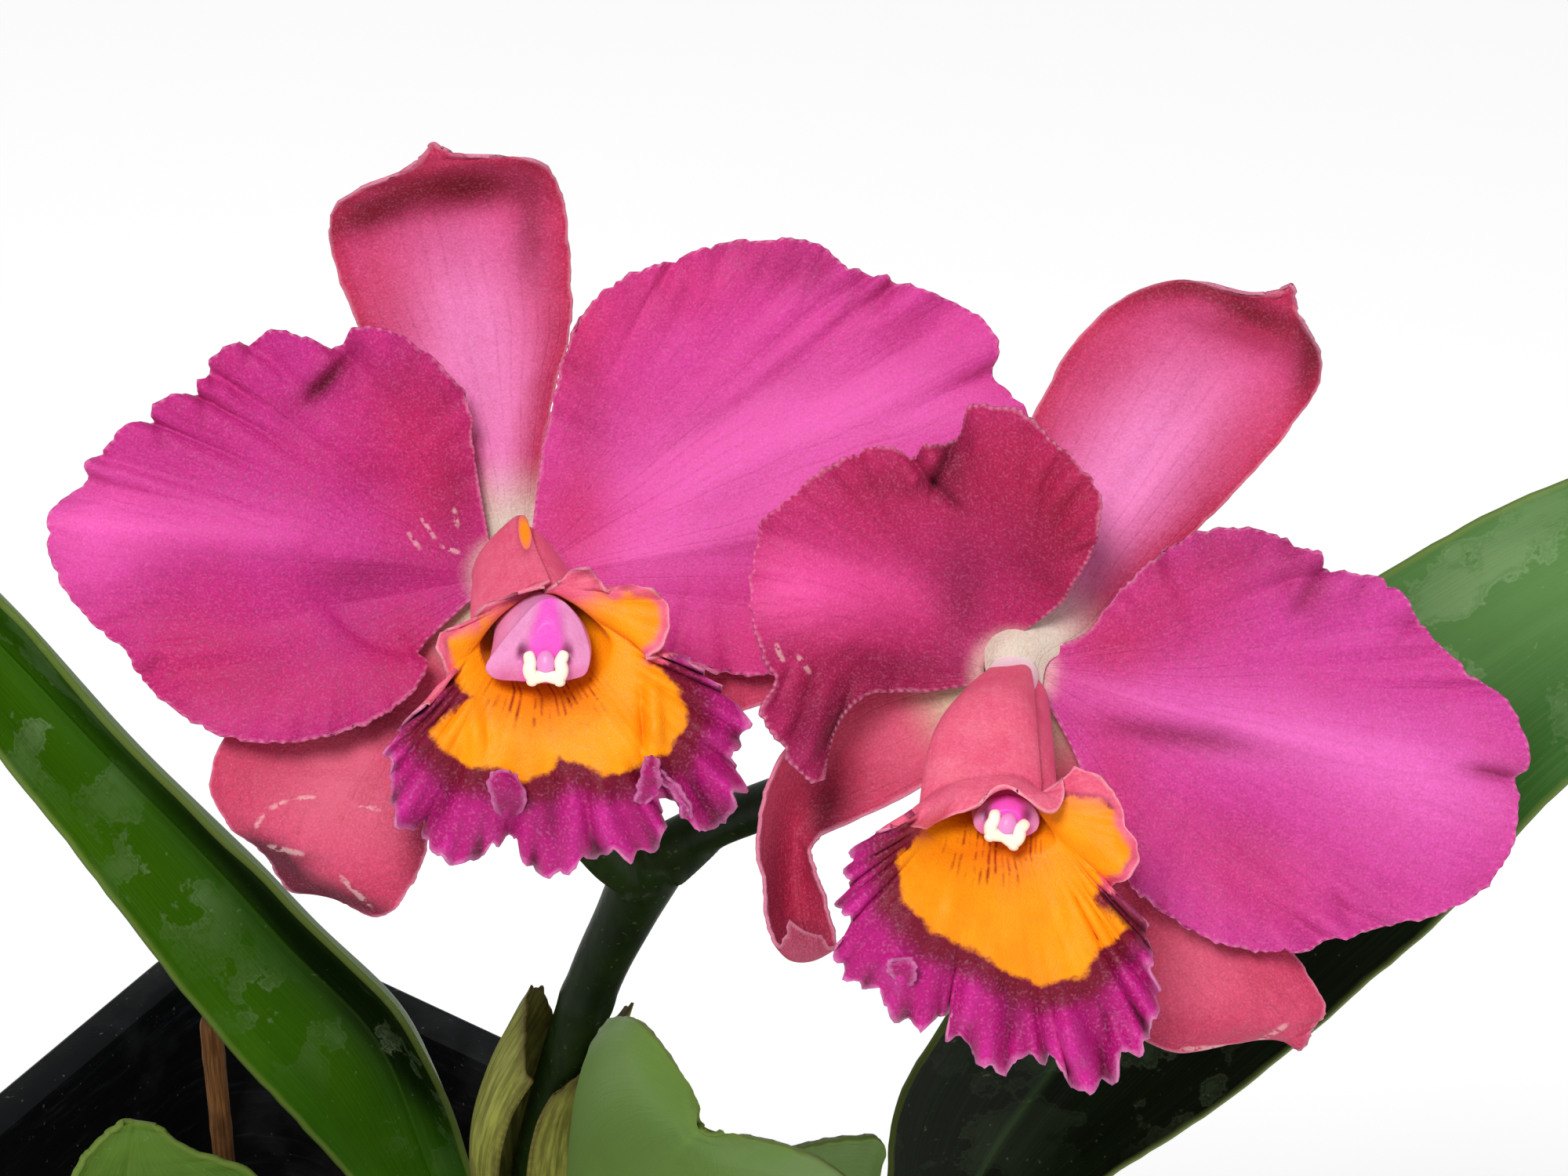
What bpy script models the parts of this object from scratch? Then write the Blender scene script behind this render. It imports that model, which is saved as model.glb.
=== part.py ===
"""Cattleya orchid with two blooms, growing in its square pot.

Sizes are in millimetres and become metres when a mesh is made. The origin is the centre
of the pot's base and +Z is up. Blooms and leaves are laid out in a sight frame: x to the
right, y up the picture, and a nearness toward the eye, which looks down at EYE_PITCH.
"""

import math

import bmesh
import bpy
import numpy as np
from mathutils import noise, Vector

MM = 0.001

# Where the plant is seen from, and where the middle of that view lies over the pot
EYE_DISTANCE = 389.0
EYE_PITCH = math.radians(36.0)
VIEW_CENTRE = (51.5, -28.4, 262.0)

# Pot
POT_SIDE = 140.0
POT_HEIGHT = 122.0
POT_FOOT_SIDE = 104.0
POT_WALL = 2.0
POT_CORNER = 13.0
POT_TURN = math.radians(-34.0)
RIM_WIDTH = 3.6
RIM_DEPTH = 9.0
DRAIN_RADIUS = 6.0
DRAIN_OFFSET = 27.0

# Planting mix
MIX_HEIGHT = 84.0
MIX_RELIEF = 2.6
MIX_GAP = 0.5
MIX_RINGS = 9
MIX_SIDES = 36

# Thickness of the blades
PETAL_THICKNESS = 0.7
LIP_THICKNESS = 0.7
LEAF_THICKNESS = 1.7
SHEATH_THICKNESS = 0.7

# How far the thickening direction of a blade is evened out, in thicknesses
NORMAL_REACH = 1.8

# Gap kept between pieces that sit on each other
SEAT_GAP = 0.3

# Middle of each bloom in the sight frame, and where its parts grow from
BLOOM_MIDDLE = {"bloom_1": (-23.67, -1.0, 0.0), "bloom_2": (18.67, -9.0, 8.0)}
HUB = {"bloom_1": (0.4, 2.0), "bloom_2": (0.8, 1.8)}
HUB_RADIUS = 2.2
CLAW_RADIUS = 3.0
PETAL_LEVEL = 0.3
HUB_TOP = 1.0

# Outline of each petal, from its upper claw round to its lower claw; the first and last
# points of it, as many as "sides" says, run along the sides that lead away from the claw
PETALS = {
    "bloom_1.petal_left": {
        "claw": (130, 205),
        "sides": (3, 6),
        "edge": [
            (-2.7, 12.5, 1.6), (-2.9, 15.5, 2.2), (-3.6, 17.8, 2.6), (-5.2, 19.6, 3.0),
            (-7.0, 21.2, 3.2), (-9.2, 22.6, 3.4), (-11.2, 23.2, 3.6), (-13.0, 23.1, 3.4),
            (-14.0, 21.6, 1.6), (-15.5, 21.5, 2.4), (-17.2, 22.4, 3.4), (-20.0, 22.9, 3.0),
            (-21.8, 21.7, 1.6), (-23.5, 21.7, 3.0), (-25.1, 20.5, 2.4), (-25.1, 19.3, 1.0),
            (-26.3, 18.5, 2.6), (-26.2, 17.3, 0.9), (-28.3, 17.5, 2.8), (-30.2, 16.2, 2.2),
            (-30.0, 15.0, 0.8), (-32.0, 15.0, 2.6), (-33.9, 13.2, 1.6), (-34.8, 12.1, 1.0),
            (-35.9, 11.6, 2.4), (-35.4, 10.4, 1.0), (-36.6, 9.2, 1.4), (-38.8, 7.4, 2.2),
            (-38.9, 5.0, 1.6), (-38.4, 2.6, 1.0), (-36.6, -0.4, 0.8), (-34.4, -2.7, 1.0),
            (-32.2, -4.5, 1.8), (-31.1, -6.6, 0.8), (-29.2, -8.5, 2.4), (-26.8, -10.3, 2.8),
            (-24.0, -11.6, 3.2), (-20.8, -12.1, 3.6), (-17.5, -12.0, 3.8), (-14.0, -11.3, 3.8),
            (-11.2, -10.2, 3.6), (-8.6, -8.5, 3.4), (-6.9, -6.4, 3.2), (-6.7, -5.2, 2.6),
            (-7.2, -4.0, 1.4),
        ],
        "bends": [(0, 0), (0.12, -0.6), (0.34, -1.0), (0.6, 2.4), (0.74, -1.0), (0.88, -0.6), (1, 0)],
    },
    "bloom_1.petal_right": {
        "claw": (50, -25),
        "sides": (4, 5),
        "edge": [
            (3.0, 12.0, 1.4), (3.7, 15.2, 1.8), (4.6, 19.5, 2.4), (5.7, 22.8, 2.8),
            (7.3, 25.3, 3.0), (10.0, 27.4, 3.4), (13.2, 28.6, 3.0), (14.2, 28.7, 2.2),
            (16.5, 29.8, 3.2), (19.5, 30.5, 2.4), (22.5, 30.6, 3.2), (25.5, 30.6, 2.4),
            (27.3, 29.8, 1.6), (28.7, 28.6, 2.6), (30.9, 27.6, 1.6), (32.4, 27.7, 2.8),
            (33.1, 26.9, 1.6), (35.2, 26.6, 2.6), (37.8, 25.4, 1.8), (39.8, 24.4, 1.2),
            (41.3, 23.2, 2.0), (41.9, 21.2, 2.4), (41.4, 19.3, 0.8), (42.9, 17.5, 1.2),
            (44.5, 15.7, 1.6), (44.3, 13.0, 1.2), (43.2, 10.0, 1.0), (41.2, 6.6, 0.8),
            (38.4, 3.0, 0.8), (35.0, -0.4, 0.8), (31.0, -3.4, 0.9), (27.0, -5.4, 1.2),
            (23.5, -6.3, 1.4), (20.5, -6.4, 1.6), (17.5, -6.0, 1.8), (14.5, -5.0, 1.6),
            (11.5, -3.6, 1.4), (8.5, -2.0, 1.2), (6.0, -0.6, 0.9),
        ],
        "bends": [(0, 0), (0.2, -0.6), (0.46, -0.6), (0.66, 2.2), (0.8, -0.6), (1, 0)],
    },
    "bloom_2.petal_left": {
        "claw": (110, 200),
        "sides": (5, 7),
        "edge": [
            (4.6, 7.4, 3.0), (5.9, 9.3, 5.4), (7.4, 11.8, 7.4), (8.2, 14.4, 8.6),
            (8.3, 17.0, 9.2), (7.0, 18.8, 9.4), (5.6, 20.3, 9.8), (3.6, 22.0, 9.6),
            (2.0, 23.8, 9.4), (-0.4, 24.4, 9.0), (-3.0, 24.4, 8.0), (-3.6, 22.2, 5.8),
            (-5.2, 21.1, 5.6), (-6.4, 21.3, 7.0), (-7.8, 20.1, 4.6), (-10.0, 21.1, 5.8),
            (-12.8, 20.3, 5.2), (-16.0, 18.7, 4.2), (-18.4, 16.4, 3.2), (-20.4, 14.9, 2.6),
            (-21.1, 12.2, 2.4), (-21.6, 9.3, 2.8), (-21.4, 6.6, 3.8), (-20.8, 4.2, 5.2),
            (-20.0, 2.4, 6.6), (-19.4, 0.8, 6.4), (-20.7, -1.2, 7.6), (-20.0, -2.9, 8.6),
            (-18.8, -4.4, 8.4), (-18.0, -6.0, 9.2), (-16.6, -7.3, 8.8), (-15.3, -7.4, 8.2),
            (-14.9, -5.6, 7.2), (-14.3, -3.2, 5.8), (-13.1, -1.2, 4.4), (-11.2, 0.0, 3.0),
            (-8.6, 0.2, 1.8), (-6.2, 0.2, 1.0),
        ],
        "bends": [(0, 0), (0.22, -1.0), (0.5, -1.0), (0.66, 0.8), (0.84, -1.2), (1, 0)],
    },
    "bloom_2.petal_right": {
        "claw": (40, -30),
        "sides": (4, 5),
        "edge": [
            (6.8, 5.0, 0.6), (8.6, 7.2, 0.9), (11.0, 9.9, 1.4), (13.6, 12.1, 2.0),
            (16.4, 13.7, 2.6), (19.5, 14.1, 3.0), (22.4, 13.8, 3.0), (24.8, 12.6, 2.4),
            (27.0, 12.0, 3.2), (27.4, 10.5, 1.2), (29.6, 10.3, 2.4), (32.0, 9.8, 2.8),
            (34.2, 8.2, 2.2), (35.4, 6.1, 1.0), (36.6, 4.7, 2.2), (38.4, 3.0, 1.2),
            (39.6, 1.6, 2.0), (41.6, 0.5, 1.2), (43.5, -1.6, 1.8), (44.6, -4.4, 2.2),
            (44.8, -6.0, 2.8), (43.5, -7.3, 0.8), (43.9, -9.6, 1.8), (43.4, -12.4, 2.0),
            (42.2, -15.0, 1.4), (40.2, -17.1, 2.0), (37.4, -18.6, 1.4), (34.4, -19.4, 2.2),
            (32.0, -19.8, 1.2), (29.6, -20.7, 2.4), (27.6, -20.9, 1.4), (25.6, -21.9, 2.8),
            (22.5, -21.9, 2.6), (19.0, -21.4, 3.0), (16.0, -20.1, 2.8), (13.2, -18.3, 2.8),
            (11.0, -16.4, 2.6), (9.2, -13.2, 2.0), (7.4, -8.8, 1.4), (5.8, -4.6, 0.9),
        ],
        "bends": [(0, 0), (0.2, -0.8), (0.4, -0.6), (0.54, 2.4), (0.7, -0.6), (0.86, -0.8), (1, 0)],
    },
}

# Left edge, midline and right edge of each sepal, from its claw to its tip
SEPALS = {
    "bloom_1.dorsal_sepal": [
        [(-1.6, 4.6, -1.0), (0.3, 4.9, -1.0), (2.1, 4.6, -1.0)],
        [(-3.2, 8.0, -1.2), (-0.2, 8.4, -1.0), (2.6, 8.0, -1.2)],
        [(-5.2, 12.5, -1.4), (-0.8, 13.0, -1.0), (3.2, 12.5, -1.3)],
        [(-8.2, 18.0, -1.4), (-1.8, 18.5, -1.2), (4.2, 18.0, -1.3)],
        [(-11.8, 22.0, -1.2), (-2.9, 23.0, -1.4), (5.5, 22.8, -1.2)],
        [(-13.7, 26.0, -0.8), (-3.9, 27.0, -1.4), (5.6, 26.5, -1.0)],
        [(-14.9, 30.0, -0.2), (-4.6, 30.5, -0.8), (5.4, 30.0, -0.4)],
        [(-14.8, 33.0, 0.8), (-5.2, 33.4, 0.4), (5.0, 33.6, 0.6)],
        [(-12.6, 34.9, 2.6), (-5.6, 35.6, 3.0), (3.9, 36.4, 2.8)],
        [(-9.2, 36.2, 4.6), (-5.9, 37.0, 5.0), (1.5, 37.6, 4.6)],
        [(-7.0, 37.7, 5.6), (-6.1, 38.0, 5.8), (-3.5, 37.8, 5.6)],
        [(-6.5, 38.6, 5.9), (-6.2, 38.9, 6.0), (-5.8, 38.6, 5.9)],
    ],
    "bloom_1.sepal_left": [
        [(-2.3, 0.5, -1.0), (-1.5, -0.4, -1.0), (-0.5, -0.9, -1.0)],
        [(-7.0, -1.5, -1.2), (-5.0, -4.0, -1.0), (-2.0, -5.0, -1.2)],
        [(-12.5, -4.0, -1.2), (-9.0, -8.2, -0.8), (-3.6, -10.0, -1.2)],
        [(-18.5, -7.2, -1.0), (-12.6, -12.4, -0.4), (-5.0, -14.5, -1.0)],
        [(-23.2, -10.8, -0.6), (-15.2, -16.2, 0.4), (-6.2, -18.4, -0.6)],
        [(-25.1, -15.0, -0.4), (-16.6, -19.2, 1.0), (-6.9, -21.8, -0.4)],
        [(-23.8, -18.8, -0.8), (-16.9, -21.3, 0.8), (-8.0, -24.2, -0.4)],
        [(-21.2, -20.9, -1.4), (-16.4, -22.8, -0.4), (-9.4, -26.2, -1.0)],
        [(-20.0, -22.2, -3.4), (-15.6, -23.9, -2.4), (-10.9, -26.9, -2.4)],
        [(-18.8, -24.4, -5.0), (-15.2, -24.8, -4.2), (-12.4, -26.4, -4.0)],
        [(-16.9, -25.0, -5.6), (-15.0, -25.2, -5.4), (-13.7, -25.7, -5.2)],
    ],
    "bloom_1.sepal_right": [
        [(1.9, -0.8, -1.2), (2.7, -0.2, -1.2), (3.2, 0.9, -1.2)],
        [(6.5, -6.8, -1.4), (8.0, -3.6, -1.2), (8.0, 0.0, -1.4)],
        [(12.5, -9.6, -1.4), (14.0, -5.2, -1.2), (14.0, -0.8, -1.4)],
        [(18.0, -9.9, -1.4), (19.5, -5.6, -1.2), (20.0, -1.0, -1.4)],
        [(21.5, -9.0, -1.2), (23.8, -5.4, -1.0), (24.5, -1.4, -1.4)],
        [(24.8, -7.6, -1.0), (26.6, -5.2, -0.8), (27.0, -3.0, -1.2)],
        [(27.2, -5.8, -0.8), (27.8, -5.0, -0.8), (27.6, -4.4, -1.0)],
    ],
    "bloom_2.dorsal_sepal": [
        [(-0.8, 4.4, -1.0), (1.4, 4.7, -1.0), (3.6, 3.6, -1.0)],
        [(-1.2, 7.6, -1.4), (3.6, 7.6, -1.0), (6.4, 5.2, -1.4)],
        [(-0.8, 12.0, -1.6), (6.2, 12.0, -1.2), (10.0, 8.4, -1.6)],
        [(0.2, 17.5, -1.6), (9.4, 17.6, -1.4), (15.0, 12.6, -1.6)],
        [(2.2, 22.8, -1.4), (12.6, 22.8, -1.6), (19.6, 17.0, -1.4)],
        [(5.0, 28.4, -1.0), (15.8, 27.4, -1.2), (23.6, 21.6, -1.0)],
        [(8.4, 32.4, -0.4), (18.4, 30.4, -0.2), (26.4, 25.4, -0.4)],
        [(12.6, 34.8, 0.6), (20.2, 31.8, 1.6), (27.1, 28.0, 1.0)],
        [(16.5, 35.1, 2.0), (21.8, 32.8, 3.4), (26.4, 30.2, 3.0)],
        [(20.2, 34.0, 3.8), (23.0, 33.6, 4.8), (25.2, 32.0, 4.6)],
        [(23.0, 34.1, 5.2), (23.9, 34.2, 5.6), (24.9, 33.4, 5.4)],
        [(24.1, 34.6, 5.9), (24.5, 34.8, 6.0), (24.8, 34.3, 5.9)],
    ],
    "bloom_2.sepal_left": [
        [(-2.2, 0.9, -1.0), (-1.6, -0.2, -1.0), (-0.8, -0.9, -1.0)],
        [(-6.5, 2.2, -1.2), (-5.2, -2.8, -1.6), (-4.2, -5.8, -1.2)],
        [(-11.0, 1.4, -1.0), (-9.4, -4.8, -2.0), (-8.2, -8.6, -1.2)],
        [(-15.2, -1.4, 0.0), (-13.4, -6.8, -2.0), (-12.4, -10.6, -1.0)],
        [(-18.9, -5.4, 2.4), (-16.6, -8.4, -1.6), (-15.4, -12.0, -0.6)],
        [(-20.4, -9.0, 3.0), (-18.0, -10.6, -1.2), (-16.4, -13.2, 0.2)],
        [(-20.9, -13.0, 2.8), (-18.2, -13.6, -1.0), (-16.2, -14.6, 0.8)],
        [(-20.3, -16.8, 2.6), (-18.0, -17.0, -0.8), (-15.4, -16.8, 1.0)],
        [(-20.1, -19.4, 2.8), (-17.7, -20.4, 0.2), (-14.6, -19.6, 1.2)],
        [(-19.2, -21.4, 3.8), (-17.3, -22.5, 2.4), (-14.2, -21.4, 2.6)],
        [(-18.6, -20.6, 5.2), (-17.0, -21.8, 4.6), (-14.9, -21.5, 4.2)],
        [(-18.2, -19.2, 5.4), (-16.8, -20.2, 5.2), (-15.4, -20.6, 4.8)],
    ],
    "bloom_2.sepal_right": [
        [(1.1, -1.2, -1.2), (2.3, -0.9, -1.2), (3.3, 0.0, -1.2)],
        [(2.6, -8.5, -1.4), (6.0, -6.5, -1.2), (8.5, -4.0, -1.4)],
        [(4.8, -16.0, -1.4), (9.8, -12.5, -1.0), (13.5, -9.0, -1.4)],
        [(7.4, -22.5, -1.2), (13.6, -18.2, -0.6), (18.5, -14.5, -1.2)],
        [(10.6, -28.2, -1.0), (17.2, -23.0, 0.0), (22.6, -19.2, -1.0)],
        [(14.4, -30.4, -1.0), (20.2, -26.0, 0.4), (25.4, -23.2, -0.8)],
        [(18.4, -29.9, -1.4), (22.4, -27.6, 0.2), (27.3, -26.4, -0.6)],
        [(21.6, -29.3, -2.0), (23.8, -28.6, -0.6), (27.0, -27.6, -0.8)],
        [(23.8, -29.4, -2.4), (24.8, -29.4, -1.4), (26.2, -28.6, -1.2)],
        [(25.0, -30.3, -2.2), (25.4, -30.2, -1.8), (25.8, -29.8, -1.6)],
    ],
}

# Lip: rings of its tube as (x, y, nearness, half width, half height, seam gap in degrees),
# and the free edge, which starts and ends at the seam over the column
LIPS = {
    "bloom_1.lip": {
        "seam": (84, 84, 86, 88),
        "rings": [
            (0.4, 2.0, 1.9, 3.3, 3.3, 14), (1.3, 1.9, 5.0, 4.2, 4.4, 9),
            (2.4, -0.9, 10.0, 5.1, 4.5, 5), (3.4, -3.7, 14.0, 5.9, 4.8, 4),
        ],
        "edge": [
            (3.3, 1.1, 14.6), (1.6, 0.7, 15.0), (-0.4, 0.1, 15.4), (-2.2, -0.8, 15.6),
            (-3.1, -2.0, 14.8), (-4.3, -2.4, 15.2), (-5.7, -3.0, 16.0), (-5.6, -5.0, 15.6),
            (-4.7, -6.9, 14.8), (-4.0, -8.2, 13.8), (-5.4, -8.5, 14.4), (-7.2, -9.2, 15.4),
            (-8.9, -10.9, 14.2), (-10.0, -13.2, 15.2), (-9.6, -15.6, 13.6), (-9.6, -18.2, 14.8),
            (-8.2, -19.6, 13.8), (-7.0, -18.9, 12.4), (-6.5, -21.0, 13.6), (-4.6, -22.4, 12.6),
            (-2.6, -22.0, 13.4), (-0.9, -20.8, 12.0), (0.5, -19.9, 11.2), (1.6, -22.0, 12.6),
            (3.6, -23.5, 12.0), (5.8, -22.8, 13.4), (7.6, -21.6, 12.0), (10.2, -21.7, 13.4),
            (12.6, -21.2, 12.2), (13.6, -19.4, 13.6), (12.9, -17.9, 12.4), (13.9, -17.0, 14.4),
            (15.3, -17.6, 13.2), (15.9, -19.2, 14.2), (17.6, -19.6, 12.8), (19.4, -17.6, 13.8),
            (20.0, -15.2, 12.4), (19.2, -13.2, 13.6), (20.4, -11.6, 12.2), (20.3, -9.8, 13.2),
            (18.4, -7.8, 12.2), (16.6, -6.0, 13.6), (15.0, -4.8, 13.0), (13.2, -4.9, 14.4),
            (12.2, -5.0, 15.4), (13.5, -3.6, 16.0), (14.0, -2.0, 15.4), (13.6, -0.2, 14.6),
            (12.2, 1.0, 15.2), (10.2, 1.1, 14.0), (8.6, 0.8, 15.2), (7.6, 2.2, 13.8),
            (6.2, 2.8, 14.2), (4.4, 1.4, 14.4),
        ],
        "reach": 5.0,
    },
    "bloom_2.lip": {
        "seam": (52, 40, 34, 29),
        "rings": [
            (0.8, 1.6, 1.9, 3.3, 3.3, 14), (0.3, -1.1, 6.0, 4.7, 3.8, 8),
            (-0.2, -5.2, 10.4, 5.9, 4.4, 5), (-0.2, -10.6, 14.0, 6.8, 3.5, 4),
        ],
        "edge": [
            (5.0, -7.2, 15.2), (5.2, -8.6, 16.2), (4.5, -10.0, 17.2), (3.4, -10.0, 17.6),
            (2.0, -9.0, 17.2), (0.4, -7.8, 16.6), (-1.0, -8.1, 16.6), (-2.0, -9.4, 16.6),
            (-3.2, -10.0, 16.2), (-4.6, -10.4, 15.6), (-5.9, -10.9, 15.4), (-6.6, -11.4, 16.0),
            (-7.2, -11.3, 17.0), (-8.0, -11.2, 17.6), (-9.2, -11.2, 16.8), (-11.4, -12.2, 17.8),
            (-12.9, -13.9, 16.2), (-13.4, -15.2, 17.4), (-12.9, -16.6, 15.6), (-14.2, -18.0, 17.0),
            (-12.8, -19.6, 15.0), (-14.2, -21.6, 16.4), (-13.4, -24.0, 15.4), (-11.0, -25.2, 16.6),
            (-9.6, -27.0, 15.2), (-7.4, -28.4, 16.2), (-5.2, -27.3, 14.8), (-4.2, -26.6, 13.8),
            (-4.7, -29.0, 15.2), (-2.8, -29.9, 14.0), (-2.0, -31.4, 15.2), (-0.2, -32.2, 14.0),
            (1.6, -31.0, 15.2), (3.6, -31.0, 13.8), (5.0, -31.8, 15.2), (5.6, -33.2, 14.0),
            (7.0, -33.8, 15.2), (9.4, -32.6, 14.0), (10.2, -30.8, 15.4), (11.8, -30.2, 14.0),
            (12.6, -28.2, 15.4), (13.2, -26.2, 14.0), (12.7, -23.6, 15.6), (12.4, -21.2, 14.4),
            (11.9, -19.2, 15.8), (10.6, -18.2, 15.0), (9.3, -17.4, 14.6), (9.0, -16.8, 14.8),
            (9.4, -16.2, 15.4), (10.4, -15.9, 16.4), (11.4, -14.4, 16.6), (11.4, -12.8, 15.4),
            (10.4, -11.2, 16.2), (10.0, -9.4, 15.0), (8.8, -7.6, 16.0), (7.2, -6.5, 15.4),
            (5.9, -6.2, 14.6),
        ],
        "reach": 5.5,
    },
}

# Column: (x, y, nearness, half width, half height)
COLUMNS = {
    "bloom_1": [
        (0.4, 1.9, 1.7, 2.2, 2.2), (1.3, 1.0, 6.0, 2.4, 2.3), (2.4, -1.4, 11.0, 3.2, 2.6),
        (3.1, -3.3, 15.0, 4.2, 3.3), (3.2, -3.6, 16.4, 3.4, 2.6),
    ],
    "bloom_2": [
        (0.8, 1.4, 1.7, 2.2, 2.2), (0.4, -1.2, 6.0, 2.3, 2.2), (0.0, -5.2, 10.0, 2.5, 2.4),
        (0.2, -9.8, 13.4, 2.9, 2.3), (0.3, -10.4, 14.4, 2.1, 1.6),
    ],
}
CAPS = {"bloom_1": (3.4, -5.4, 17.6, 1.75), "bloom_2": (0.3, -11.2, 15.7, 1.6)}
CAP_THICKNESS = 1.3

# Leaves: left edge, midrib and right edge in the sight frame, from base to tip
LEAVES = {
    "leaf_left": [
        [(-25.8, -61.6, -91), (-25.8, -60.5, -93), (-24.9, -59.4, -94)],
        [(-30.6, -56.8, -89), (-28.0, -55.4, -94), (-26.0, -54.2, -93.5)],
        [(-35.0, -52.0, -86), (-30.0, -50.0, -93), (-27.0, -48.6, -89)],
        [(-41.2, -45.5, -80), (-34.5, -38.5, -86), (-32.4, -36.9, -75)],
        [(-49.0, -36.8, -76), (-42.5, -30.0, -82), (-40.7, -28.3, -71)],
        [(-57.8, -25.4, -71), (-52.3, -19.5, -77), (-51.0, -18.2, -66)],
        [(-66.3, -14.8, -67), (-61.7, -10.0, -72), (-60.3, -8.5, -62)],
        [(-73.5, -6.0, -64), (-69.5, -1.6, -69), (-67.9, 0.3, -60)],
        [(-80.0, 2.4, -62), (-76.6, 6.0, -66), (-75.0, 8.0, -59)],
        [(-84.2, 9.0, -61), (-82.6, 11.6, -63), (-81.4, 12.8, -60)],
        [(-85.6, 13.6, -61), (-85.4, 14.2, -61.5), (-84.8, 14.4, -61)],
    ],
    "leaf_front": [
        [(-16.6, -63.3, -89), (-15.8, -62.6, -90), (-15.4, -61.4, -91.5)],
        [(-18.6, -57.4, -76), (-16.6, -60.6, -76), (-13.6, -62.2, -78)],
        [(-17.8, -50.0, -60), (-16.0, -57.6, -58), (-8.0, -61.8, -64)],
        [(-16.8, -41.5, -43), (-13.6, -53.5, -38), (3.0, -58.5, -44)],
        [(-15.2, -37.2, -25), (-11.4, -50.5, -21), (6.6, -52.5, -28)],
        [(-12.4, -36.8, -11), (-9.2, -48.0, -8), (3.0, -48.6, -13)],
        [(-9.0, -40.8, -4), (-7.6, -46.4, -1.5), (-2.0, -46.9, -5)],
        [(-7.2, -44.6, -1), (-6.9, -45.9, 0), (-5.6, -46.3, -1)],
    ],
    "leaf_right": [
        [(9.0, -56.8, -98), (10.7, -57.0, -98.6), (12.3, -57.6, -97.4)],
        [(8.8, -50.5, -92), (15.0, -52.5, -96), (22.0, -53.5, -90)],
        [(10.2, -43.0, -86), (19.0, -46.0, -92), (30.0, -48.5, -84)],
        [(15.5, -34.0, -80), (26.0, -37.0, -87), (39.0, -42.5, -79)],
        [(27.0, -19.0, -74), (37.0, -26.0, -81), (48.5, -34.5, -74)],
        [(40.0, -7.0, -68), (48.0, -15.5, -75), (57.0, -27.0, -69)],
        [(53.0, 2.3, -63), (60.0, -6.0, -69), (65.0, -18.0, -64)],
        [(66.7, 9.0, -60), (72.0, 1.5, -65), (75.5, -9.5, -61)],
        [(78.5, 12.6, -58), (82.0, 6.5, -62), (84.5, -1.5, -59)],
        [(88.0, 12.8, -58), (89.5, 10.2, -60), (90.2, 7.0, -59)],
        [(92.0, 12.6, -59), (92.4, 12.0, -59.5), (92.4, 11.2, -59)],
    ],
    "leaf_low_right": [
        [(7.7, -58.6, -96.6), (6.6, -59.3, -96.2), (6.2, -60.0, -95.0)],
        [(7.6, -52.2, -88), (5.8, -56.0, -90), (4.0, -60.0, -86)],
        [(8.4, -47.2, -78), (4.8, -53.6, -82), (1.6, -60.4, -76)],
        [(4.6, -46.9, -68), (1.4, -52.4, -72), (-1.2, -58.6, -66)],
        [(1.0, -47.6, -58), (-1.4, -51.6, -61), (-3.4, -56.0, -57)],
        [(-2.0, -48.8, -51), (-3.6, -51.2, -52), (-4.6, -53.2, -51)],
        [(-4.8, -50.2, -47), (-5.2, -50.8, -47), (-5.2, -51.4, -47)],
    ],
    "leaf_low_left": [
        [(-59.6, -82.6, -86), (-58.0, -83.0, -87), (-56.4, -82.8, -86)],
        [(-64.0, -74.0, -77), (-57.5, -75.0, -81), (-51.0, -77.0, -78)],
        [(-66.0, -64.0, -69), (-57.0, -66.0, -74), (-46.0, -69.0, -71)],
        [(-64.4, -55.6, -63), (-56.5, -57.0, -68), (-42.6, -58.4, -66)],
        [(-60.8, -50.6, -60), (-56.0, -51.0, -64), (-44.6, -50.4, -62)],
        [(-58.8, -47.6, -60), (-55.6, -48.0, -62), (-50.2, -48.0, -61)],
        [(-56.2, -45.5, -61), (-55.3, -45.3, -61.5), (-53.6, -45.7, -61)],
    ],
}

# Flower stem: sight frame points with a radius
PEDUNCLE = [
    (-20.9, -61.3, -91.9, 2.6), (-21.0, -50.5, -76, 2.6), (-18.6, -40.5, -60, 2.6),
    (-16.0, -33.0, -50, 2.6), (-13.6, -28.0, -43, 2.8), (-11.6, -24.0, -37, 3.2),
    (-10.4, -22.0, -34, 3.2),
]
STALKS = {
    "bloom_1": [(-11.6, -24.4, -37, 2.8), (-14.8, -22.6, -33, 2.5), (-18.8, -17.5, -26, 2.3),
                (-22.0, -9.5, -18, 2.5), (-23.2, -2.5, -11, 2.5)],
    "bloom_2": [(-10.8, -23.0, -35, 2.8), (-6.6, -20.4, -32, 2.3), (-2.0, -18.6, -27, 2.2),
                (6.0, -15.6, -18, 2.3), (14.0, -11.4, -9, 2.5)],
}

# Sheath round the flower stem: sight frame middle, half width, half depth, top edge lift
SHEATH_RINGS = [
    (-20.9, -61.0, -91.3, 3.4, 3.3), (-21.0, -54.0, -81.0, 4.6, 4.0),
    (-21.2, -47.5, -71.0, 5.4, 4.2), (-20.2, -42.0, -62.8, 5.0, 4.2),
    (-18.2, -37.6, -56.5, 4.4, 4.2),
]
SHEATH_SLIT = 26.0

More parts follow.
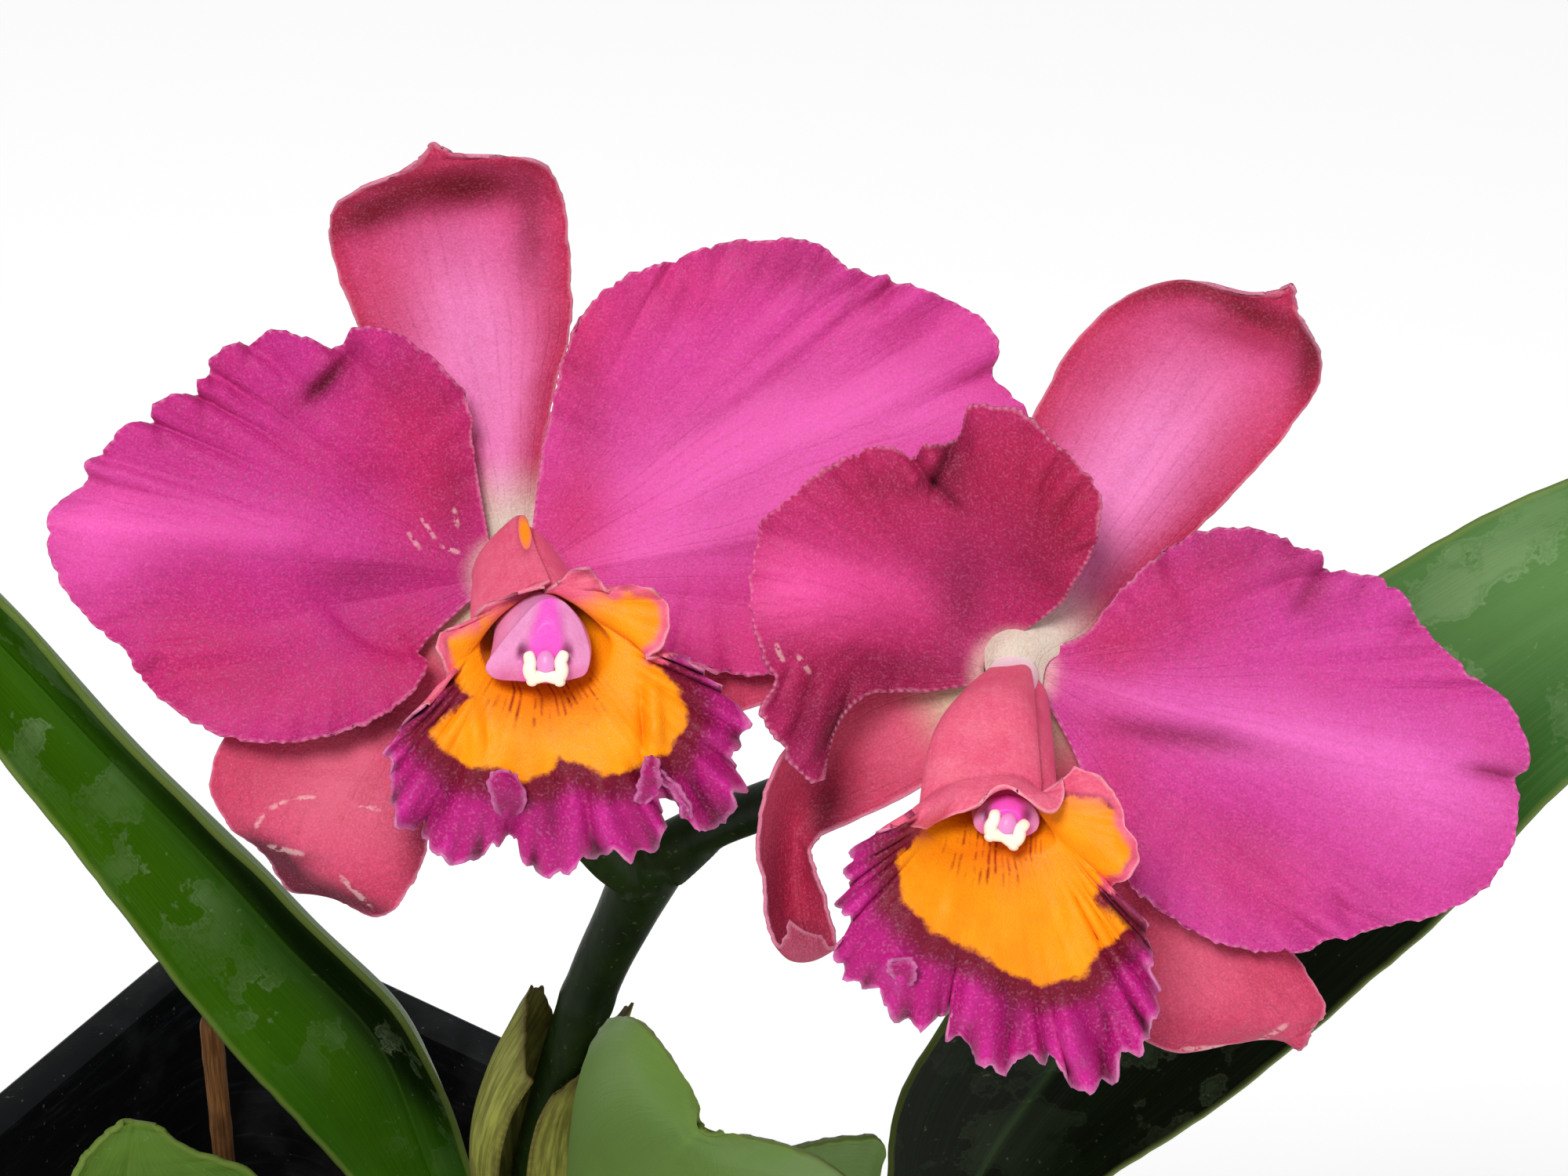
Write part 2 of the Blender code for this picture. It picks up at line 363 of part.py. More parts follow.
# Bulbs: foot and top of each in the pot's frame, greatest radius
BULBS = {
    "bulb_1": ((22.5, 4.6, 93.0), (26.0, 1.2, 145.9), 9.6),
    "bulb_2": ((51.5, 18.6, 93.0), (62.8, 7.2, 145.3), 9.0),
    "bulb_3": ((-14.5, -12.4, 93.0), (-19.4, -18.0, 128.2), 8.5),
    "bulb_4": ((-36.0, 17.0, 93.0), (-42.0, 25.0, 128.0), 9.0),
}
BULB_SIDES = 14
BULB_RIBS = 7

# Creeping stem that joins the bulbs' feet, and its roots (start, bearing, length)
RHIZOME = [(-42.0, 22.0), (-36.0, 17.0), (-14.5, -12.4), (4.0, -2.0), (22.5, 4.6), (38.0, 12.0),
           (51.5, 18.6), (57.0, 21.0)]
RHIZOME_RADIUS = 4.2
RHIZOME_HEIGHT = 88.4
ROOTS = [
    ((-24.0, -1.0), 200, 34), ((-8.0, -9.0), 262, 40), ((6.0, -1.5), 118, 42),
    ((14.0, 1.8), 285, 38), ((33.0, 9.6), 100, 30), ((44.0, 15.0), 300, 34),
]
ROOT_RADIUS = 1.5

# Slim brown stick standing in the mix
DRY_STEM = (-12.6, 42.0)
DRY_STEM_RADIUS = 1.35
DRY_STEM_TOP = 152.0

COLOURS = {
    "sepal": ((0.60, 0.10, 0.24), 0.55),
    "petal": ((0.62, 0.07, 0.33), 0.55),
    "lip": ((0.75, 0.14, 0.20), 0.5),
    "column": ((0.74, 0.22, 0.55), 0.45),
    "cap": ((0.83, 0.80, 0.68), 0.4),
    "leaf": ((0.09, 0.22, 0.03), 0.4),
    "sheath": ((0.32, 0.36, 0.07), 0.55),
    "stem": ((0.08, 0.13, 0.03), 0.45),
    "bulb": ((0.16, 0.25, 0.05), 0.45),
    "root": ((0.62, 0.60, 0.50), 0.7),
    "bark": ((0.13, 0.06, 0.03), 0.85),
    "pot": ((0.012, 0.013, 0.015), 0.4),
    "stick": ((0.22, 0.10, 0.03), 0.7),
}


def clear_scene():
    """Remove every object that is in the scene."""
    for thing in list(bpy.data.objects):
        bpy.data.objects.remove(thing, do_unlink=True)


def new_collection(name):
    """Return a new collection linked to the scene."""
    collection = bpy.data.collections.new(name)
    bpy.context.scene.collection.children.link(collection)
    return collection


def finish_of(kind):
    """Return the material for one kind of surface."""
    found = bpy.data.materials.get(kind)
    if found:
        return found
    colour, roughness = COLOURS[kind]
    material = bpy.data.materials.new(kind)
    material.use_nodes = True
    shader = material.node_tree.nodes["Principled BSDF"]
    shader.inputs["Base Color"].default_value = (*colour, 1.0)
    shader.inputs["Roughness"].default_value = roughness
    shader.inputs["Metallic"].default_value = 0.0
    return material


def sight(points):
    """Turn rows of (x, y, nearness) of the sight frame into millimetres over the pot."""
    rows = np.asarray(points, dtype=float)
    shrink = 1.0 - rows[..., 2] / EYE_DISTANCE
    across = rows[..., 0] * shrink
    up = rows[..., 1] * shrink
    near = rows[..., 2]
    y = up * math.sin(EYE_PITCH) - near * math.cos(EYE_PITCH)
    z = up * math.cos(EYE_PITCH) + near * math.sin(EYE_PITCH)
    return np.stack([across, y, z], axis=-1) + np.array(VIEW_CENTRE)


def in_bloom(bloom, points):
    """Turn a bloom's own (x, y, nearness) rows into the pot's frame."""
    return sight(np.asarray(points, dtype=float) + np.array(BLOOM_MIDDLE[bloom]))


def smooth(points, places):
    """Read a smooth curve through the points at the given places, each from 0 to 1."""
    rows = np.asarray(points, dtype=float)
    last = len(rows) - 1
    at = np.clip(np.asarray(places) * last, 0, last)
    index = np.minimum(at.astype(int), last - 1)
    part = at - index
    while part.ndim < rows.ndim:
        part = part[..., None]
    before = rows[np.maximum(index - 1, 0)]
    start = rows[index]
    end = rows[index + 1]
    after = rows[np.minimum(index + 2, last)]
    return 0.5 * (
        2 * start + (end - before) * part
        + (2 * before - 5 * start + 4 * end - after) * part ** 2
        + (3 * start - before - 3 * end + after) * part ** 3
    )


def even_places(points, count):
    """Return places that divide the curve through the points into equal lengths."""
    fine = np.linspace(0, 1, 600)
    curve = smooth(points, fine)
    steps = np.linalg.norm(np.diff(curve, axis=0), axis=1)
    travelled = np.concatenate([[0], np.cumsum(steps)])
    return np.interp(np.linspace(0, travelled[-1], count), travelled, fine)


def arc(bloom, first, last, count):
    """Return the arc that a petal's claw makes round the bloom's hub."""
    turn = np.radians(np.linspace(first, last, count))
    x = HUB[bloom][0] + CLAW_RADIUS * np.cos(turn)
    y = HUB[bloom][1] + CLAW_RADIUS * np.sin(turn)
    return np.stack([x, y, np.full(count, PETAL_LEVEL)], axis=-1)


def petal_grid(name, across, along):
    """Return a petal's grid of points, spread from its claw between its sides to its end."""
    data = PETALS[name]
    bloom = name.split(".")[0]
    first, last = data["sides"]
    outline = np.array(data["edge"])
    claw = arc(bloom, *data["claw"], across)
    end = smooth(outline[first - 1:len(outline) - last + 1],
                 even_places(outline[first - 1:len(outline) - last + 1], across))
    upper = np.vstack([claw[:1], outline[:first]])
    lower = np.vstack([claw[-1:], outline[:-last - 1:-1]])
    v = np.linspace(0, 1, along)[:, None]
    rise = np.concatenate([v, v, 0.6 * v + 0.4 * v ** 2], axis=1)
    grid = (1 - rise[:, None]) * claw + rise[:, None] * end
    u = np.linspace(0, 1, across)
    for side, column, share in ((upper, 0, 1 - u), (lower, -1, u)):
        bow = smooth(side, even_places(side, along)) - grid[:, column]
        grid += share[None, :, None] * bow[:, None]
    bends = np.array(data["bends"])
    grid[..., 2] += 2 * v * (1 - v) * np.interp(u, bends[:, 0], bends[:, 1])
    return in_bloom(bloom, grid)


def rail_grid(stations, across, along):
    """Return a blade's grid from its left edge, midline and right edge."""
    rows = np.array(stations, dtype=float)
    read = smooth(rows, np.linspace(0, 1, along))
    a = np.linspace(-1, 1, across)[None, :, None]
    left, middle, right = (read[:, k][:, None, :] for k in range(3))
    return left * a * (a - 1) / 2 + middle * (1 - a ** 2) + right * a * (a + 1) / 2


def lip_grid(name, across, along):
    """Return a lip's grid: a tube open at its seam that flares to a ruffled edge."""
    data = LIPS[name]
    bloom = name.split(".")[0]
    edge = smooth(data["edge"], even_places(data["edge"], across))
    mouth = data["rings"][-1]
    turn = np.unwrap(np.arctan2(edge[:, 1] - mouth[1], edge[:, 0] - mouth[0]))
    width = max(3, across // 7)
    padded = np.concatenate([np.full(width, turn[0]), turn, np.full(width, turn[-1])])
    turn = np.convolve(padded, np.ones(2 * width + 1) / (2 * width + 1), mode="valid")
    turn = np.maximum.accumulate(turn)
    share = (turn - turn[0]) / (turn[-1] - turn[0])
    rings = []
    for (x, y, near, wide, high, gap), seam in zip(data["rings"], data["seam"]):
        angle = np.radians(seam + gap / 2 + share * (360 - gap))
        ring = np.stack([x + wide * np.cos(angle), y + high * np.sin(angle), np.full(across, near)],
                        axis=-1)
        rings.append(ring)
    tube = np.array(rings)
    tube_rows = max(4, along // 2)
    grid = list(smooth(tube, np.linspace(0, 1, tube_rows)))
    lower = np.clip(0.2 - np.cos(share * 2 * math.pi), 0, 1)
    start = tube[-1]
    middle = start + 0.5 * (edge - start)
    middle[:, 2] = np.maximum(start[:, 2], edge[:, 2]) + data["reach"] * lower
    for s in np.linspace(0, 1, along - tube_rows + 1)[1:]:
        grid.append((1 - s) ** 2 * start + 2 * s * (1 - s) * middle + s ** 2 * edge)
    return in_bloom(bloom, np.array(grid))


def add_mesh(name, points, faces, kind, collection):
    """Add a mesh object from points in millimetres."""
    mesh = bpy.data.meshes.new(name)
    mesh.from_pydata([tuple(p) for p in np.asarray(points).reshape(-1, 3) * MM], [], faces)
    mesh.update()
    thing = bpy.data.objects.new(name, mesh)
    thing.data.materials.append(finish_of(kind))
    collection.objects.link(thing)
    return thing


def even_normals(grid, reach):
    """Return a grid's normals, each averaged over the points within about the reach."""
    down, across = np.gradient(grid, axis=0), np.gradient(grid, axis=1)
    facing = np.cross(across, down).reshape(-1, 3)
    facing /= np.maximum(np.linalg.norm(facing, axis=1, keepdims=True), 1e-9)
    points = grid.reshape(-1, 3)
    apart = np.linalg.norm(points[:, None] - points[None], axis=2)
    weights = np.exp(-0.5 * (apart / reach) ** 2)
    facing = weights @ facing
    facing /= np.linalg.norm(facing, axis=1, keepdims=True)
    return facing.reshape(grid.shape)


def blade(name, grid, thickness, kind, collection):
    """Make a thin closed blade: a grid of triangles, split alike on both faces."""
    rows, columns = grid.shape[:2]
    offset = 0.5 * thickness * even_normals(grid, NORMAL_REACH * thickness)
    points = np.concatenate([(grid + offset).reshape(-1, 3), (grid - offset).reshape(-1, 3)])
    back = rows * columns
    faces = []
    for r in range(rows - 1):
        for c in range(columns - 1):
            a, b = r * columns + c, r * columns + c + 1
            d, e = a + columns, b + columns
            near_side = np.linalg.norm(grid[r, c] - grid[r + 1, c + 1])
            far_side = np.linalg.norm(grid[r, c + 1] - grid[r + 1, c])
            split = [(a, b, e), (a, e, d)] if near_side < far_side else [(a, b, d), (b, e, d)]
            faces += split
            faces += [(k + back, j + back, i + back) for i, j, k in split]
    rim = [c for c in range(columns)]
    rim += [r * columns + columns - 1 for r in range(1, rows)]
    rim += [(rows - 1) * columns + c for c in range(columns - 2, -1, -1)]
    rim += [r * columns for r in range(rows - 2, 0, -1)]
    for here, there in zip(rim, rim[1:] + rim[:1]):
        faces += [(there, here, here + back), (there, here + back, there + back)]
    thing = add_mesh(name, points, faces, kind, collection)
    thing.data.shade_smooth()
    return thing


def loft(name, rings, kind, collection):
    """Join closed rings of points into one solid with flat ends."""
    count = len(rings[0])
    faces = []
    for r in range(len(rings) - 1):
        for c in range(count):
            a, b = r * count + c, r * count + (c + 1) % count
            faces.append((a, b, b + count, a + count))
    faces.append(tuple(reversed(range(count))))
    faces.append(tuple(range((len(rings) - 1) * count, len(rings) * count)))
    thing = add_mesh(name, np.array(rings), faces, kind, collection)
    thing.data.shade_smooth()
    return thing


def rod(name, points, kind, collection, sides=2):
    """Make a round rod through (x, y, z, radius) rows, as a bevelled curve."""
    curve = bpy.data.curves.new(name, "CURVE")
    curve.dimensions = "3D"
    curve.bevel_depth = MM
    curve.bevel_resolution = sides
    curve.use_fill_caps = True
    spline = curve.splines.new("POLY")
    spline.points.add(len(points) - 1)
    for knot, (x, y, z, radius) in zip(spline.points, points):
        knot.co = (x * MM, y * MM, z * MM, 1.0)
        knot.radius = radius
    thing = bpy.data.objects.new(name, curve)
    thing.data.materials.append(finish_of(kind))
    collection.objects.link(thing)
    return thing


def as_mesh(thing):
    """Replace a curve object by the mesh that it draws, with its caps welded on."""
    name, home = thing.name, thing.users_collection[0]
    drawn = bpy.data.meshes.new_from_object(thing.evaluated_get(bpy.context.evaluated_depsgraph_get()))
    cage = bmesh.new()
    cage.from_mesh(drawn)
    bmesh.ops.remove_doubles(cage, verts=cage.verts, dist=1e-6)
    bmesh.ops.recalc_face_normals(cage, faces=cage.faces)
    cage.to_mesh(drawn)
    cage.free()
    bpy.data.objects.remove(thing, do_unlink=True)
    solid = bpy.data.objects.new(name, drawn)
    home.objects.link(solid)
    return solid


def fuse(thing, others):
    """Join other solids into a thing and remove them."""
    group = bpy.data.collections.new(thing.name + "_fused")
    for other in others:
        group.objects.link(other)
    union = thing.modifiers.new("fused", "BOOLEAN")
    union.operation = "UNION"
    union.operand_type = "COLLECTION"
    union.collection = group
    union.solver = "EXACT"
    bpy.context.view_layer.update()
    joined = bpy.data.meshes.new_from_object(
        thing.evaluated_get(bpy.context.evaluated_depsgraph_get()))
    thing.modifiers.clear()
    thing.data = joined
    for other in others:
        bpy.data.objects.remove(other, do_unlink=True)
    bpy.data.collections.remove(group)
    return thing


def cut(thing, cutter):
    """Cut a hidden cutter out of a thing."""
    cutter.hide_render = True
    cutter.display_type = "WIRE"
    hole = thing.modifiers.new("cut", "BOOLEAN")
    hole.operation = "DIFFERENCE"
    hole.object = cutter
    hole.solver = "EXACT"


def square_ring(side, corner, height, steps=4):
    """Return a square ring with round corners, turned as the pot is."""
    half = side / 2 - corner
    ring = []
    for quarter in range(4):
        base = math.pi / 2 * quarter
        sign = ((1, 1), (-1, 1), (-1, -1), (1, -1))[quarter]
        for step in range(steps + 1):
            turn = base + math.pi / 2 * step / steps
            x = sign[0] * half + corner * math.cos(turn)
            y = sign[1] * half + corner * math.sin(turn)
            ring.append((x * math.cos(POT_TURN) - y * math.sin(POT_TURN),
                         x * math.sin(POT_TURN) + y * math.cos(POT_TURN), height))
    return ring


def even_ring(ring, count):
    """Return a closed ring read again at even lengths."""
    closed = np.array(ring + ring[:1])
    steps = np.linalg.norm(np.diff(closed, axis=0), axis=1)
    travelled = np.concatenate([[0], np.cumsum(steps)])
    at = np.linspace(0, travelled[-1], count, endpoint=False)
    return [tuple(np.interp(t, travelled, closed[:, k]) for k in range(3)) for t in at]


def side_at(height):
    """Return the pot's outer side length at a height."""
    return POT_FOOT_SIDE + (POT_SIDE - 2 * RIM_WIDTH - POT_FOOT_SIDE) * height / POT_HEIGHT


def make_pot(collection, cutters):
    """Make the tapered square pot with its turned rim and drain holes."""
    under_rim = POT_HEIGHT - RIM_DEPTH
    inside = 2 * POT_WALL
    rings = [
        square_ring(POT_FOOT_SIDE - 6, POT_CORNER - 3, 0.0),
        square_ring(POT_FOOT_SIDE, POT_CORNER, 3.0),
        square_ring(side_at(under_rim), POT_CORNER, under_rim),
        square_ring(POT_SIDE - 2.4, POT_CORNER, under_rim),
        square_ring(POT_SIDE, POT_CORNER, POT_HEIGHT - 1.5),
        square_ring(POT_SIDE - 1.6, POT_CORNER, POT_HEIGHT),
        square_ring(POT_SIDE - 2 * RIM_WIDTH - inside + 1.6, POT_CORNER - 2, POT_HEIGHT),
        square_ring(POT_SIDE - 2 * RIM_WIDTH - inside, POT_CORNER - 2, POT_HEIGHT - 1.5),
        square_ring(POT_FOOT_SIDE - inside, POT_CORNER - 2, POT_WALL + 2.0),
        square_ring(POT_FOOT_SIDE - inside - 6, POT_CORNER - 4, POT_WALL),
    ]
    pot = loft("pot", rings, "pot", collection)
    pot.data.set_sharp_from_angle(angle=math.radians(35))
    for quarter in range(4):
        turn = POT_TURN + math.pi / 4 + math.pi / 2 * quarter
        spot = (DRAIN_OFFSET * math.cos(turn) * MM, DRAIN_OFFSET * math.sin(turn) * MM, 0)
        bpy.ops.mesh.primitive_cylinder_add(vertices=12, radius=DRAIN_RADIUS * MM,
                                            depth=4 * POT_WALL * MM, location=spot)
        hole = bpy.context.object
        hole.name = f"drain_{quarter + 1}"
        hole.users_collection[0].objects.unlink(hole)
        cutters.objects.link(hole)
        cut(pot, hole)


def mix_height(x, y):
    """Return the planting mix's surface height, with a level bed under the creeping stem."""
    lumps = noise.noise(Vector((x * 0.11, y * 0.11, 3.7)))
    lumps += 0.6 * noise.noise(Vector((x * 0.27, y * 0.27, 9.1)))
    path = np.array(RHIZOME)
    nearest = 1e9
    for start, end in zip(path[:-1], path[1:]):
        share = np.clip(np.dot((x, y) - start, end - start) / np.dot(end - start, end - start), 0, 1)
        nearest = min(nearest, np.linalg.norm((x, y) - (start + share * (end - start))))
    bed = np.clip((nearest - 11.0) / 9.0, 0, 1)
    level = RHIZOME_HEIGHT - RHIZOME_RADIUS - MIX_GAP
    return level + bed * (MIX_RELIEF * lumps + MIX_HEIGHT - level)


def make_mix(collection, cutters):
    """Make the planting mix: a tapered block whose top carries a lumpy relief."""
    gap = 2 * (POT_WALL + MIX_GAP + 0.3)
    floor = POT_WALL + 2.5
    sizes = [(side_at(floor) - gap - 6, POT_CORNER - 3, floor),
             (side_at(floor + 3) - gap, POT_CORNER - 2, floor + 3)]
    rings = [even_ring(square_ring(*size), MIX_SIDES) for size in sizes]
    edge = even_ring(square_ring(side_at(MIX_HEIGHT - 5) - gap, POT_CORNER - 2, 0), MIX_SIDES)
    for ring in range(MIX_RINGS):
        share = 1 - (ring / MIX_RINGS) ** 0.9
        rows = [(x * share, y * share) for x, y, _ in edge]
        rings.append([(x, y, mix_height(x, y)) for x, y in rows])
    mix = loft("bark_mix", rings, "bark", collection)
    bpy.ops.mesh.primitive_cylinder_add(
        vertices=12, radius=(DRY_STEM_RADIUS + SEAT_GAP + 0.1) * MM, depth=40 * MM,
        location=(DRY_STEM[0] * MM, DRY_STEM[1] * MM, MIX_HEIGHT * MM))
    hole = bpy.context.object
    hole.name = "stick_hole"
    hole.users_collection[0].objects.unlink(hole)
    cutters.objects.link(hole)
    cut(mix, hole)


def make_dry_stem(collection):
    """Make the slim brown stick."""
    foot = MIX_HEIGHT - 20 + SEAT_GAP
    bpy.ops.mesh.primitive_cylinder_add(
        vertices=10, radius=DRY_STEM_RADIUS * MM, depth=(DRY_STEM_TOP - foot) * MM,
        location=(DRY_STEM[0] * MM, DRY_STEM[1] * MM, (DRY_STEM_TOP + foot) / 2 * MM))
    stick = bpy.context.object
    stick.name = "dry_stem"
    stick.data.materials.append(finish_of("stick"))
    stick.users_collection[0].objects.unlink(stick)
    collection.objects.link(stick)


def root_path(start, bearing, length):
    """Return a root that runs over the mix, tapering to a blunt tip."""
    turn = math.radians(bearing)
    rows = []
    for step in range(9):
        share = step / 8
        sway = 4.0 * math.sin(share * 5.0 + bearing)
        x = start[0] + length * share * math.cos(turn) - sway * share * math.sin(turn)
        y = start[1] + length * share * math.sin(turn) + sway * share * math.cos(turn)
        ground = max(mix_height(x + dx, y + dy) for dx in (-5, 0, 5) for dy in (-5, 0, 5))
        radius = ROOT_RADIUS * (1 - 0.35 * share)
        z = ground + radius + 1.5
        if step == 0:
            z = RHIZOME_HEIGHT
        rows.append((x, y, z, radius))
    return rows


def make_rhizome(collection):
    """Make the creeping stem and its roots as one grown piece."""
    rows = smooth(RHIZOME, np.linspace(0, 1, 22))
    ends = np.minimum(np.arange(22), 21 - np.arange(22))
    stem = as_mesh(rod("rhizome", [(x, y, RHIZOME_HEIGHT, RHIZOME_RADIUS * (0.6 if end == 0 else 1))
                                   for (x, y), end in zip(rows, ends)], "root", collection))
    roots = [as_mesh(rod(f"root_{i}", root_path(*root), "root", collection, 1))
             for i, root in enumerate(ROOTS)]
    stem = fuse(stem, roots)
    stem.data.materials.clear()
    stem.data.materials.append(finish_of("root"))


def bulb_rings(foot, top, radius):
    """Return the rings of a ribbed, club-shaped bulb."""
    foot, top = np.array(foot), np.array(top)
    rings = []
    shape = [(0.0, 0.42), (0.04, 0.5), (0.18, 0.68), (0.38, 0.9), (0.58, 1.0), (0.76, 0.95),
             (0.9, 0.88), (0.97, 0.84), (1.0, 0.74)]
    for share, swell in shape:
        middle = foot + (top - foot) * share
        ring = []
        for step in range(BULB_SIDES):
            turn = 2 * math.pi * step / BULB_SIDES
            rib = 1 + 0.05 * math.sin(math.pi * share) * math.cos(BULB_RIBS * turn)
            reach = radius * swell * rib
            ring.append((middle[0] + reach * math.cos(turn), middle[1] + 0.8 * reach * math.sin(turn),
                         middle[2]))
        rings.append(ring)
    return rings


def make_sheath(collection):
    """Make the papery sheath, slit down its front, round the flower stem."""
    places = np.linspace(0, 1, 8)
    rings = smooth(SHEATH_RINGS, places)
    turns = np.radians(np.linspace(250 + SHEATH_SLIT / 2, 610 - SHEATH_SLIT / 2, 17))
    rows = []
    for place, (x, y, near, wide, deep) in zip(places, rings):
        lift = place ** 3 * 2.4 * np.cos(turns * 2 + 0.6)
        rows.append(np.stack([x + wide * np.cos(turns) + 0.33 * lift,
                              y + 0.68 * deep * np.sin(turns) + lift,
                              near - 0.74 * deep * np.sin(turns) + 1.3 * lift], axis=-1))
    blade("flower_sheath", sight(np.array(rows)), SHEATH_THICKNESS, "sheath", collection)


def stem_rows(rows, count, lift=0.0):
    """Return a smooth run of (x, y, z, radius) rows from sight frame points."""
    read = smooth(rows, np.linspace(0, 1, count))
    return [(*place, radius) for place, radius in zip(sight(read[:, :3]), read[:, 3])]


def make_flower_stem(collection):
    """Make the flower stem, its fork and both flower stalks as one grown piece."""
    main = as_mesh(rod("flower_stem", stem_rows(PEDUNCLE, 10), "stem", collection))
    stalks = []
    for bloom, rows in STALKS.items():
        x, y = HUB[bloom]
        middle = BLOOM_MIDDLE[bloom]
        ends = [(middle[0] + x, middle[1] + y, middle[2] - 5.0, HUB_RADIUS),
                (middle[0] + x, middle[1] + y, middle[2] + HUB_TOP, HUB_RADIUS - 0.2)]
        stalks.append(as_mesh(rod(bloom + "_stalk", stem_rows(rows + ends, 13), "stem", collection)))
    main = fuse(main, stalks)
    main.data.materials.clear()
    main.data.materials.append(finish_of("stem"))


def make_column(bloom, collection):
    """Make a column: round at its root, hooded and winged at its free end."""
    rings = []
    places = np.linspace(0, 1, 9)
    for place, (x, y, near, wide, high) in zip(places, smooth(COLUMNS[bloom], places)):
        turn = 2 * math.pi * np.arange(14) / 14
        pinch = 1 - 0.26 * place * np.sin(turn)
        ring = np.stack([x + wide * pinch * np.cos(turn), y + high * np.sin(turn),
                         np.full(14, near)], axis=-1)
        rings.append(in_bloom(bloom, ring))
    loft(bloom + ".column", rings, "column", collection)


def make_cap(bloom, collection):
    """Make the pale cap at the column's tip: a small horseshoe."""
    x, y, near, half = CAPS[bloom]
    turn = np.radians(np.linspace(150, 390, 9))
    bow = np.stack([x + half * np.cos(turn), y + half * 0.8 * np.sin(turn),
                    np.full(9, near)], axis=-1)
    rows = [(*place, CAP_THICKNESS / 2) for place in in_bloom(bloom, bow)]
    as_mesh(rod(bloom + ".anther_cap", rows, "cap", collection, 1))


def make_bloom(bloom, collection):
    """Make one bloom from the back forward: sepals, petals, lip, column and cap."""
    for name, stations in SEPALS.items():
        if name.startswith(bloom):
            grid = in_bloom(bloom, rail_grid(stations, 7, 13))
            blade(name, grid, PETAL_THICKNESS, "sepal", collection)
    for name in PETALS:
        if name.startswith(bloom):
            blade(name, petal_grid(name, 31, 8), PETAL_THICKNESS, "petal", collection)
    blade(bloom + ".lip", lip_grid(bloom + ".lip", 50, 10), LIP_THICKNESS, "lip", collection)
    make_column(bloom, collection)
    make_cap(bloom, collection)


def main():
    """Build the whole plant in its pot."""
    clear_scene()
    plant = new_collection("cattleya_orchid")
    cutters = new_collection("cutters")
    make_pot(plant, cutters)
    make_mix(plant, cutters)
    make_rhizome(plant)
    make_dry_stem(plant)
    for name, shape in BULBS.items():
        loft(name, bulb_rings(*shape), "bulb", plant)
    for name, stations in LEAVES.items():
        blade(name, sight(rail_grid(stations, 7, 12)), LEAF_THICKNESS, "leaf", plant)
    make_sheath(plant)
    make_flower_stem(plant)
    for bloom in BLOOM_MIDDLE:
        make_bloom(bloom, plant)


main()
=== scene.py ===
"""Visual model of a cattleya orchid with two open blooms, standing in its square pot.

Sizes are in millimetres and become metres when a mesh is made. Blooms and leaves are laid
out in a sight frame: x to the right, y up the picture, and a nearness toward the eye.
"""

import logging
import math
from dataclasses import dataclass, field
from enum import Enum
from typing import Callable, Optional, Sequence, Union

import bmesh
import bpy
import numpy as np
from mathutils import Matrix, Vector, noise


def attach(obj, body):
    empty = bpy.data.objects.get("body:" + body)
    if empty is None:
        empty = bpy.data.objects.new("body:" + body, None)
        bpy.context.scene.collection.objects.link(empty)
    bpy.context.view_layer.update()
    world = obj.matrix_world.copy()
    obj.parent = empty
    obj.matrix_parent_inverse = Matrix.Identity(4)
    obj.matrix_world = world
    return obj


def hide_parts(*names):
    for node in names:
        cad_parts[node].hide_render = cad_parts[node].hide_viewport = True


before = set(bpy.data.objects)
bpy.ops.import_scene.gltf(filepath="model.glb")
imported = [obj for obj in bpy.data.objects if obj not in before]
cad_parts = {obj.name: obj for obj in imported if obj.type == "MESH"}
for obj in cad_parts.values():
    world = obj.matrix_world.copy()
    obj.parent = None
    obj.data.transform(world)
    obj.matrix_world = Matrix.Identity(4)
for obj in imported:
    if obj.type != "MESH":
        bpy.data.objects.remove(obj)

Socket = bpy.types.NodeSocket
Rows = np.ndarray
Table = Sequence[tuple[float, ...]]
Skin = tuple[Rows, list]
Number = Union[float, Socket]

MM = 0.001
log = logging.getLogger("orchid")


@dataclass(frozen=True)
class Sight:
    """Where the plant is seen from."""

    eye_distance: float = 389.0
    pitch: float = math.radians(36.0)
    centre: tuple[float, float, float] = (51.5, -28.4, 262.0)
    lens: float = 105.0
    sensor: float = 36.0

    def over_pot(self, points: Rows) -> Rows:
        """Turn sight frame points into millimetres in the pot's frame.

        Args:
            points: Rows of (x, y, nearness).

        Returns:
            Points of the same shape over the pot.
        """
        rows = np.asarray(points, dtype=float)
        shrink = 1.0 - rows[..., 2] / self.eye_distance
        up = rows[..., 1] * shrink
        near = rows[..., 2]
        y = up * math.sin(self.pitch) - near * math.cos(self.pitch)
        z = up * math.cos(self.pitch) + near * math.sin(self.pitch)
        return np.stack([rows[..., 0] * shrink, y, z], axis=-1) + np.array(self.centre)

    def eye(self) -> Rows:
        """Return the eye's place in millimetres."""
        back = np.array([0.0, -math.cos(self.pitch), math.sin(self.pitch)])
        return np.array(self.centre) + self.eye_distance * back


SIGHT = Sight()


class Slot(Enum):
    """The material slots."""

    POT = "pot"
    BARK = "bark"
    ROOT = "root"
    BULB = "bulb"
    LEAF = "leaf"
    SHEATH = "sheath"
    STEM = "stem"
    STICK = "stick"
    SEPAL = "sepal"
    PETAL = "petal"
    LIP = "lip"
    COLUMN = "column"
    CAP = "cap"


class Face(Enum):
    """Which way a blade's front looks."""

    EYE = "toward the eye"
    SKY = "upward"
    LOWER_EDGE = "the lower free edge toward the eye"
    OUTWARD = "away from the blade's own axis"


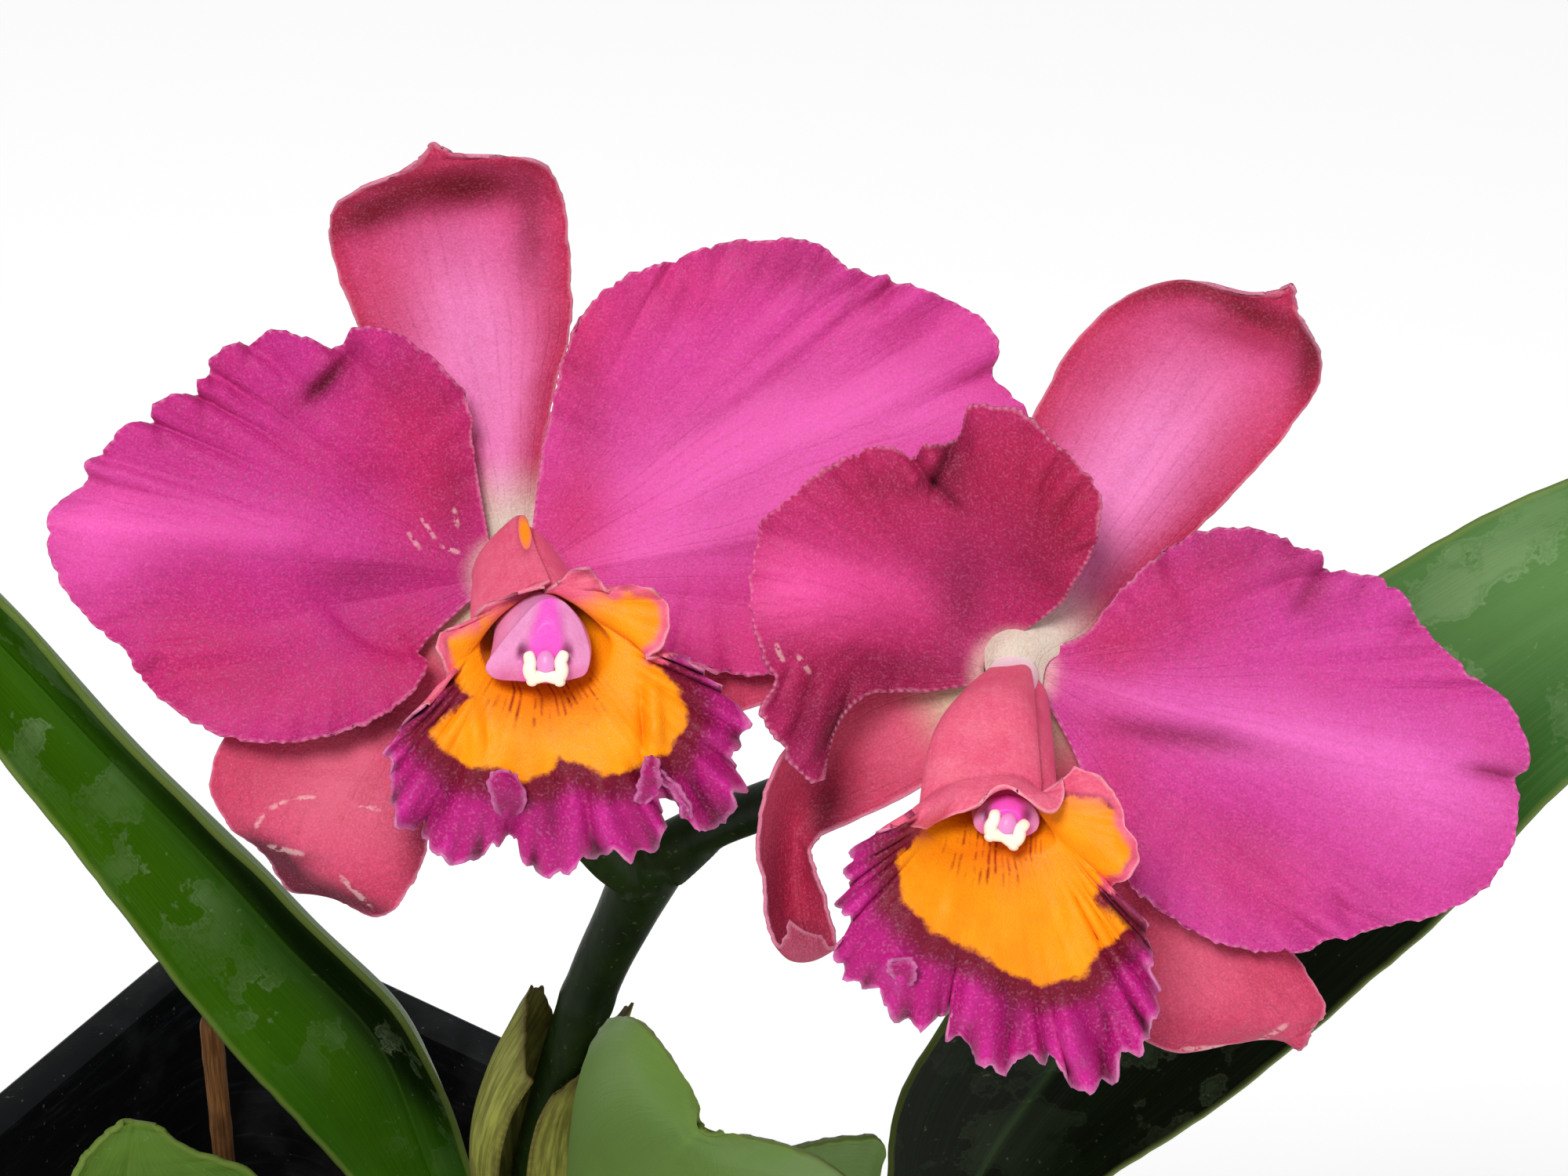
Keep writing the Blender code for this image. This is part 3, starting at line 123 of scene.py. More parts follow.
def smooth(points: Rows, places: Rows) -> Rows:
    """Read a smooth curve through points.

    Args:
        points: Rows that the curve passes through.
        places: Where to read it, each from 0 to 1.

    Returns:
        One row for each place.
    """
    rows = np.asarray(points, dtype=float)
    last = len(rows) - 1
    at = np.clip(np.asarray(places) * last, 0, last)
    index = np.minimum(at.astype(int), last - 1)
    part = at - index
    while part.ndim < rows.ndim:
        part = part[..., None]
    before = rows[np.maximum(index - 1, 0)]
    start = rows[index]
    end = rows[index + 1]
    after = rows[np.minimum(index + 2, last)]
    return 0.5 * (
        2 * start + (end - before) * part
        + (2 * before - 5 * start + 4 * end - after) * part ** 2
        + (3 * start - before - 3 * end + after) * part ** 3
    )


def even_places(points: Rows, count: int) -> Rows:
    """Divide the curve through points into equal lengths.

    Args:
        points: Rows that the curve passes through.
        count: How many places to return.

    Returns:
        The places, each from 0 to 1.
    """
    fine = np.linspace(0, 1, 1600)
    curve = smooth(points, fine)
    steps = np.linalg.norm(np.diff(curve, axis=0), axis=1)
    travelled = np.concatenate([[0], np.cumsum(steps)])
    return np.interp(np.linspace(0, travelled[-1], count), travelled, fine)


def waves(at: Rows, lengths: Sequence[float], heights: Sequence[float], seed: int) -> Rows:
    """Sum seeded sine waves, each with its own drift, for irregular edges and folds.

    Args:
        at: Distances along the edge in millimetres.
        lengths: Wave lengths in millimetres.
        heights: One height for each length.
        seed: Number that the phases follow from.

    Returns:
        One value for each distance.
    """
    chance = np.random.default_rng(seed)
    total = np.zeros_like(np.asarray(at, dtype=float))
    for length, height in zip(lengths, heights):
        phase, drift, slow = chance.uniform(0, 2 * math.pi, 3)
        bend = 0.9 * np.sin(2 * math.pi * at / (length * 5.3) + drift)
        swell = 0.65 + 0.35 * np.sin(2 * math.pi * at / (length * 3.1) + slow)
        total += height * swell * np.sin(2 * math.pi * at / length + phase + bend)
    return total


def hills(x: Rows, y: Rows, length: float, seed: int) -> Rows:
    """Return gentle seeded relief over a plane, from about -1 to 1."""
    chance = np.random.default_rng(seed)
    total = np.zeros_like(x)
    for _ in range(7):
        turn, phase = chance.uniform(0, 2 * math.pi, 2)
        stretch = length * chance.uniform(0.7, 1.6)
        total += np.sin(2 * math.pi * (x * math.cos(turn) + y * math.sin(turn)) / stretch + phase)
    return total / 3.5


def soften(values: Rows, low: float, high: float) -> Rows:
    """Return 0 below low and 1 above high, with a smooth rise between them."""
    share = np.clip((values - low) / (high - low), 0, 1)
    return share * share * (3 - 2 * share)


@dataclass(frozen=True)
class Ridge:
    """A fold or crease along a line, in a bloom's own x and y."""

    start_x: float
    start_y: float
    end_x: float
    end_y: float
    width: float
    height: float

    def relief(self, x: Rows, y: Rows) -> Rows:
        """Return the height that the fold adds at each point."""
        run = np.array([self.end_x - self.start_x, self.end_y - self.start_y])
        length = float(run @ run)
        share = ((x - self.start_x) * run[0] + (y - self.start_y) * run[1]) / length
        held = np.clip(share, 0, 1)
        apart = np.hypot(x - self.start_x - held * run[0], y - self.start_y - held * run[1])
        taper = np.clip(4 * held * (1 - held) + 0.25, 0, 1)
        return self.height * taper * np.exp(-(apart / self.width) ** 2)


@dataclass(frozen=True)
class Patch:
    """A soft oval of tone in a bloom's own x and y."""

    x: float
    y: float
    wide: float
    high: float
    weight: float
    turn: float = 0.0

    def amount(self, x: Rows, y: Rows) -> Rows:
        """Return the tone that the oval adds at each point."""
        angle = math.radians(self.turn)
        dx, dy = x - self.x, y - self.y
        along = dx * math.cos(angle) + dy * math.sin(angle)
        aside = -dx * math.sin(angle) + dy * math.cos(angle)
        return self.weight * np.exp(-(along / self.wide) ** 2 - (aside / self.high) ** 2)


def tone(ovals: Table, x: Rows, y: Rows) -> Rows:
    """Return the summed tone of ovals at each point, held between 0 and 1."""
    total = np.zeros_like(x)
    for oval in ovals:
        total = total + Patch(*oval).amount(x, y)
    return np.clip(total, 0, 1)


def depth_inside(outline: Table, x: Rows, y: Rows) -> Rows:
    """Return how far each point lies inside a closed outline.

    Args:
        outline: Corners of the outline.
        x: Points' x.
        y: Points' y.

    Returns:
        Distance to the outline in millimetres, below 0 outside it.
    """
    nearest = np.full(x.shape, 1e9)
    inside = np.zeros(x.shape, dtype=bool)
    corners = list(outline)
    for (ax, ay), (bx, by) in zip(corners, corners[1:] + corners[:1]):
        run = (bx - ax) ** 2 + (by - ay) ** 2
        share = np.clip(((x - ax) * (bx - ax) + (y - ay) * (by - ay)) / run, 0, 1)
        gap = np.hypot(x - ax - share * (bx - ax), y - ay - share * (by - ay))
        nearest = np.minimum(nearest, gap)
        if ay != by:
            inside ^= ((ay > y) != (by > y)) & (x < (bx - ax) * (y - ay) / (by - ay) + ax)
    return np.where(inside, nearest, -nearest)


def spread(rows: Rows, width: int) -> Rows:
    """Return rows averaged over their neighbours up to a width away."""
    weights = np.hanning(2 * width + 3)[1:-1]
    padded = np.concatenate([np.repeat(rows[:1], width, axis=0), rows,
                             np.repeat(rows[-1:], width, axis=0)])
    return np.stack([np.convolve(column, weights / weights.sum(), mode="valid")
                     for column in padded.T], axis=-1)


def rim_distance(grid: Rows, border: Rows) -> Rows:
    """Return each grid point's distance to the nearest border point, in millimetres."""
    points = grid.reshape(-1, 3)
    nearest = np.full(len(points), 1e9)
    for start in range(0, len(border), 64):
        block = border[start:start + 64]
        apart = np.linalg.norm(points[:, None] - block[None], axis=2)
        nearest = np.minimum(nearest, apart.min(axis=1))
    return nearest.reshape(grid.shape[:2])


def crowded(count: int, crowd: float) -> Rows:
    """Return places from -1 to 1 that crowd toward both ends."""
    even = np.linspace(-1, 1, count)
    return np.sign(even) * (1 - (1 - np.abs(even)) ** crowd)


def edges_of(grid: Rows) -> Rows:
    """Return the points of a blade's two long edges and its tip."""
    return np.concatenate([grid[:, 0], grid[-1], grid[:, -1]])


def lanes(rows: int, columns: int) -> dict[str, Rows]:
    """Return each grid point's place across and along a blade, from 0 to 1."""
    shape = np.ones((rows, columns))
    return {"across": np.linspace(0, 1, columns)[None, :] * shape,
            "along": np.linspace(0, 1, rows)[:, None] * shape}


def rail_grid(stations: Sequence, across: int, along: int, crowd: float = 1.0) -> Rows:
    """Return a blade's grid from its left edge, midline and right edge.

    Args:
        stations: Left, middle and right point of each station.
        across: Points from edge to edge.
        along: Points from base to tip.
        crowd: Over 1 crowds the points toward the edges.

    Returns:
        The grid of points.
    """
    rows = np.array(stations, dtype=float)
    read = smooth(rows, np.linspace(0, 1, along))
    a = crowded(across, crowd)[None, :, None]
    left, middle, right = (read[:, k][:, None, :] for k in range(3))
    return left * a * (a - 1) / 2 + middle * (1 - a ** 2) + right * a * (a + 1) / 2


def add_object(name: str, points: Rows, faces: Sequence, material: bpy.types.Material
               ) -> bpy.types.Object:
    """Add a smooth mesh object.

    Args:
        name: Name of the piece.
        points: Points in millimetres.
        faces: Corner numbers of each face.
        material: Its finish.

    Returns:
        The new object.
    """
    mesh = bpy.data.meshes.new(name)
    mesh.from_pydata([tuple(p) for p in np.asarray(points).reshape(-1, 3) * MM], [], faces)
    mesh.update()
    mesh.shade_smooth()
    mesh.materials.append(material)
    thing = bpy.data.objects.new(name, mesh)
    bpy.context.scene.collection.objects.link(thing)
    return thing


def store(thing: bpy.types.Object, name: str, values: Rows) -> None:
    """Keep one number for each point of a piece, for its material to read."""
    layer = thing.data.attributes.new(name, "FLOAT", "POINT")
    layer.data.foreach_set("value", np.asarray(values, dtype=np.float32).ravel())


def store_turned(thing: bpy.types.Object, points: Rows, middle: Sequence[float], foot: float,
                 top: float) -> None:
    """Keep each point's place round and along an upright piece, for its fibres.

    Args:
        thing: The piece.
        points: Its points in millimetres.
        middle: x and y of its middle.
        foot: Height of its foot.
        top: Height of its top.
    """
    turn = np.arctan2(points[:, 1] - middle[1], points[:, 0] - middle[0]) / (2 * math.pi) + 0.5
    store(thing, "across", turn)
    store(thing, "along", (points[:, 2] - foot) / (top - foot))


def unite(thing: bpy.types.Object, parts: Sequence[bpy.types.Object]) -> None:
    """Take parts of the same piece into its mesh."""
    with bpy.context.temp_override(active_object=thing, selected_editable_objects=[thing, *parts]):
        bpy.ops.object.join()


def settle(thing: bpy.types.Object) -> None:
    """Apply a piece's modifiers to its mesh."""
    drawn = bpy.data.meshes.new_from_object(
        thing.evaluated_get(bpy.context.evaluated_depsgraph_get()))
    thing.modifiers.clear()
    thing.data = drawn


def place_piece(thing: bpy.types.Object, node: str, slot: Slot) -> None:
    """Let a piece stand for its solid.

    Args:
        thing: The finished piece.
        node: The solid that it stands for.
        slot: Not used.
    """
    thing.name = node.replace(".", "_") + "_form"
    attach(thing, "root")
    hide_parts(node)
    count = sum(len(face.vertices) - 2 for face in thing.data.polygons)
    log.info("%s: %d triangles", thing.name, count)


@dataclass
class Blade:
    """A thin closed blade made from a grid of points."""

    name: str
    grid: Rows
    thickness: float
    rim_thickness: float
    rim: Rows
    face: Face = Face.EYE
    masks: dict[str, Rows] = field(default_factory=dict)
    back_masks: dict[str, Rows] = field(default_factory=dict)
    even_steps: int = 10
    rim_fade: float = 2.2

    def normals(self) -> Rows:
        """Return the grid's normals, evened out over their neighbours."""
        down, over = np.gradient(self.grid, axis=0), np.gradient(self.grid, axis=1)
        facing = np.cross(over, down)
        for _ in range(self.even_steps):
            facing /= np.maximum(np.linalg.norm(facing, axis=2, keepdims=True), 1e-12)
            padded = np.pad(facing, ((1, 1), (1, 1), (0, 0)), mode="edge")
            facing = (padded[:-2, 1:-1] + padded[2:, 1:-1] + padded[1:-1, :-2]
                      + padded[1:-1, 2:] + 2 * facing)
        facing /= np.maximum(np.linalg.norm(facing, axis=2, keepdims=True), 1e-12)
        return facing * self.front_sign(facing)

    def front_sign(self, facing: Rows) -> float:
        """Return 1 or -1, so that the normals point out of the blade's front."""
        toward_eye = SIGHT.eye() - self.grid
        if self.face is Face.EYE:
            total = (facing * toward_eye).sum()
        elif self.face is Face.SKY:
            total = facing[..., 2].sum()
        elif self.face is Face.LOWER_EDGE:
            columns = self.grid.shape[1]
            part = (slice(-6, None), slice(columns * 2 // 5, columns * 3 // 5))
            total = (facing[part] * toward_eye[part]).sum()
        else:
            total = (facing * (self.grid - self.grid.mean(axis=1, keepdims=True))).sum()
        return 1.0 if total > 0 else -1.0

    def build(self, material: bpy.types.Material) -> bpy.types.Object:
        """Build the blade.

        Args:
            material: Its finish.

        Returns:
            The new object, with its masks stored on its points.
        """
        rows, columns = self.grid.shape[:2]
        share = soften(self.rim, 0.0, self.rim_fade)
        half = 0.5 * (self.rim_thickness + (self.thickness - self.rim_thickness) * share)
        facing = self.normals()
        offset = half[..., None] * facing
        points = np.concatenate([(self.grid + offset).reshape(-1, 3),
                                 (self.grid - offset).reshape(-1, 3)])
        number = np.arange(rows * columns).reshape(rows, columns)
        quads = np.stack([number[:-1, :-1], number[:-1, 1:], number[1:, 1:], number[1:, :-1]],
                         axis=-1).reshape(-1, 4)
        down, over = np.gradient(self.grid, axis=0), np.gradient(self.grid, axis=1)
        same = (np.cross(over, down) * facing).sum() > 0
        back = rows * columns
        front_quads = quads if same else quads[:, ::-1]
        back_quads = (quads[:, ::-1] if same else quads) + back
        rim = list(number[0]) + list(number[1:, -1]) + list(number[-1, -2::-1])
        rim += list(number[-2:0:-1, 0])
        strip = []
        for here, there in zip(rim, rim[1:] + rim[:1]):
            side = (there, here, here + back, there + back)
            strip.append(side if same else side[::-1])
        faces = [tuple(map(int, f)) for f in (*front_quads, *back_quads, *strip)]
        thing = add_object(self.name, points, faces, material)
        for name, values in self.masks.items():
            behind = self.back_masks.get(name, values)
            store(thing, name, np.concatenate([values.ravel(), behind.ravel()]))
        store(thing, "rim", np.tile(self.rim.ravel(), 2))
        store(thing, "back", np.repeat([0.0, 1.0], rows * columns))
        return thing


def tube(rows: Sequence, sides: int, shape: Callable[[float, Rows], Rows]) -> Skin:
    """Make a closed tube along a path.

    Args:
        rows: (x, y, z, radius) along the path.
        sides: Points in each ring.
        shape: Takes the share of the way and the ring's angles, and returns radius factors.

    Returns:
        Its points and its faces.
    """
    path = np.array(rows, dtype=float)
    heading = np.gradient(path[:, :3], axis=0)
    heading /= np.linalg.norm(heading, axis=1, keepdims=True)
    aside = np.cross(heading[0], (0.31, 0.22, 0.93))
    angles = 2 * math.pi * np.arange(sides) / sides
    rings = []
    for index, (place, way) in enumerate(zip(path, heading)):
        aside = aside - way * (aside @ way)
        aside = aside / np.linalg.norm(aside)
        other = np.cross(way, aside)
        reach = place[3] * shape(index / (len(path) - 1), angles)
        rings.append(place[:3] + reach[:, None] * (np.cos(angles)[:, None] * aside
                                                   + np.sin(angles)[:, None] * other))
    return close_rings(rings)


def close_rings(rings: Sequence[Rows]) -> Skin:
    """Join closed rings into one skin with a point in the middle of each end.

    Args:
        rings: Rings with the same number of points.

    Returns:
        Its points and its faces.
    """
    count, last = len(rings[0]), len(rings) - 1
    points = np.concatenate([np.concatenate(rings), [rings[0].mean(axis=0)],
                             [rings[-1].mean(axis=0)]])
    faces = []
    for r in range(last):
        for c in range(count):
            a, b = r * count + c, r * count + (c + 1) % count
            faces.append((a, b, b + count, a + count))
    foot, head = len(points) - 2, len(points) - 1
    for c in range(count):
        follow = (c + 1) % count
        faces.append((follow, c, foot))
        faces.append((last * count + c, last * count + follow, head))
    return points, faces


def merge(shells: Sequence[Skin]) -> Skin:
    """Put several skins into one list of points and one of faces."""
    points, faces, start = [], [], 0
    for shell_points, shell_faces in shells:
        points.append(shell_points)
        faces += [tuple(corner + start for corner in face) for face in shell_faces]
        start += len(shell_points)
    return np.concatenate(points), faces


def weld(thing: bpy.types.Object, voxel: float, rounds: int) -> None:
    """Fuse a piece's skins into one and smooth the joints.

    Args:
        thing: A piece of overlapping closed skins.
        voxel: Size of the welding grid in millimetres.
        rounds: How often the result is smoothed.
    """
    fusing = thing.modifiers.new("weld", "REMESH")
    fusing.mode = "VOXEL"
    fusing.voxel_size = voxel * MM
    fusing.use_smooth_shade = True
    softening = thing.modifiers.new("soften", "SMOOTH")
    softening.factor = 0.5
    softening.iterations = rounds
    settle(thing)


def paint(code: str) -> tuple[float, float, float, float]:
    """Turn a six-digit colour code into linear light."""
    values = [int(code[k:k + 2], 16) / 255 for k in (0, 2, 4)]
    linear = [v / 12.92 if v <= 0.04045 else ((v + 0.055) / 1.055) ** 2.4 for v in values]
    return (*linear, 1.0)


class Pen:
    """Draws nodes into one material or effect."""

    def __init__(self, tree: bpy.types.NodeTree) -> None:
        """Keep the tree to draw into."""
        self.tree = tree

    def node(self, kind: str, **settings: object) -> bpy.types.Node:
        """Add a node and set its options."""
        made = self.tree.nodes.new(kind)
        for name, value in settings.items():
            setattr(made, name, value)
        return made

    def put(self, socket: Socket, value: object) -> None:
        """Link a socket to a value's output, or set it to a number or a colour code."""
        if isinstance(value, bpy.types.NodeSocket):
            self.tree.links.new(value, socket)
        else:
            socket.default_value = paint(value) if isinstance(value, str) else value

    def fill(self, made: bpy.types.Node, values: dict[str, object]) -> bpy.types.Node:
        """Put a value into each named input of a node."""
        for label, value in values.items():
            self.put(made.inputs[label], value)
        return made

    def math(self, operation: str, a: Number, b: Number = 0.0, clamp: bool = False) -> Socket:
        """Return the result of a sum on one or two values."""
        made = self.node("ShaderNodeMath", operation=operation, use_clamp=clamp)
        self.put(made.inputs[0], a)
        self.put(made.inputs[1], b)
        return made.outputs[0]

    def times(self, a: Number, b: Number) -> Socket:
        """Return the product of two values."""
        return self.math("MULTIPLY", a, b)

    def plus(self, a: Number, b: Number) -> Socket:
        """Return the sum of two values."""
        return self.math("ADD", a, b)

    def less(self, a: Number, b: Number) -> Socket:
        """Return the first value less the second."""
        return self.math("SUBTRACT", a, b)

    def within(self, distance: Number, width: Number) -> Socket:
        """Return 1 at a distance of nothing, falling to 0 at the width."""
        return self.math("SUBTRACT", 1.0, self.math("DIVIDE", distance, width), clamp=True)

    def mix(self, share: Number, a: object, b: object, blend: str = "MIX") -> Socket:
        """Return colour a turning into colour b by the share."""
        made = self.node("ShaderNodeMix", data_type="RGBA", blend_type=blend)
        self.put(made.inputs[0], share)
        self.put(made.inputs[6], a)
        self.put(made.inputs[7], b)
        return made.outputs[2]

    def fade(self, value: Number, low: float, high: float, start: float = 0.0,
             end: float = 1.0) -> Socket:
        """Return a smooth rise from start at low to end at high."""
        made = self.node("ShaderNodeMapRange", interpolation_type="SMOOTHSTEP")
        for socket, number in zip(made.inputs[:5], (value, low, high, start, end)):
            self.put(socket, number)
        return made.outputs[0]

    def mask(self, name: str) -> Socket:
        """Return a number stored on the mesh."""
        return self.node("ShaderNodeAttribute", attribute_name=name).outputs["Fac"]

    def place(self, stretch: tuple[float, float, float] = (1.0, 1.0, 1.0)) -> Socket:
        """Return the point's place in the piece, in metres, stretched along its axes."""
        source = self.node("ShaderNodeTexCoord").outputs["Object"]
        if stretch == (1.0, 1.0, 1.0):
            return source
        return self.fill(self.node("ShaderNodeMapping"), {"Vector": source, "Scale": stretch}).outputs[0]

    def spot(self, x: Number, y: Number) -> Socket:
        """Return a place made from two values."""
        return self.fill(self.node("ShaderNodeCombineXYZ"), {"X": x, "Y": y}).outputs[0]

    def noise(self, scale: Number, detail: float = 2.0, rough: float = 0.5,
              place: Optional[Socket] = None) -> Socket:
        """Return soft noise from 0 to 1, at the point's own place unless another is given."""
        if place is None:
            place = self.place()
        values = {"Vector": place, "Scale": scale, "Detail": detail, "Roughness": rough}
        return self.fill(self.node("ShaderNodeTexNoise"), values).outputs["Fac"]

    def cells(self, place: Socket, scale: Number) -> Socket:
        """Return the distance to the edge of irregular cells."""
        made = self.node("ShaderNodeTexVoronoi", feature="DISTANCE_TO_EDGE")
        return self.fill(made, {"Vector": place, "Scale": scale}).outputs["Distance"]

    def effect(self, name: str, **values: object) -> Socket:
        """Place a shared effect with its own values and return what it puts out."""
        made = self.node("ShaderNodeGroup", node_tree=effect_group(name))
        return self.fill(made, {key.title(): value for key, value in values.items()}).outputs[0]

    def bump(self, height: Socket, distance: float) -> Socket:
        """Return normals raised by a height, with the distance in millimetres."""
        values = {"Strength": 1.0, "Distance": distance * MM, "Height": height}
        return self.fill(self.node("ShaderNodeBump"), values).outputs[0]


def effect_group(name: str) -> bpy.types.NodeTree:
    """Return an effect that several materials use, built the first time it is asked for.

    Args:
        name: Name of the effect.

    Returns:
        The effect's node group, with named inputs and one output.
    """
    draw, inputs = EFFECTS[name]
    found = bpy.data.node_groups.get(name)
    if found:
        return found
    tree = bpy.data.node_groups.new(name, "ShaderNodeTree")
    for label, usual in inputs.items():
        socket = tree.interface.new_socket(label, in_out="INPUT", socket_type="NodeSocketFloat")
        socket.default_value = usual
    tree.interface.new_socket("Mask", in_out="OUTPUT", socket_type="NodeSocketFloat")
    pen = Pen(tree)
    entry = pen.node("NodeGroupInput")
    result = draw(pen, {label: entry.outputs[label] for label in inputs})
    pen.put(pen.node("NodeGroupOutput").inputs[0], result)
    return tree


def fine_grain(pen: Pen, given: dict[str, Socket]) -> Socket:
    """Draw the sparkling velvet grain of petals: Size in millimetres, Contrast."""
    scale = pen.math("DIVIDE", 1000.0, given["Size"])
    small = pen.noise(scale, 1.0, 0.6)
    large = pen.noise(pen.times(scale, 0.31), 2.0, 0.6)
    both = pen.plus(pen.times(small, 0.65), pen.times(large, 0.35))
    contrasted = pen.times(pen.less(both, 0.5), given["Contrast"])
    return pen.math("ADD", contrasted, 0.5, clamp=True)


def soft_blotches(pen: Pen, given: dict[str, Socket]) -> Socket:
    """Draw broad uneven blotches: Size in millimetres, Low and High ends of the fade."""
    value = pen.noise(pen.math("DIVIDE", 1000.0, given["Size"]), 4.0, 0.55)
    span = pen.less(given["High"], given["Low"])
    return pen.math("DIVIDE", pen.less(value, given["Low"]), span, clamp=True)


def running_veins(pen: Pen, given: dict[str, Socket]) -> Socket:
    """Draw thin wandering veins that run along a blade: Across, Along, Count, Wander, Width."""
    drift = pen.noise(90.0)
    shift = pen.times(pen.less(drift, 0.5), given["Wander"])
    rows = pen.times(pen.plus(given["Across"], shift), given["Count"])
    middle = pen.math("ABSOLUTE", pen.less(pen.math("FRACT", rows), 0.5))
    strong = pen.noise(0.9, place=pen.spot(rows, pen.times(given["Along"], 5.0)))
    return pen.times(pen.within(middle, given["Width"]), pen.fade(strong, 0.36, 0.62))


def edge_band(pen: Pen, given: dict[str, Socket]) -> Socket:
    """Draw an uneven band along a blade's margin: Rim in millimetres, Width, Unevenness."""
    waver = pen.less(pen.noise(420.0, 3.0, 0.6), 0.5)
    return pen.within(given["Rim"], pen.plus(given["Width"], pen.times(waver, given["Unevenness"])))


def long_fibres(pen: Pen, given: dict[str, Socket]) -> Socket:
    """Draw fibres that run along a blade or stem: Across, Along, Count, Stretch."""
    place = pen.spot(pen.times(given["Across"], given["Count"]),
                     pen.times(given["Along"], given["Stretch"]))
    return pen.noise(1.0, 3.0, 0.6, place)


# How each shared effect is drawn, and the usual values of its inputs
EFFECTS: dict[str, tuple[Callable[[Pen, dict[str, Socket]], Socket], dict[str, float]]] = {
    "fine_grain": (fine_grain, {"Size": 0.3, "Contrast": 2.0}),
    "soft_blotches": (soft_blotches, {"Size": 8.0, "Low": 0.4, "High": 0.65}),
    "running_veins": (running_veins, {"Across": 0.0, "Along": 0.0, "Count": 24.0, "Wander": 0.04,
                                      "Width": 0.12}),
    "edge_band": (edge_band, {"Rim": 0.0, "Width": 1.0, "Unevenness": 1.0}),
    "long_fibres": (long_fibres, {"Across": 0.0, "Along": 0.0, "Count": 40.0, "Stretch": 4.0}),
}


@dataclass(frozen=True)
class Finish:
    """A surface finish: its gloss is set here, its colours by each kind."""

    name: str
    roughness: float = 0.5
    specular: float = 0.4
    sheen: float = 0.0
    sheen_tint: str = "FFFFFF"
    sheen_roughness: float = 0.4

    def material(self) -> bpy.types.Material:
        """Return the finish's material, made the first time it is asked for."""
        found = bpy.data.materials.get(self.name)
        if found:
            return found
        made = bpy.data.materials.new(self.name)
        made.use_nodes = True
        shader = made.node_tree.nodes["Principled BSDF"]
        pen = Pen(made.node_tree)
        pen.fill(shader, {"Roughness": self.roughness, "Specular IOR Level": self.specular,
                          "Sheen Weight": self.sheen, "Sheen Roughness": self.sheen_roughness,
                          "Sheen Tint": self.sheen_tint})
        self.draw(pen, shader)
        return made

    def draw(self, pen: Pen, shader: bpy.types.Node) -> None:
        """Draw the colours and relief of the surface."""
        raise NotImplementedError

    def cover(self, pen: Pen, shader: bpy.types.Node, colour: Socket, relief: Socket, depth: float
              ) -> None:
        """Give the surface its colour and its relief.

        Args:
            pen: Draws the nodes.
            shader: The surface.
            colour: Its colour.
            relief: Its relief from 0 to 1.
            depth: Height of the relief in millimetres.
        """
        pen.fill(shader, {"Base Color": colour, "Normal": pen.bump(relief, depth)})

    def speckle(self, pen: Pen, colour: Socket, share: Number, grain: Socket,
                greys: tuple[str, str] = ("6A6A6A", "E8E8E8")) -> Socket:
        """Lay a grain over a colour.

        Args:
            pen: Draws the nodes.
            colour: The colour underneath.
            share: How strongly the grain shows.
            grain: The grain from 0 to 1.
            greys: Its darkest and lightest grey.

        Returns:
            The speckled colour.
        """
        return pen.mix(share, colour, pen.mix(grain, *greys), "OVERLAY")

    def grain_gloss(self, pen: Pen, shader: bpy.types.Node, grain: Socket) -> None:
        """Let the gloss follow the grain."""
        gloss = pen.fade(grain, 0.2, 0.8, self.roughness - 0.08, self.roughness + 0.1)
        pen.put(shader.inputs["Roughness"], gloss)


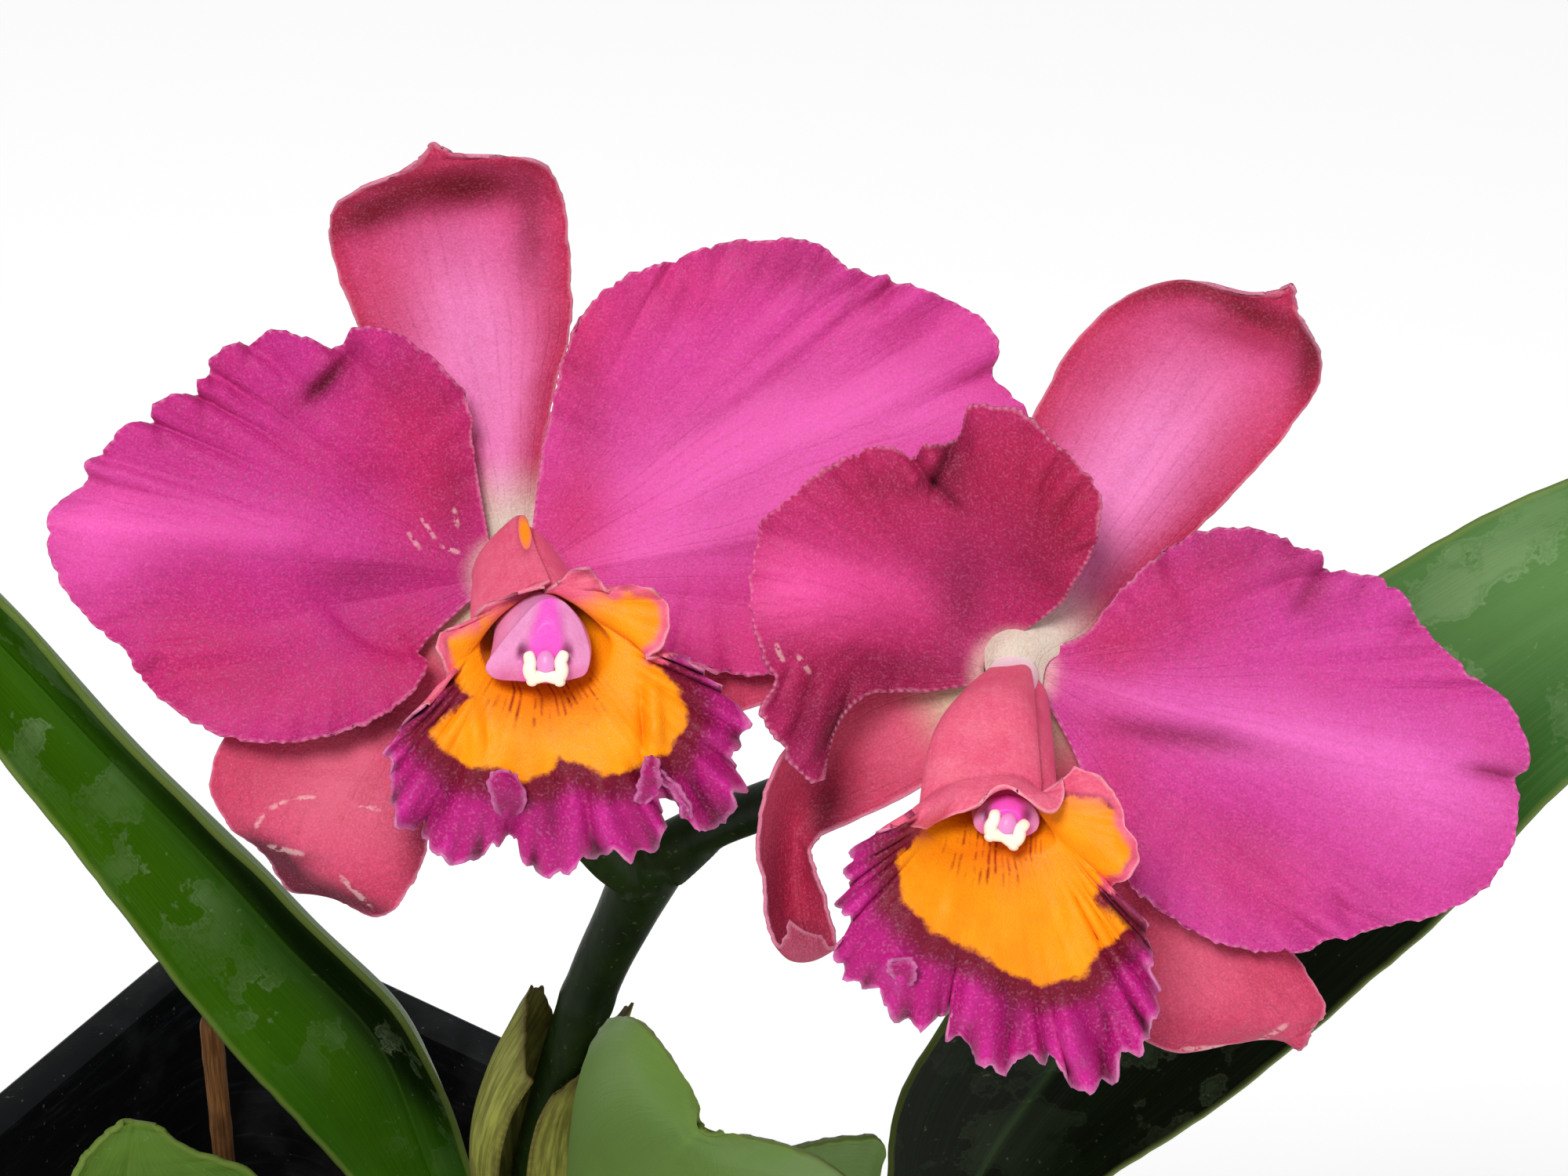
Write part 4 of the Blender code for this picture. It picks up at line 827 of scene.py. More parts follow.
@dataclass(frozen=True)
class VelvetFinish(Finish):
    """Petals and sepals: velvety, veined, with a frosted margin, a pale base, painted highlights, painted
    shade and painted glints.
    """

    ground: str = "C74698"
    # light is the painted highlight colour; dark is the painted shade colour, which the veins use too
    light: str = "E774B4"
    warm: str = "C8325E"
    dark: str = "7E1B3C"
    base: str = "E8C3B6"
    margin: str = "F2A9C4"
    behind: str = "C65C86"
    # Colour of the painted glints
    painted_glint: str = "FBA9DC"
    dry: str = "F6D9D2"
    veins: float = 30.0
    vein_strength: float = 0.1
    margin_warmth: float = 0.0
    margin_reach: float = 3.0

    def draw(self, pen: Pen, shader: bpy.types.Node) -> None:
        """Draw tones with painted highlight and painted shade, blotches, veins, margin, base, grain and
        painted glints.
        """
        across, along, rim = pen.mask("across"), pen.mask("along"), pen.mask("rim")
        blotch = pen.effect("soft_blotches", size=9.0, low=0.35, high=0.68)
        colour = pen.mix(pen.times(blotch, 0.3), self.ground, self.warm)
        # Painted highlight, with some lighter own tone, where the light ovals lie
        colour = pen.mix(pen.mask("light"), colour, self.light)
        band = pen.effect("edge_band", rim=rim, width=self.margin_reach, unevenness=2.4)
        warmth = pen.math("MAXIMUM", pen.mask("warm"), pen.times(band, self.margin_warmth))
        colour = pen.mix(warmth, colour, self.warm)
        # Painted shade from the dark ovals and from the folds that sink
        colour = pen.mix(pen.mask("dark"), colour, self.dark)
        vein = pen.effect("running_veins", across=across, along=along, count=self.veins,
                          wander=0.05, width=0.13)
        branch = pen.effect("running_veins", across=across, along=along, count=self.veins * 2.7,
                            wander=0.03, width=0.2)
        branch = pen.times(branch, pen.fade(along, 0.45, 0.85))
        lines = pen.math("MAXIMUM", vein, pen.times(branch, 0.8))
        colour = pen.mix(pen.times(lines, self.vein_strength), colour, self.dark)
        pale = pen.times(pen.mask("pale"), pen.fade(blotch, 0.0, 1.0, 0.85, 1.0))
        colour = pen.mix(pale, colour, self.base)
        colour = pen.mix(pen.times(pen.mask("back"), 0.55), colour, self.behind)
        frost = pen.effect("edge_band", rim=rim, width=0.34, unevenness=0.8)
        colour = pen.mix(pen.times(frost, 0.42), colour, self.margin)
        grain = pen.effect("fine_grain", size=0.2, contrast=3.0)
        colour = self.speckle(pen, colour, 0.26, grain)
        # Painted glints: tiny bright specks for the velvet's glitter
        painted_glint = pen.fade(pen.noise(5200.0, 0.0), 0.45, 0.85)
        colour = pen.mix(pen.times(painted_glint, 0.09), colour, self.painted_glint)
        broken = pen.fade(pen.noise(1300.0, 3.0), 0.3, 0.5)
        crack = pen.times(pen.mask("scar"), broken)
        colour = pen.mix(pen.fade(crack, 0.5, 0.95, 0.0, 0.36), colour, self.dry)
        self.grain_gloss(pen, shader, grain)
        relief = pen.less(pen.times(grain, 0.5), pen.times(lines, 0.45))
        self.cover(pen, shader, colour, relief, 0.06)


@dataclass(frozen=True)
class LipFinish(Finish):
    """Lip: orange throat, dark red border, magenta frill, salmon outside, with painted shade in the
    ruffles' troughs, painted highlight on their crests and painted glints.
    """

    gold: str = "FF9A02"
    gold_deep: str = "F07A02"
    blood: str = "700820"
    wine: str = "860D48"
    bright: str = "B01272"
    salmon: str = "DF5576"
    salmon_pale: str = "EE8296"
    frill: str = "D987BC"
    # Colours of the painted shade in the ruffles' troughs and the painted highlight on their crests
    painted_trough_shade: str = "5C0628"
    painted_crest_light: str = "CE2492"
    ray: str = "D05A06"
    ray_deep: str = "921E0C"
    salmon_vein: str = "C23A62"
    salmon_rim: str = "F4B6C2"
    # Colour of the painted glints
    painted_glint: str = "F2BCDD"

    def draw(self, pen: Pen, shader: bpy.types.Node) -> None:
        """Draw the inside by its stored depths, the outside, veins, grain, the ruffles' painted shade and
        painted highlight, and painted glints.
        """
        across, along, rim = pen.mask("across"), pen.mask("along"), pen.mask("rim")
        ragged = pen.less(pen.noise(700.0, 4.0, 0.7), 0.5)
        depth = pen.plus(pen.mask("gold"), pen.times(ragged, 1.5))
        vein = pen.effect("running_veins", across=across, along=along, count=52.0, wander=0.05,
                          width=0.36)
        blotch = pen.effect("soft_blotches", size=4.0, low=0.38, high=0.66)
        wine = pen.mix(pen.fade(depth, -3.4, -1.2), self.bright, self.wine)
        wine = pen.mix(pen.times(blotch, 0.45), wine, self.bright)
        wine = pen.mix(pen.times(vein, 0.12), wine, self.blood)
        # Painted shade in the ruffles' troughs and painted highlight on their crests, by the stored relief
        painted_crest_light = pen.mask("painted_crest_light")
        wine = pen.mix(pen.fade(painted_crest_light, 0.5, 0.1, 0.0, 0.75), wine, self.painted_trough_shade)
        wine = pen.mix(pen.fade(painted_crest_light, 0.5, 1.0, 0.0, 0.6), wine, self.painted_crest_light)
        edge = pen.effect("edge_band", rim=rim, width=0.62, unevenness=1.1)
        wine = pen.mix(pen.times(edge, 0.6), wine, self.frill)
        gold = pen.mix(pen.times(blotch, 0.5), self.gold, self.gold_deep)
        gold = pen.mix(pen.times(pen.mask("streak"), 0.5), gold, self.ray)
        broken = pen.fade(pen.noise(900.0, 2.0), 0.38, 0.56)
        streak = pen.times(pen.fade(pen.mask("streak"), 0.15, 0.6), vein)
        gold = pen.mix(pen.times(streak, broken), gold, self.ray_deep)
        inner = pen.mix(pen.fade(depth, -3.2, -0.8, 0.0, 0.92), wine, self.blood)
        inner = pen.mix(pen.fade(depth, -0.35, 0.25), inner, gold)
        rosy = pen.mix(pen.times(blotch, 0.4), self.salmon, self.salmon_pale)
        rosy = pen.mix(pen.times(vein, 0.16), rosy, self.salmon_vein)
        pale_rim = pen.effect("edge_band", rim=rim, width=0.3, unevenness=0.5)
        rosy = pen.mix(pen.times(pale_rim, 0.5), rosy, self.salmon_rim)
        inner = pen.mix(pen.mask("rosy"), inner, rosy)
        outer = pen.mix(pen.mask("wine_outside"), rosy, wine)
        colour = pen.mix(pen.mask("outside"), inner, outer)
        grain = pen.effect("fine_grain", size=0.2, contrast=2.6)
        colour = self.speckle(pen, colour, pen.fade(depth, 0.4, -0.8, 0.06, 0.3), grain)
        # Painted glints on the dark red and magenta parts, none on the orange
        painted_glint = pen.fade(pen.noise(4200.0, 0.0), 0.5, 0.86)
        painted_glint = pen.times(painted_glint, pen.fade(depth, 0.0, -1.5, 0.0, 0.1))
        colour = pen.mix(painted_glint, colour, self.painted_glint)
        self.grain_gloss(pen, shader, grain)
        relief = pen.less(pen.times(grain, 0.5), pen.times(vein, 0.12))
        self.cover(pen, shader, colour, relief, 0.07)


@dataclass(frozen=True)
class ColumnFinish(Finish):
    """Column: bright orchid band down its middle, paler wings and foot, and painted shade in the two dents
    beside the cap.
    """

    wing: str = "DF86B8"
    wing_low: str = "CE4F7E"
    wing_pale: str = "EDA6CC"
    band: str = "E94DBE"
    band_pale: str = "F27FD0"
    foot: str = "EFD9DC"
    painted_dent_shade: str = "6E1B45"

    def draw(self, pen: Pen, shader: bpy.types.Node) -> None:
        """Draw the band, the wings, painted shade in the dents and a faint mottling."""
        blotch = pen.effect("soft_blotches", size=2.0, low=0.35, high=0.7)
        wing = pen.mix(pen.times(pen.mask("low"), 0.75), self.wing, self.wing_low)
        wing = pen.mix(pen.times(blotch, 0.3), wing, self.wing_pale)
        band = pen.mix(pen.times(blotch, 0.3), self.band, self.band_pale)
        colour = pen.mix(pen.mask("band"), wing, band)
        colour = pen.mix(pen.mask("pale"), colour, self.foot)
        # Painted shade in the two dents beside the cap
        colour = pen.mix(pen.times(pen.mask("dark"), 0.85), colour, self.painted_dent_shade)
        grain = pen.effect("fine_grain", size=0.2, contrast=2.0)
        colour = self.speckle(pen, colour, 0.16, grain, ("5A5A5A", "FFFFFF"))
        self.cover(pen, shader, colour, grain, 0.02)


@dataclass(frozen=True)
class CapFinish(Finish):
    """Anther cap: waxy cream with faint stains and a pinkish middle."""

    wax: str = "F6EFDC"
    stain: str = "E9DDB4"
    middle: str = "E58CC8"

    def draw(self, pen: Pen, shader: bpy.types.Node) -> None:
        """Draw wax with faint stains."""
        blotch = pen.effect("soft_blotches", size=0.9, low=0.35, high=0.7)
        colour = pen.mix(pen.times(blotch, 0.35), self.wax, self.stain)
        colour = pen.mix(pen.mask("pink"), colour, self.middle)
        grain = pen.effect("fine_grain", size=0.3, contrast=1.4)
        self.cover(pen, shader, colour, grain, 0.015)


@dataclass(frozen=True)
class LeafFinish(Finish):
    """Leathery leaf: fibres, a paler midrib, water spots, a thin dry margin, painted highlight and painted
    shade.
    """

    ground: str = "3F6A10"
    # light is a lighter own green and also the painted highlight colour; dark is the painted shade colour
    light: str = "7A9A3C"
    dark: str = "16260A"
    behind: str = "6B8A45"
    water: str = "A3B98C"
    speck: str = "C9D3B4"
    margin: str = "6E7A34"
    spots: float = 0.5

    def draw(self, pen: Pen, shader: bpy.types.Node) -> None:
        """Draw tones with painted highlight and painted shade, fibres, midrib, spots, margin and relief."""
        across, along, rim = pen.mask("across"), pen.mask("along"), pen.mask("rim")
        fibre = pen.effect("long_fibres", across=across, along=along, count=90.0, stretch=7.0)
        blotch = pen.effect("soft_blotches", size=22.0, low=0.36, high=0.68)
        colour = pen.mix(pen.times(blotch, 0.35), self.ground, self.light)
        # Painted highlight and painted shade from the leaf's shine and shade ovals
        colour = pen.mix(pen.mask("light"), colour, self.light)
        colour = pen.mix(pen.mask("dark"), colour, self.dark)
        streak = pen.times(pen.fade(fibre, 0.42, 0.7, 0.0, 0.12),
                          pen.fade(pen.mask("dark"), 0.2, 0.8, 1.0, 0.2))
        colour = pen.mix(streak, colour, self.light)
        groove = pen.within(pen.math("ABSOLUTE", pen.less(across, 0.5)), 0.035)
        colour = pen.mix(pen.times(groove, 0.14), colour, self.light)
        stain = pen.noise(110.0, 5.0, 0.6)
        ring = pen.within(pen.math("ABSOLUTE", pen.less(stain, 0.53)), 0.02)
        film = pen.math("MAXIMUM", pen.times(ring, 0.55), pen.fade(stain, 0.5, 0.6, 0.0, 0.5))
        film = pen.times(film, pen.mask("film"))
        colour = pen.mix(pen.times(film, self.spots), colour, self.water)
        speck = pen.fade(pen.noise(1500.0, 1.0), 0.72, 0.8)
        colour = pen.mix(pen.times(speck, 0.08), colour, self.speck)
        colour = pen.mix(pen.times(pen.mask("back"), 0.6), colour, self.behind)
        edge = pen.effect("edge_band", rim=rim, width=0.5, unevenness=0.6)
        colour = pen.mix(pen.times(edge, 0.4), colour, self.margin)
        gloss = pen.math("ADD", pen.times(film, 0.25), self.roughness, clamp=True)
        pen.put(shader.inputs["Roughness"], gloss)
        pebble = pen.noise(900.0, 3.0, 0.6)
        relief = pen.plus(pen.times(fibre, 0.7), pen.times(pebble, 0.5))
        self.cover(pen, shader, colour, relief, 0.09)


@dataclass(frozen=True)
class FibreFinish(Finish):
    """Papery or woody skin with long fibres between two colours, and darker stains."""

    ground: str = "8A8A3A"
    light: str = "B9B060"
    stain: str = "5A4A20"
    count: float = 60.0
    stretch: float = 5.0
    stain_size: float = 9.0
    depth: float = 0.12

    def draw(self, pen: Pen, shader: bpy.types.Node) -> None:
        """Draw fibres, stains and a dry rim."""
        across, along = pen.mask("across"), pen.mask("along")
        fibre = pen.effect("long_fibres", across=across, along=along, count=self.count,
                           stretch=self.stretch)
        colour = pen.mix(pen.fade(fibre, 0.34, 0.68), self.ground, self.light)
        stain = pen.effect("soft_blotches", size=self.stain_size, low=0.48, high=0.72)
        colour = pen.mix(pen.times(stain, 0.7), colour, self.stain)
        dry = pen.effect("edge_band", rim=pen.mask("rim"), width=1.4, unevenness=2.2)
        colour = pen.mix(pen.times(dry, 0.75), colour, self.stain)
        pen.put(shader.inputs["Roughness"], pen.fade(fibre, 0.3, 0.7, self.roughness + 0.1,
                                                     self.roughness - 0.05))
        self.cover(pen, shader, colour, fibre, self.depth)


@dataclass(frozen=True)
class StemFinish(Finish):
    """Green stem: fine fibres, small pale pores and darker stretches."""

    # The usual colours, near-black greens, are painted shade: the flower stem lies in the blooms' shade.
    # The bulbs give their own.
    ground: str = "14220A"
    light: str = "2C4114"
    dark: str = "080E04"
    pore: str = "7E8A58"

    def draw(self, pen: Pen, shader: bpy.types.Node) -> None:
        """Draw mottled green with pores."""
        fibre = pen.noise(900.0, 3.0, 0.6, pen.place((1.0, 1.0, 0.25)))
        blotch = pen.effect("soft_blotches", size=12.0, low=0.35, high=0.7)
        colour = pen.mix(pen.times(blotch, 0.6), self.ground, self.light)
        colour = pen.mix(pen.fade(fibre, 0.45, 0.75, 0.0, 0.5), colour, self.dark)
        pore = pen.fade(pen.noise(1700.0, 1.0), 0.68, 0.76)
        colour = pen.mix(pen.times(pore, 0.2), colour, self.pore)
        relief = pen.less(fibre, pen.times(pore, 0.5))
        self.cover(pen, shader, colour, relief, 0.06)


@dataclass(frozen=True)
class RootFinish(Finish):
    """Creeping stem and roots: grey-white spongy skin with olive patches and fine cracks."""

    skin: str = "C9C5B1"
    olive: str = "8F8A62"
    seam: str = "6E6648"
    chalk: str = "E5E2D2"

    def draw(self, pen: Pen, shader: bpy.types.Node) -> None:
        """Draw cracked pale skin."""
        crack = pen.cells(pen.place((1.0, 1.0, 2.0)), 420.0)
        blotch = pen.effect("soft_blotches", size=7.0, low=0.4, high=0.66)
        colour = pen.mix(blotch, self.skin, self.olive)
        colour = pen.mix(pen.fade(crack, 0.1, 0.0, 0.0, 0.55), colour, self.seam)
        rough = pen.noise(1500.0, 3.0, 0.7)
        colour = pen.mix(pen.fade(rough, 0.5, 0.8, 0.0, 0.4), colour, self.chalk)
        relief = pen.plus(pen.times(rough, 0.6), pen.fade(crack, 0.0, 0.12))
        self.cover(pen, shader, colour, relief, 0.18)


@dataclass(frozen=True)
class BarkFinish(Finish):
    """Planting mix of bark chips: layered browns with dusty faces."""

    ground: str = "4A2A17"
    light: str = "8A5A38"
    dark: str = "1D0F08"
    dust: str = "B79C7C"

    def draw(self, pen: Pen, shader: bpy.types.Node) -> None:
        """Draw layers, dust and pits."""
        layer = pen.noise(260.0, 4.0, 0.65, pen.place((1.0, 1.0, 5.0)))
        each = pen.noise(55.0, 1.0)
        colour = pen.mix(pen.fade(each, 0.35, 0.65), self.ground, self.light)
        colour = pen.mix(pen.fade(layer, 0.4, 0.66, 0.0, 0.8), colour, self.dark)
        dust = pen.effect("soft_blotches", size=5.0, low=0.5, high=0.75)
        colour = pen.mix(pen.times(dust, 0.35), colour, self.dust)
        pit = pen.noise(1100.0, 4.0, 0.7)
        relief = pen.plus(layer, pen.times(pit, 0.5))
        self.cover(pen, shader, colour, relief, 0.5)


@dataclass(frozen=True)
class PotFinish(Finish):
    """Black nursery plastic: fine pebbled skin, faint scuffs, lime marks and dust."""

    ground: str = "07090B"
    worn: str = "1F252B"
    lime: str = "8C8F90"
    speck: str = "9C9A94"

    def draw(self, pen: Pen, shader: bpy.types.Node) -> None:
        """Draw pebbling, scuffs and dust."""
        pebble = pen.noise(2200.0, 2.0, 0.6)
        scuff = pen.noise(120.0, 4.0, 0.7, pen.place((1.0, 1.0, 9.0)))
        colour = pen.mix(pen.fade(scuff, 0.55, 0.75, 0.0, 0.6), self.ground, self.worn)
        lime = pen.effect("soft_blotches", size=16.0, low=0.52, high=0.78)
        colour = pen.mix(pen.times(lime, 0.08), colour, self.lime)
        speck = pen.fade(pen.noise(1300.0, 1.0), 0.72, 0.8)
        colour = pen.mix(pen.times(speck, 0.2), colour, self.speck)
        pen.put(shader.inputs["Roughness"], pen.fade(scuff, 0.35, 0.75, self.roughness,
                                                     self.roughness + 0.22))
        self.cover(pen, shader, colour, pebble, 0.05)


@dataclass(frozen=True)
class FloorFinish(Finish):
    """Plain pale studio floor."""

    ground: str = "F6F7F6"
    light: str = "FAFAFA"
    glow: str = "FFFFFF"
    glow_strength: float = 0.3

    def draw(self, pen: Pen, shader: bpy.types.Node) -> None:
        """Draw an almost even pale grey."""
        cloud = pen.noise(4.0, 2.0)
        pen.fill(shader, {"Base Color": pen.mix(cloud, self.ground, self.light),
                          "Emission Color": self.glow, "Emission Strength": self.glow_strength})


# Middle of each bloom in the sight frame, and where its parts grow from
BLOOM_MIDDLE = {"bloom_1": (-23.67, -1.0, 0.0), "bloom_2": (18.67, -9.0, 8.0)}
HUB = {"bloom_1": (0.4, 2.0), "bloom_2": (0.8, 1.8)}

# Outline of each petal, from its upper claw round to its lower claw; the first and last
# points of it, as many as "sides" says, run along the sides that lead away from the claw
PETALS = {
    "bloom_1.petal_left": {
        "claw": (130, 205),
        "sides": (3, 6),
        "edge": [
            (-2.7, 12.5, 1.6), (-2.9, 15.5, 2.2), (-3.6, 17.8, 2.6), (-5.2, 19.6, 3.0),
            (-7.0, 21.2, 3.2), (-9.2, 22.6, 3.4), (-11.2, 23.2, 3.6), (-13.0, 23.1, 3.4),
            (-14.0, 21.6, 1.6), (-15.5, 21.5, 2.4), (-17.2, 22.4, 3.4), (-20.0, 22.9, 3.0),
            (-21.8, 21.7, 1.6), (-23.5, 21.7, 3.0), (-25.1, 20.5, 2.4), (-25.1, 19.3, 1.0),
            (-26.3, 18.5, 2.6), (-26.2, 17.3, 0.9), (-28.3, 17.5, 2.8), (-30.2, 16.2, 2.2),
            (-30.0, 15.0, 0.8), (-32.0, 15.0, 2.6), (-33.9, 13.2, 1.6), (-34.8, 12.1, 1.0),
            (-35.9, 11.6, 2.4), (-35.4, 10.4, 1.0), (-36.6, 9.2, 1.4), (-38.8, 7.4, 2.2),
            (-38.9, 5.0, 1.6), (-38.4, 2.6, 1.0), (-36.6, -0.4, 0.8), (-34.4, -2.7, 1.0),
            (-32.2, -4.5, 1.8), (-31.1, -6.6, 0.8), (-29.2, -8.5, 2.4), (-26.8, -10.3, 2.8),
            (-24.0, -11.6, 3.2), (-20.8, -12.1, 3.6), (-17.5, -12.0, 3.8), (-14.0, -11.3, 3.8),
            (-11.2, -10.2, 3.6), (-8.6, -8.5, 3.4), (-6.9, -6.4, 3.2), (-6.7, -5.2, 2.6),
            (-7.2, -4.0, 1.4),
        ],
        "bends": [(0, 0), (0.12, -0.6), (0.34, -1.0), (0.6, 2.4), (0.74, -1.0), (0.88, -0.6), (1, 0)],
    },
    "bloom_1.petal_right": {
        "claw": (50, -25),
        "sides": (4, 5),
        "edge": [
            (3.0, 12.0, 1.4), (3.7, 15.2, 1.8), (4.6, 19.5, 2.4), (5.7, 22.8, 2.8),
            (7.3, 25.3, 3.0), (10.0, 27.4, 3.4), (13.2, 28.6, 3.0), (14.2, 28.7, 2.2),
            (16.5, 29.8, 3.2), (19.5, 30.5, 2.4), (22.5, 30.6, 3.2), (25.5, 30.6, 2.4),
            (27.3, 29.8, 1.6), (28.7, 28.6, 2.6), (30.9, 27.6, 1.6), (32.4, 27.7, 2.8),
            (33.1, 26.9, 1.6), (35.2, 26.6, 2.6), (37.8, 25.4, 1.8), (39.8, 24.4, 1.2),
            (41.3, 23.2, 2.0), (41.9, 21.2, 2.4), (41.4, 19.3, 0.8), (42.9, 17.5, 1.2),
            (44.5, 15.7, 1.6), (44.3, 13.0, 1.2), (43.2, 10.0, 1.0), (41.2, 6.6, 0.8),
            (38.4, 3.0, 0.8), (35.0, -0.4, 0.8), (31.0, -3.4, 0.9), (27.0, -5.4, 1.2),
            (23.5, -6.3, 1.4), (20.5, -6.4, 1.6), (17.5, -6.0, 1.8), (14.5, -5.0, 1.6),
            (11.5, -3.6, 1.4), (8.5, -2.0, 1.2), (6.0, -0.6, 0.9),
        ],
        "bends": [(0, 0), (0.2, -0.6), (0.46, -0.6), (0.66, 2.2), (0.8, -0.6), (1, 0)],
    },
    "bloom_2.petal_left": {
        "claw": (110, 200),
        "sides": (5, 7),
        "edge": [
            (4.6, 7.4, 3.0), (5.9, 9.3, 5.4), (7.4, 11.8, 7.4), (8.2, 14.4, 8.6),
            (8.3, 17.0, 9.2), (7.0, 18.8, 9.4), (5.6, 20.3, 9.8), (3.6, 22.0, 9.6),
            (2.0, 23.8, 9.4), (-0.4, 24.4, 9.0), (-3.0, 24.4, 8.0), (-3.6, 22.2, 5.8),
            (-5.2, 21.1, 5.6), (-6.4, 21.3, 7.0), (-7.8, 20.1, 4.6), (-10.0, 21.1, 5.8),
            (-12.8, 20.3, 5.2), (-16.0, 18.7, 4.2), (-18.4, 16.4, 3.2), (-20.4, 14.9, 2.6),
            (-21.1, 12.2, 2.4), (-21.6, 9.3, 2.8), (-21.4, 6.6, 3.8), (-20.8, 4.2, 5.2),
            (-20.0, 2.4, 6.6), (-19.4, 0.8, 6.4), (-20.7, -1.2, 7.6), (-20.0, -2.9, 8.6),
            (-18.8, -4.4, 8.4), (-18.0, -6.0, 9.2), (-16.6, -7.3, 8.8), (-15.3, -7.4, 8.2),
            (-14.9, -5.6, 7.2), (-14.3, -3.2, 5.8), (-13.1, -1.2, 4.4), (-11.2, 0.0, 3.0),
            (-8.6, 0.2, 1.8), (-6.2, 0.2, 1.0),
        ],
        "bends": [(0, 0), (0.22, -1.0), (0.5, -1.0), (0.66, 0.8), (0.84, -1.2), (1, 0)],
    },
    "bloom_2.petal_right": {
        "claw": (40, -30),
        "sides": (4, 5),
        "edge": [
            (6.8, 5.0, 0.6), (8.6, 7.2, 0.9), (11.0, 9.9, 1.4), (13.6, 12.1, 2.0),
            (16.4, 13.7, 2.6), (19.5, 14.1, 3.0), (22.4, 13.8, 3.0), (24.8, 12.6, 2.4),
            (27.0, 12.0, 3.2), (27.4, 10.5, 1.2), (29.6, 10.3, 2.4), (32.0, 9.8, 2.8),
            (34.2, 8.2, 2.2), (35.4, 6.1, 1.0), (36.6, 4.7, 2.2), (38.4, 3.0, 1.2),
            (39.6, 1.6, 2.0), (41.6, 0.5, 1.2), (43.5, -1.6, 1.8), (44.6, -4.4, 2.2),
            (44.8, -6.0, 2.8), (43.5, -7.3, 0.8), (43.9, -9.6, 1.8), (43.4, -12.4, 2.0),
            (42.2, -15.0, 1.4), (40.2, -17.1, 2.0), (37.4, -18.6, 1.4), (34.4, -19.4, 2.2),
            (32.0, -19.8, 1.2), (29.6, -20.7, 2.4), (27.6, -20.9, 1.4), (25.6, -21.9, 2.8),
            (22.5, -21.9, 2.6), (19.0, -21.4, 3.0), (16.0, -20.1, 2.8), (13.2, -18.3, 2.8),
            (11.0, -16.4, 2.6), (9.2, -13.2, 2.0), (7.4, -8.8, 1.4), (5.8, -4.6, 0.9),
        ],
        "bends": [(0, 0), (0.2, -0.8), (0.4, -0.6), (0.54, 2.4), (0.7, -0.6), (0.86, -0.8), (1, 0)],
    },
}

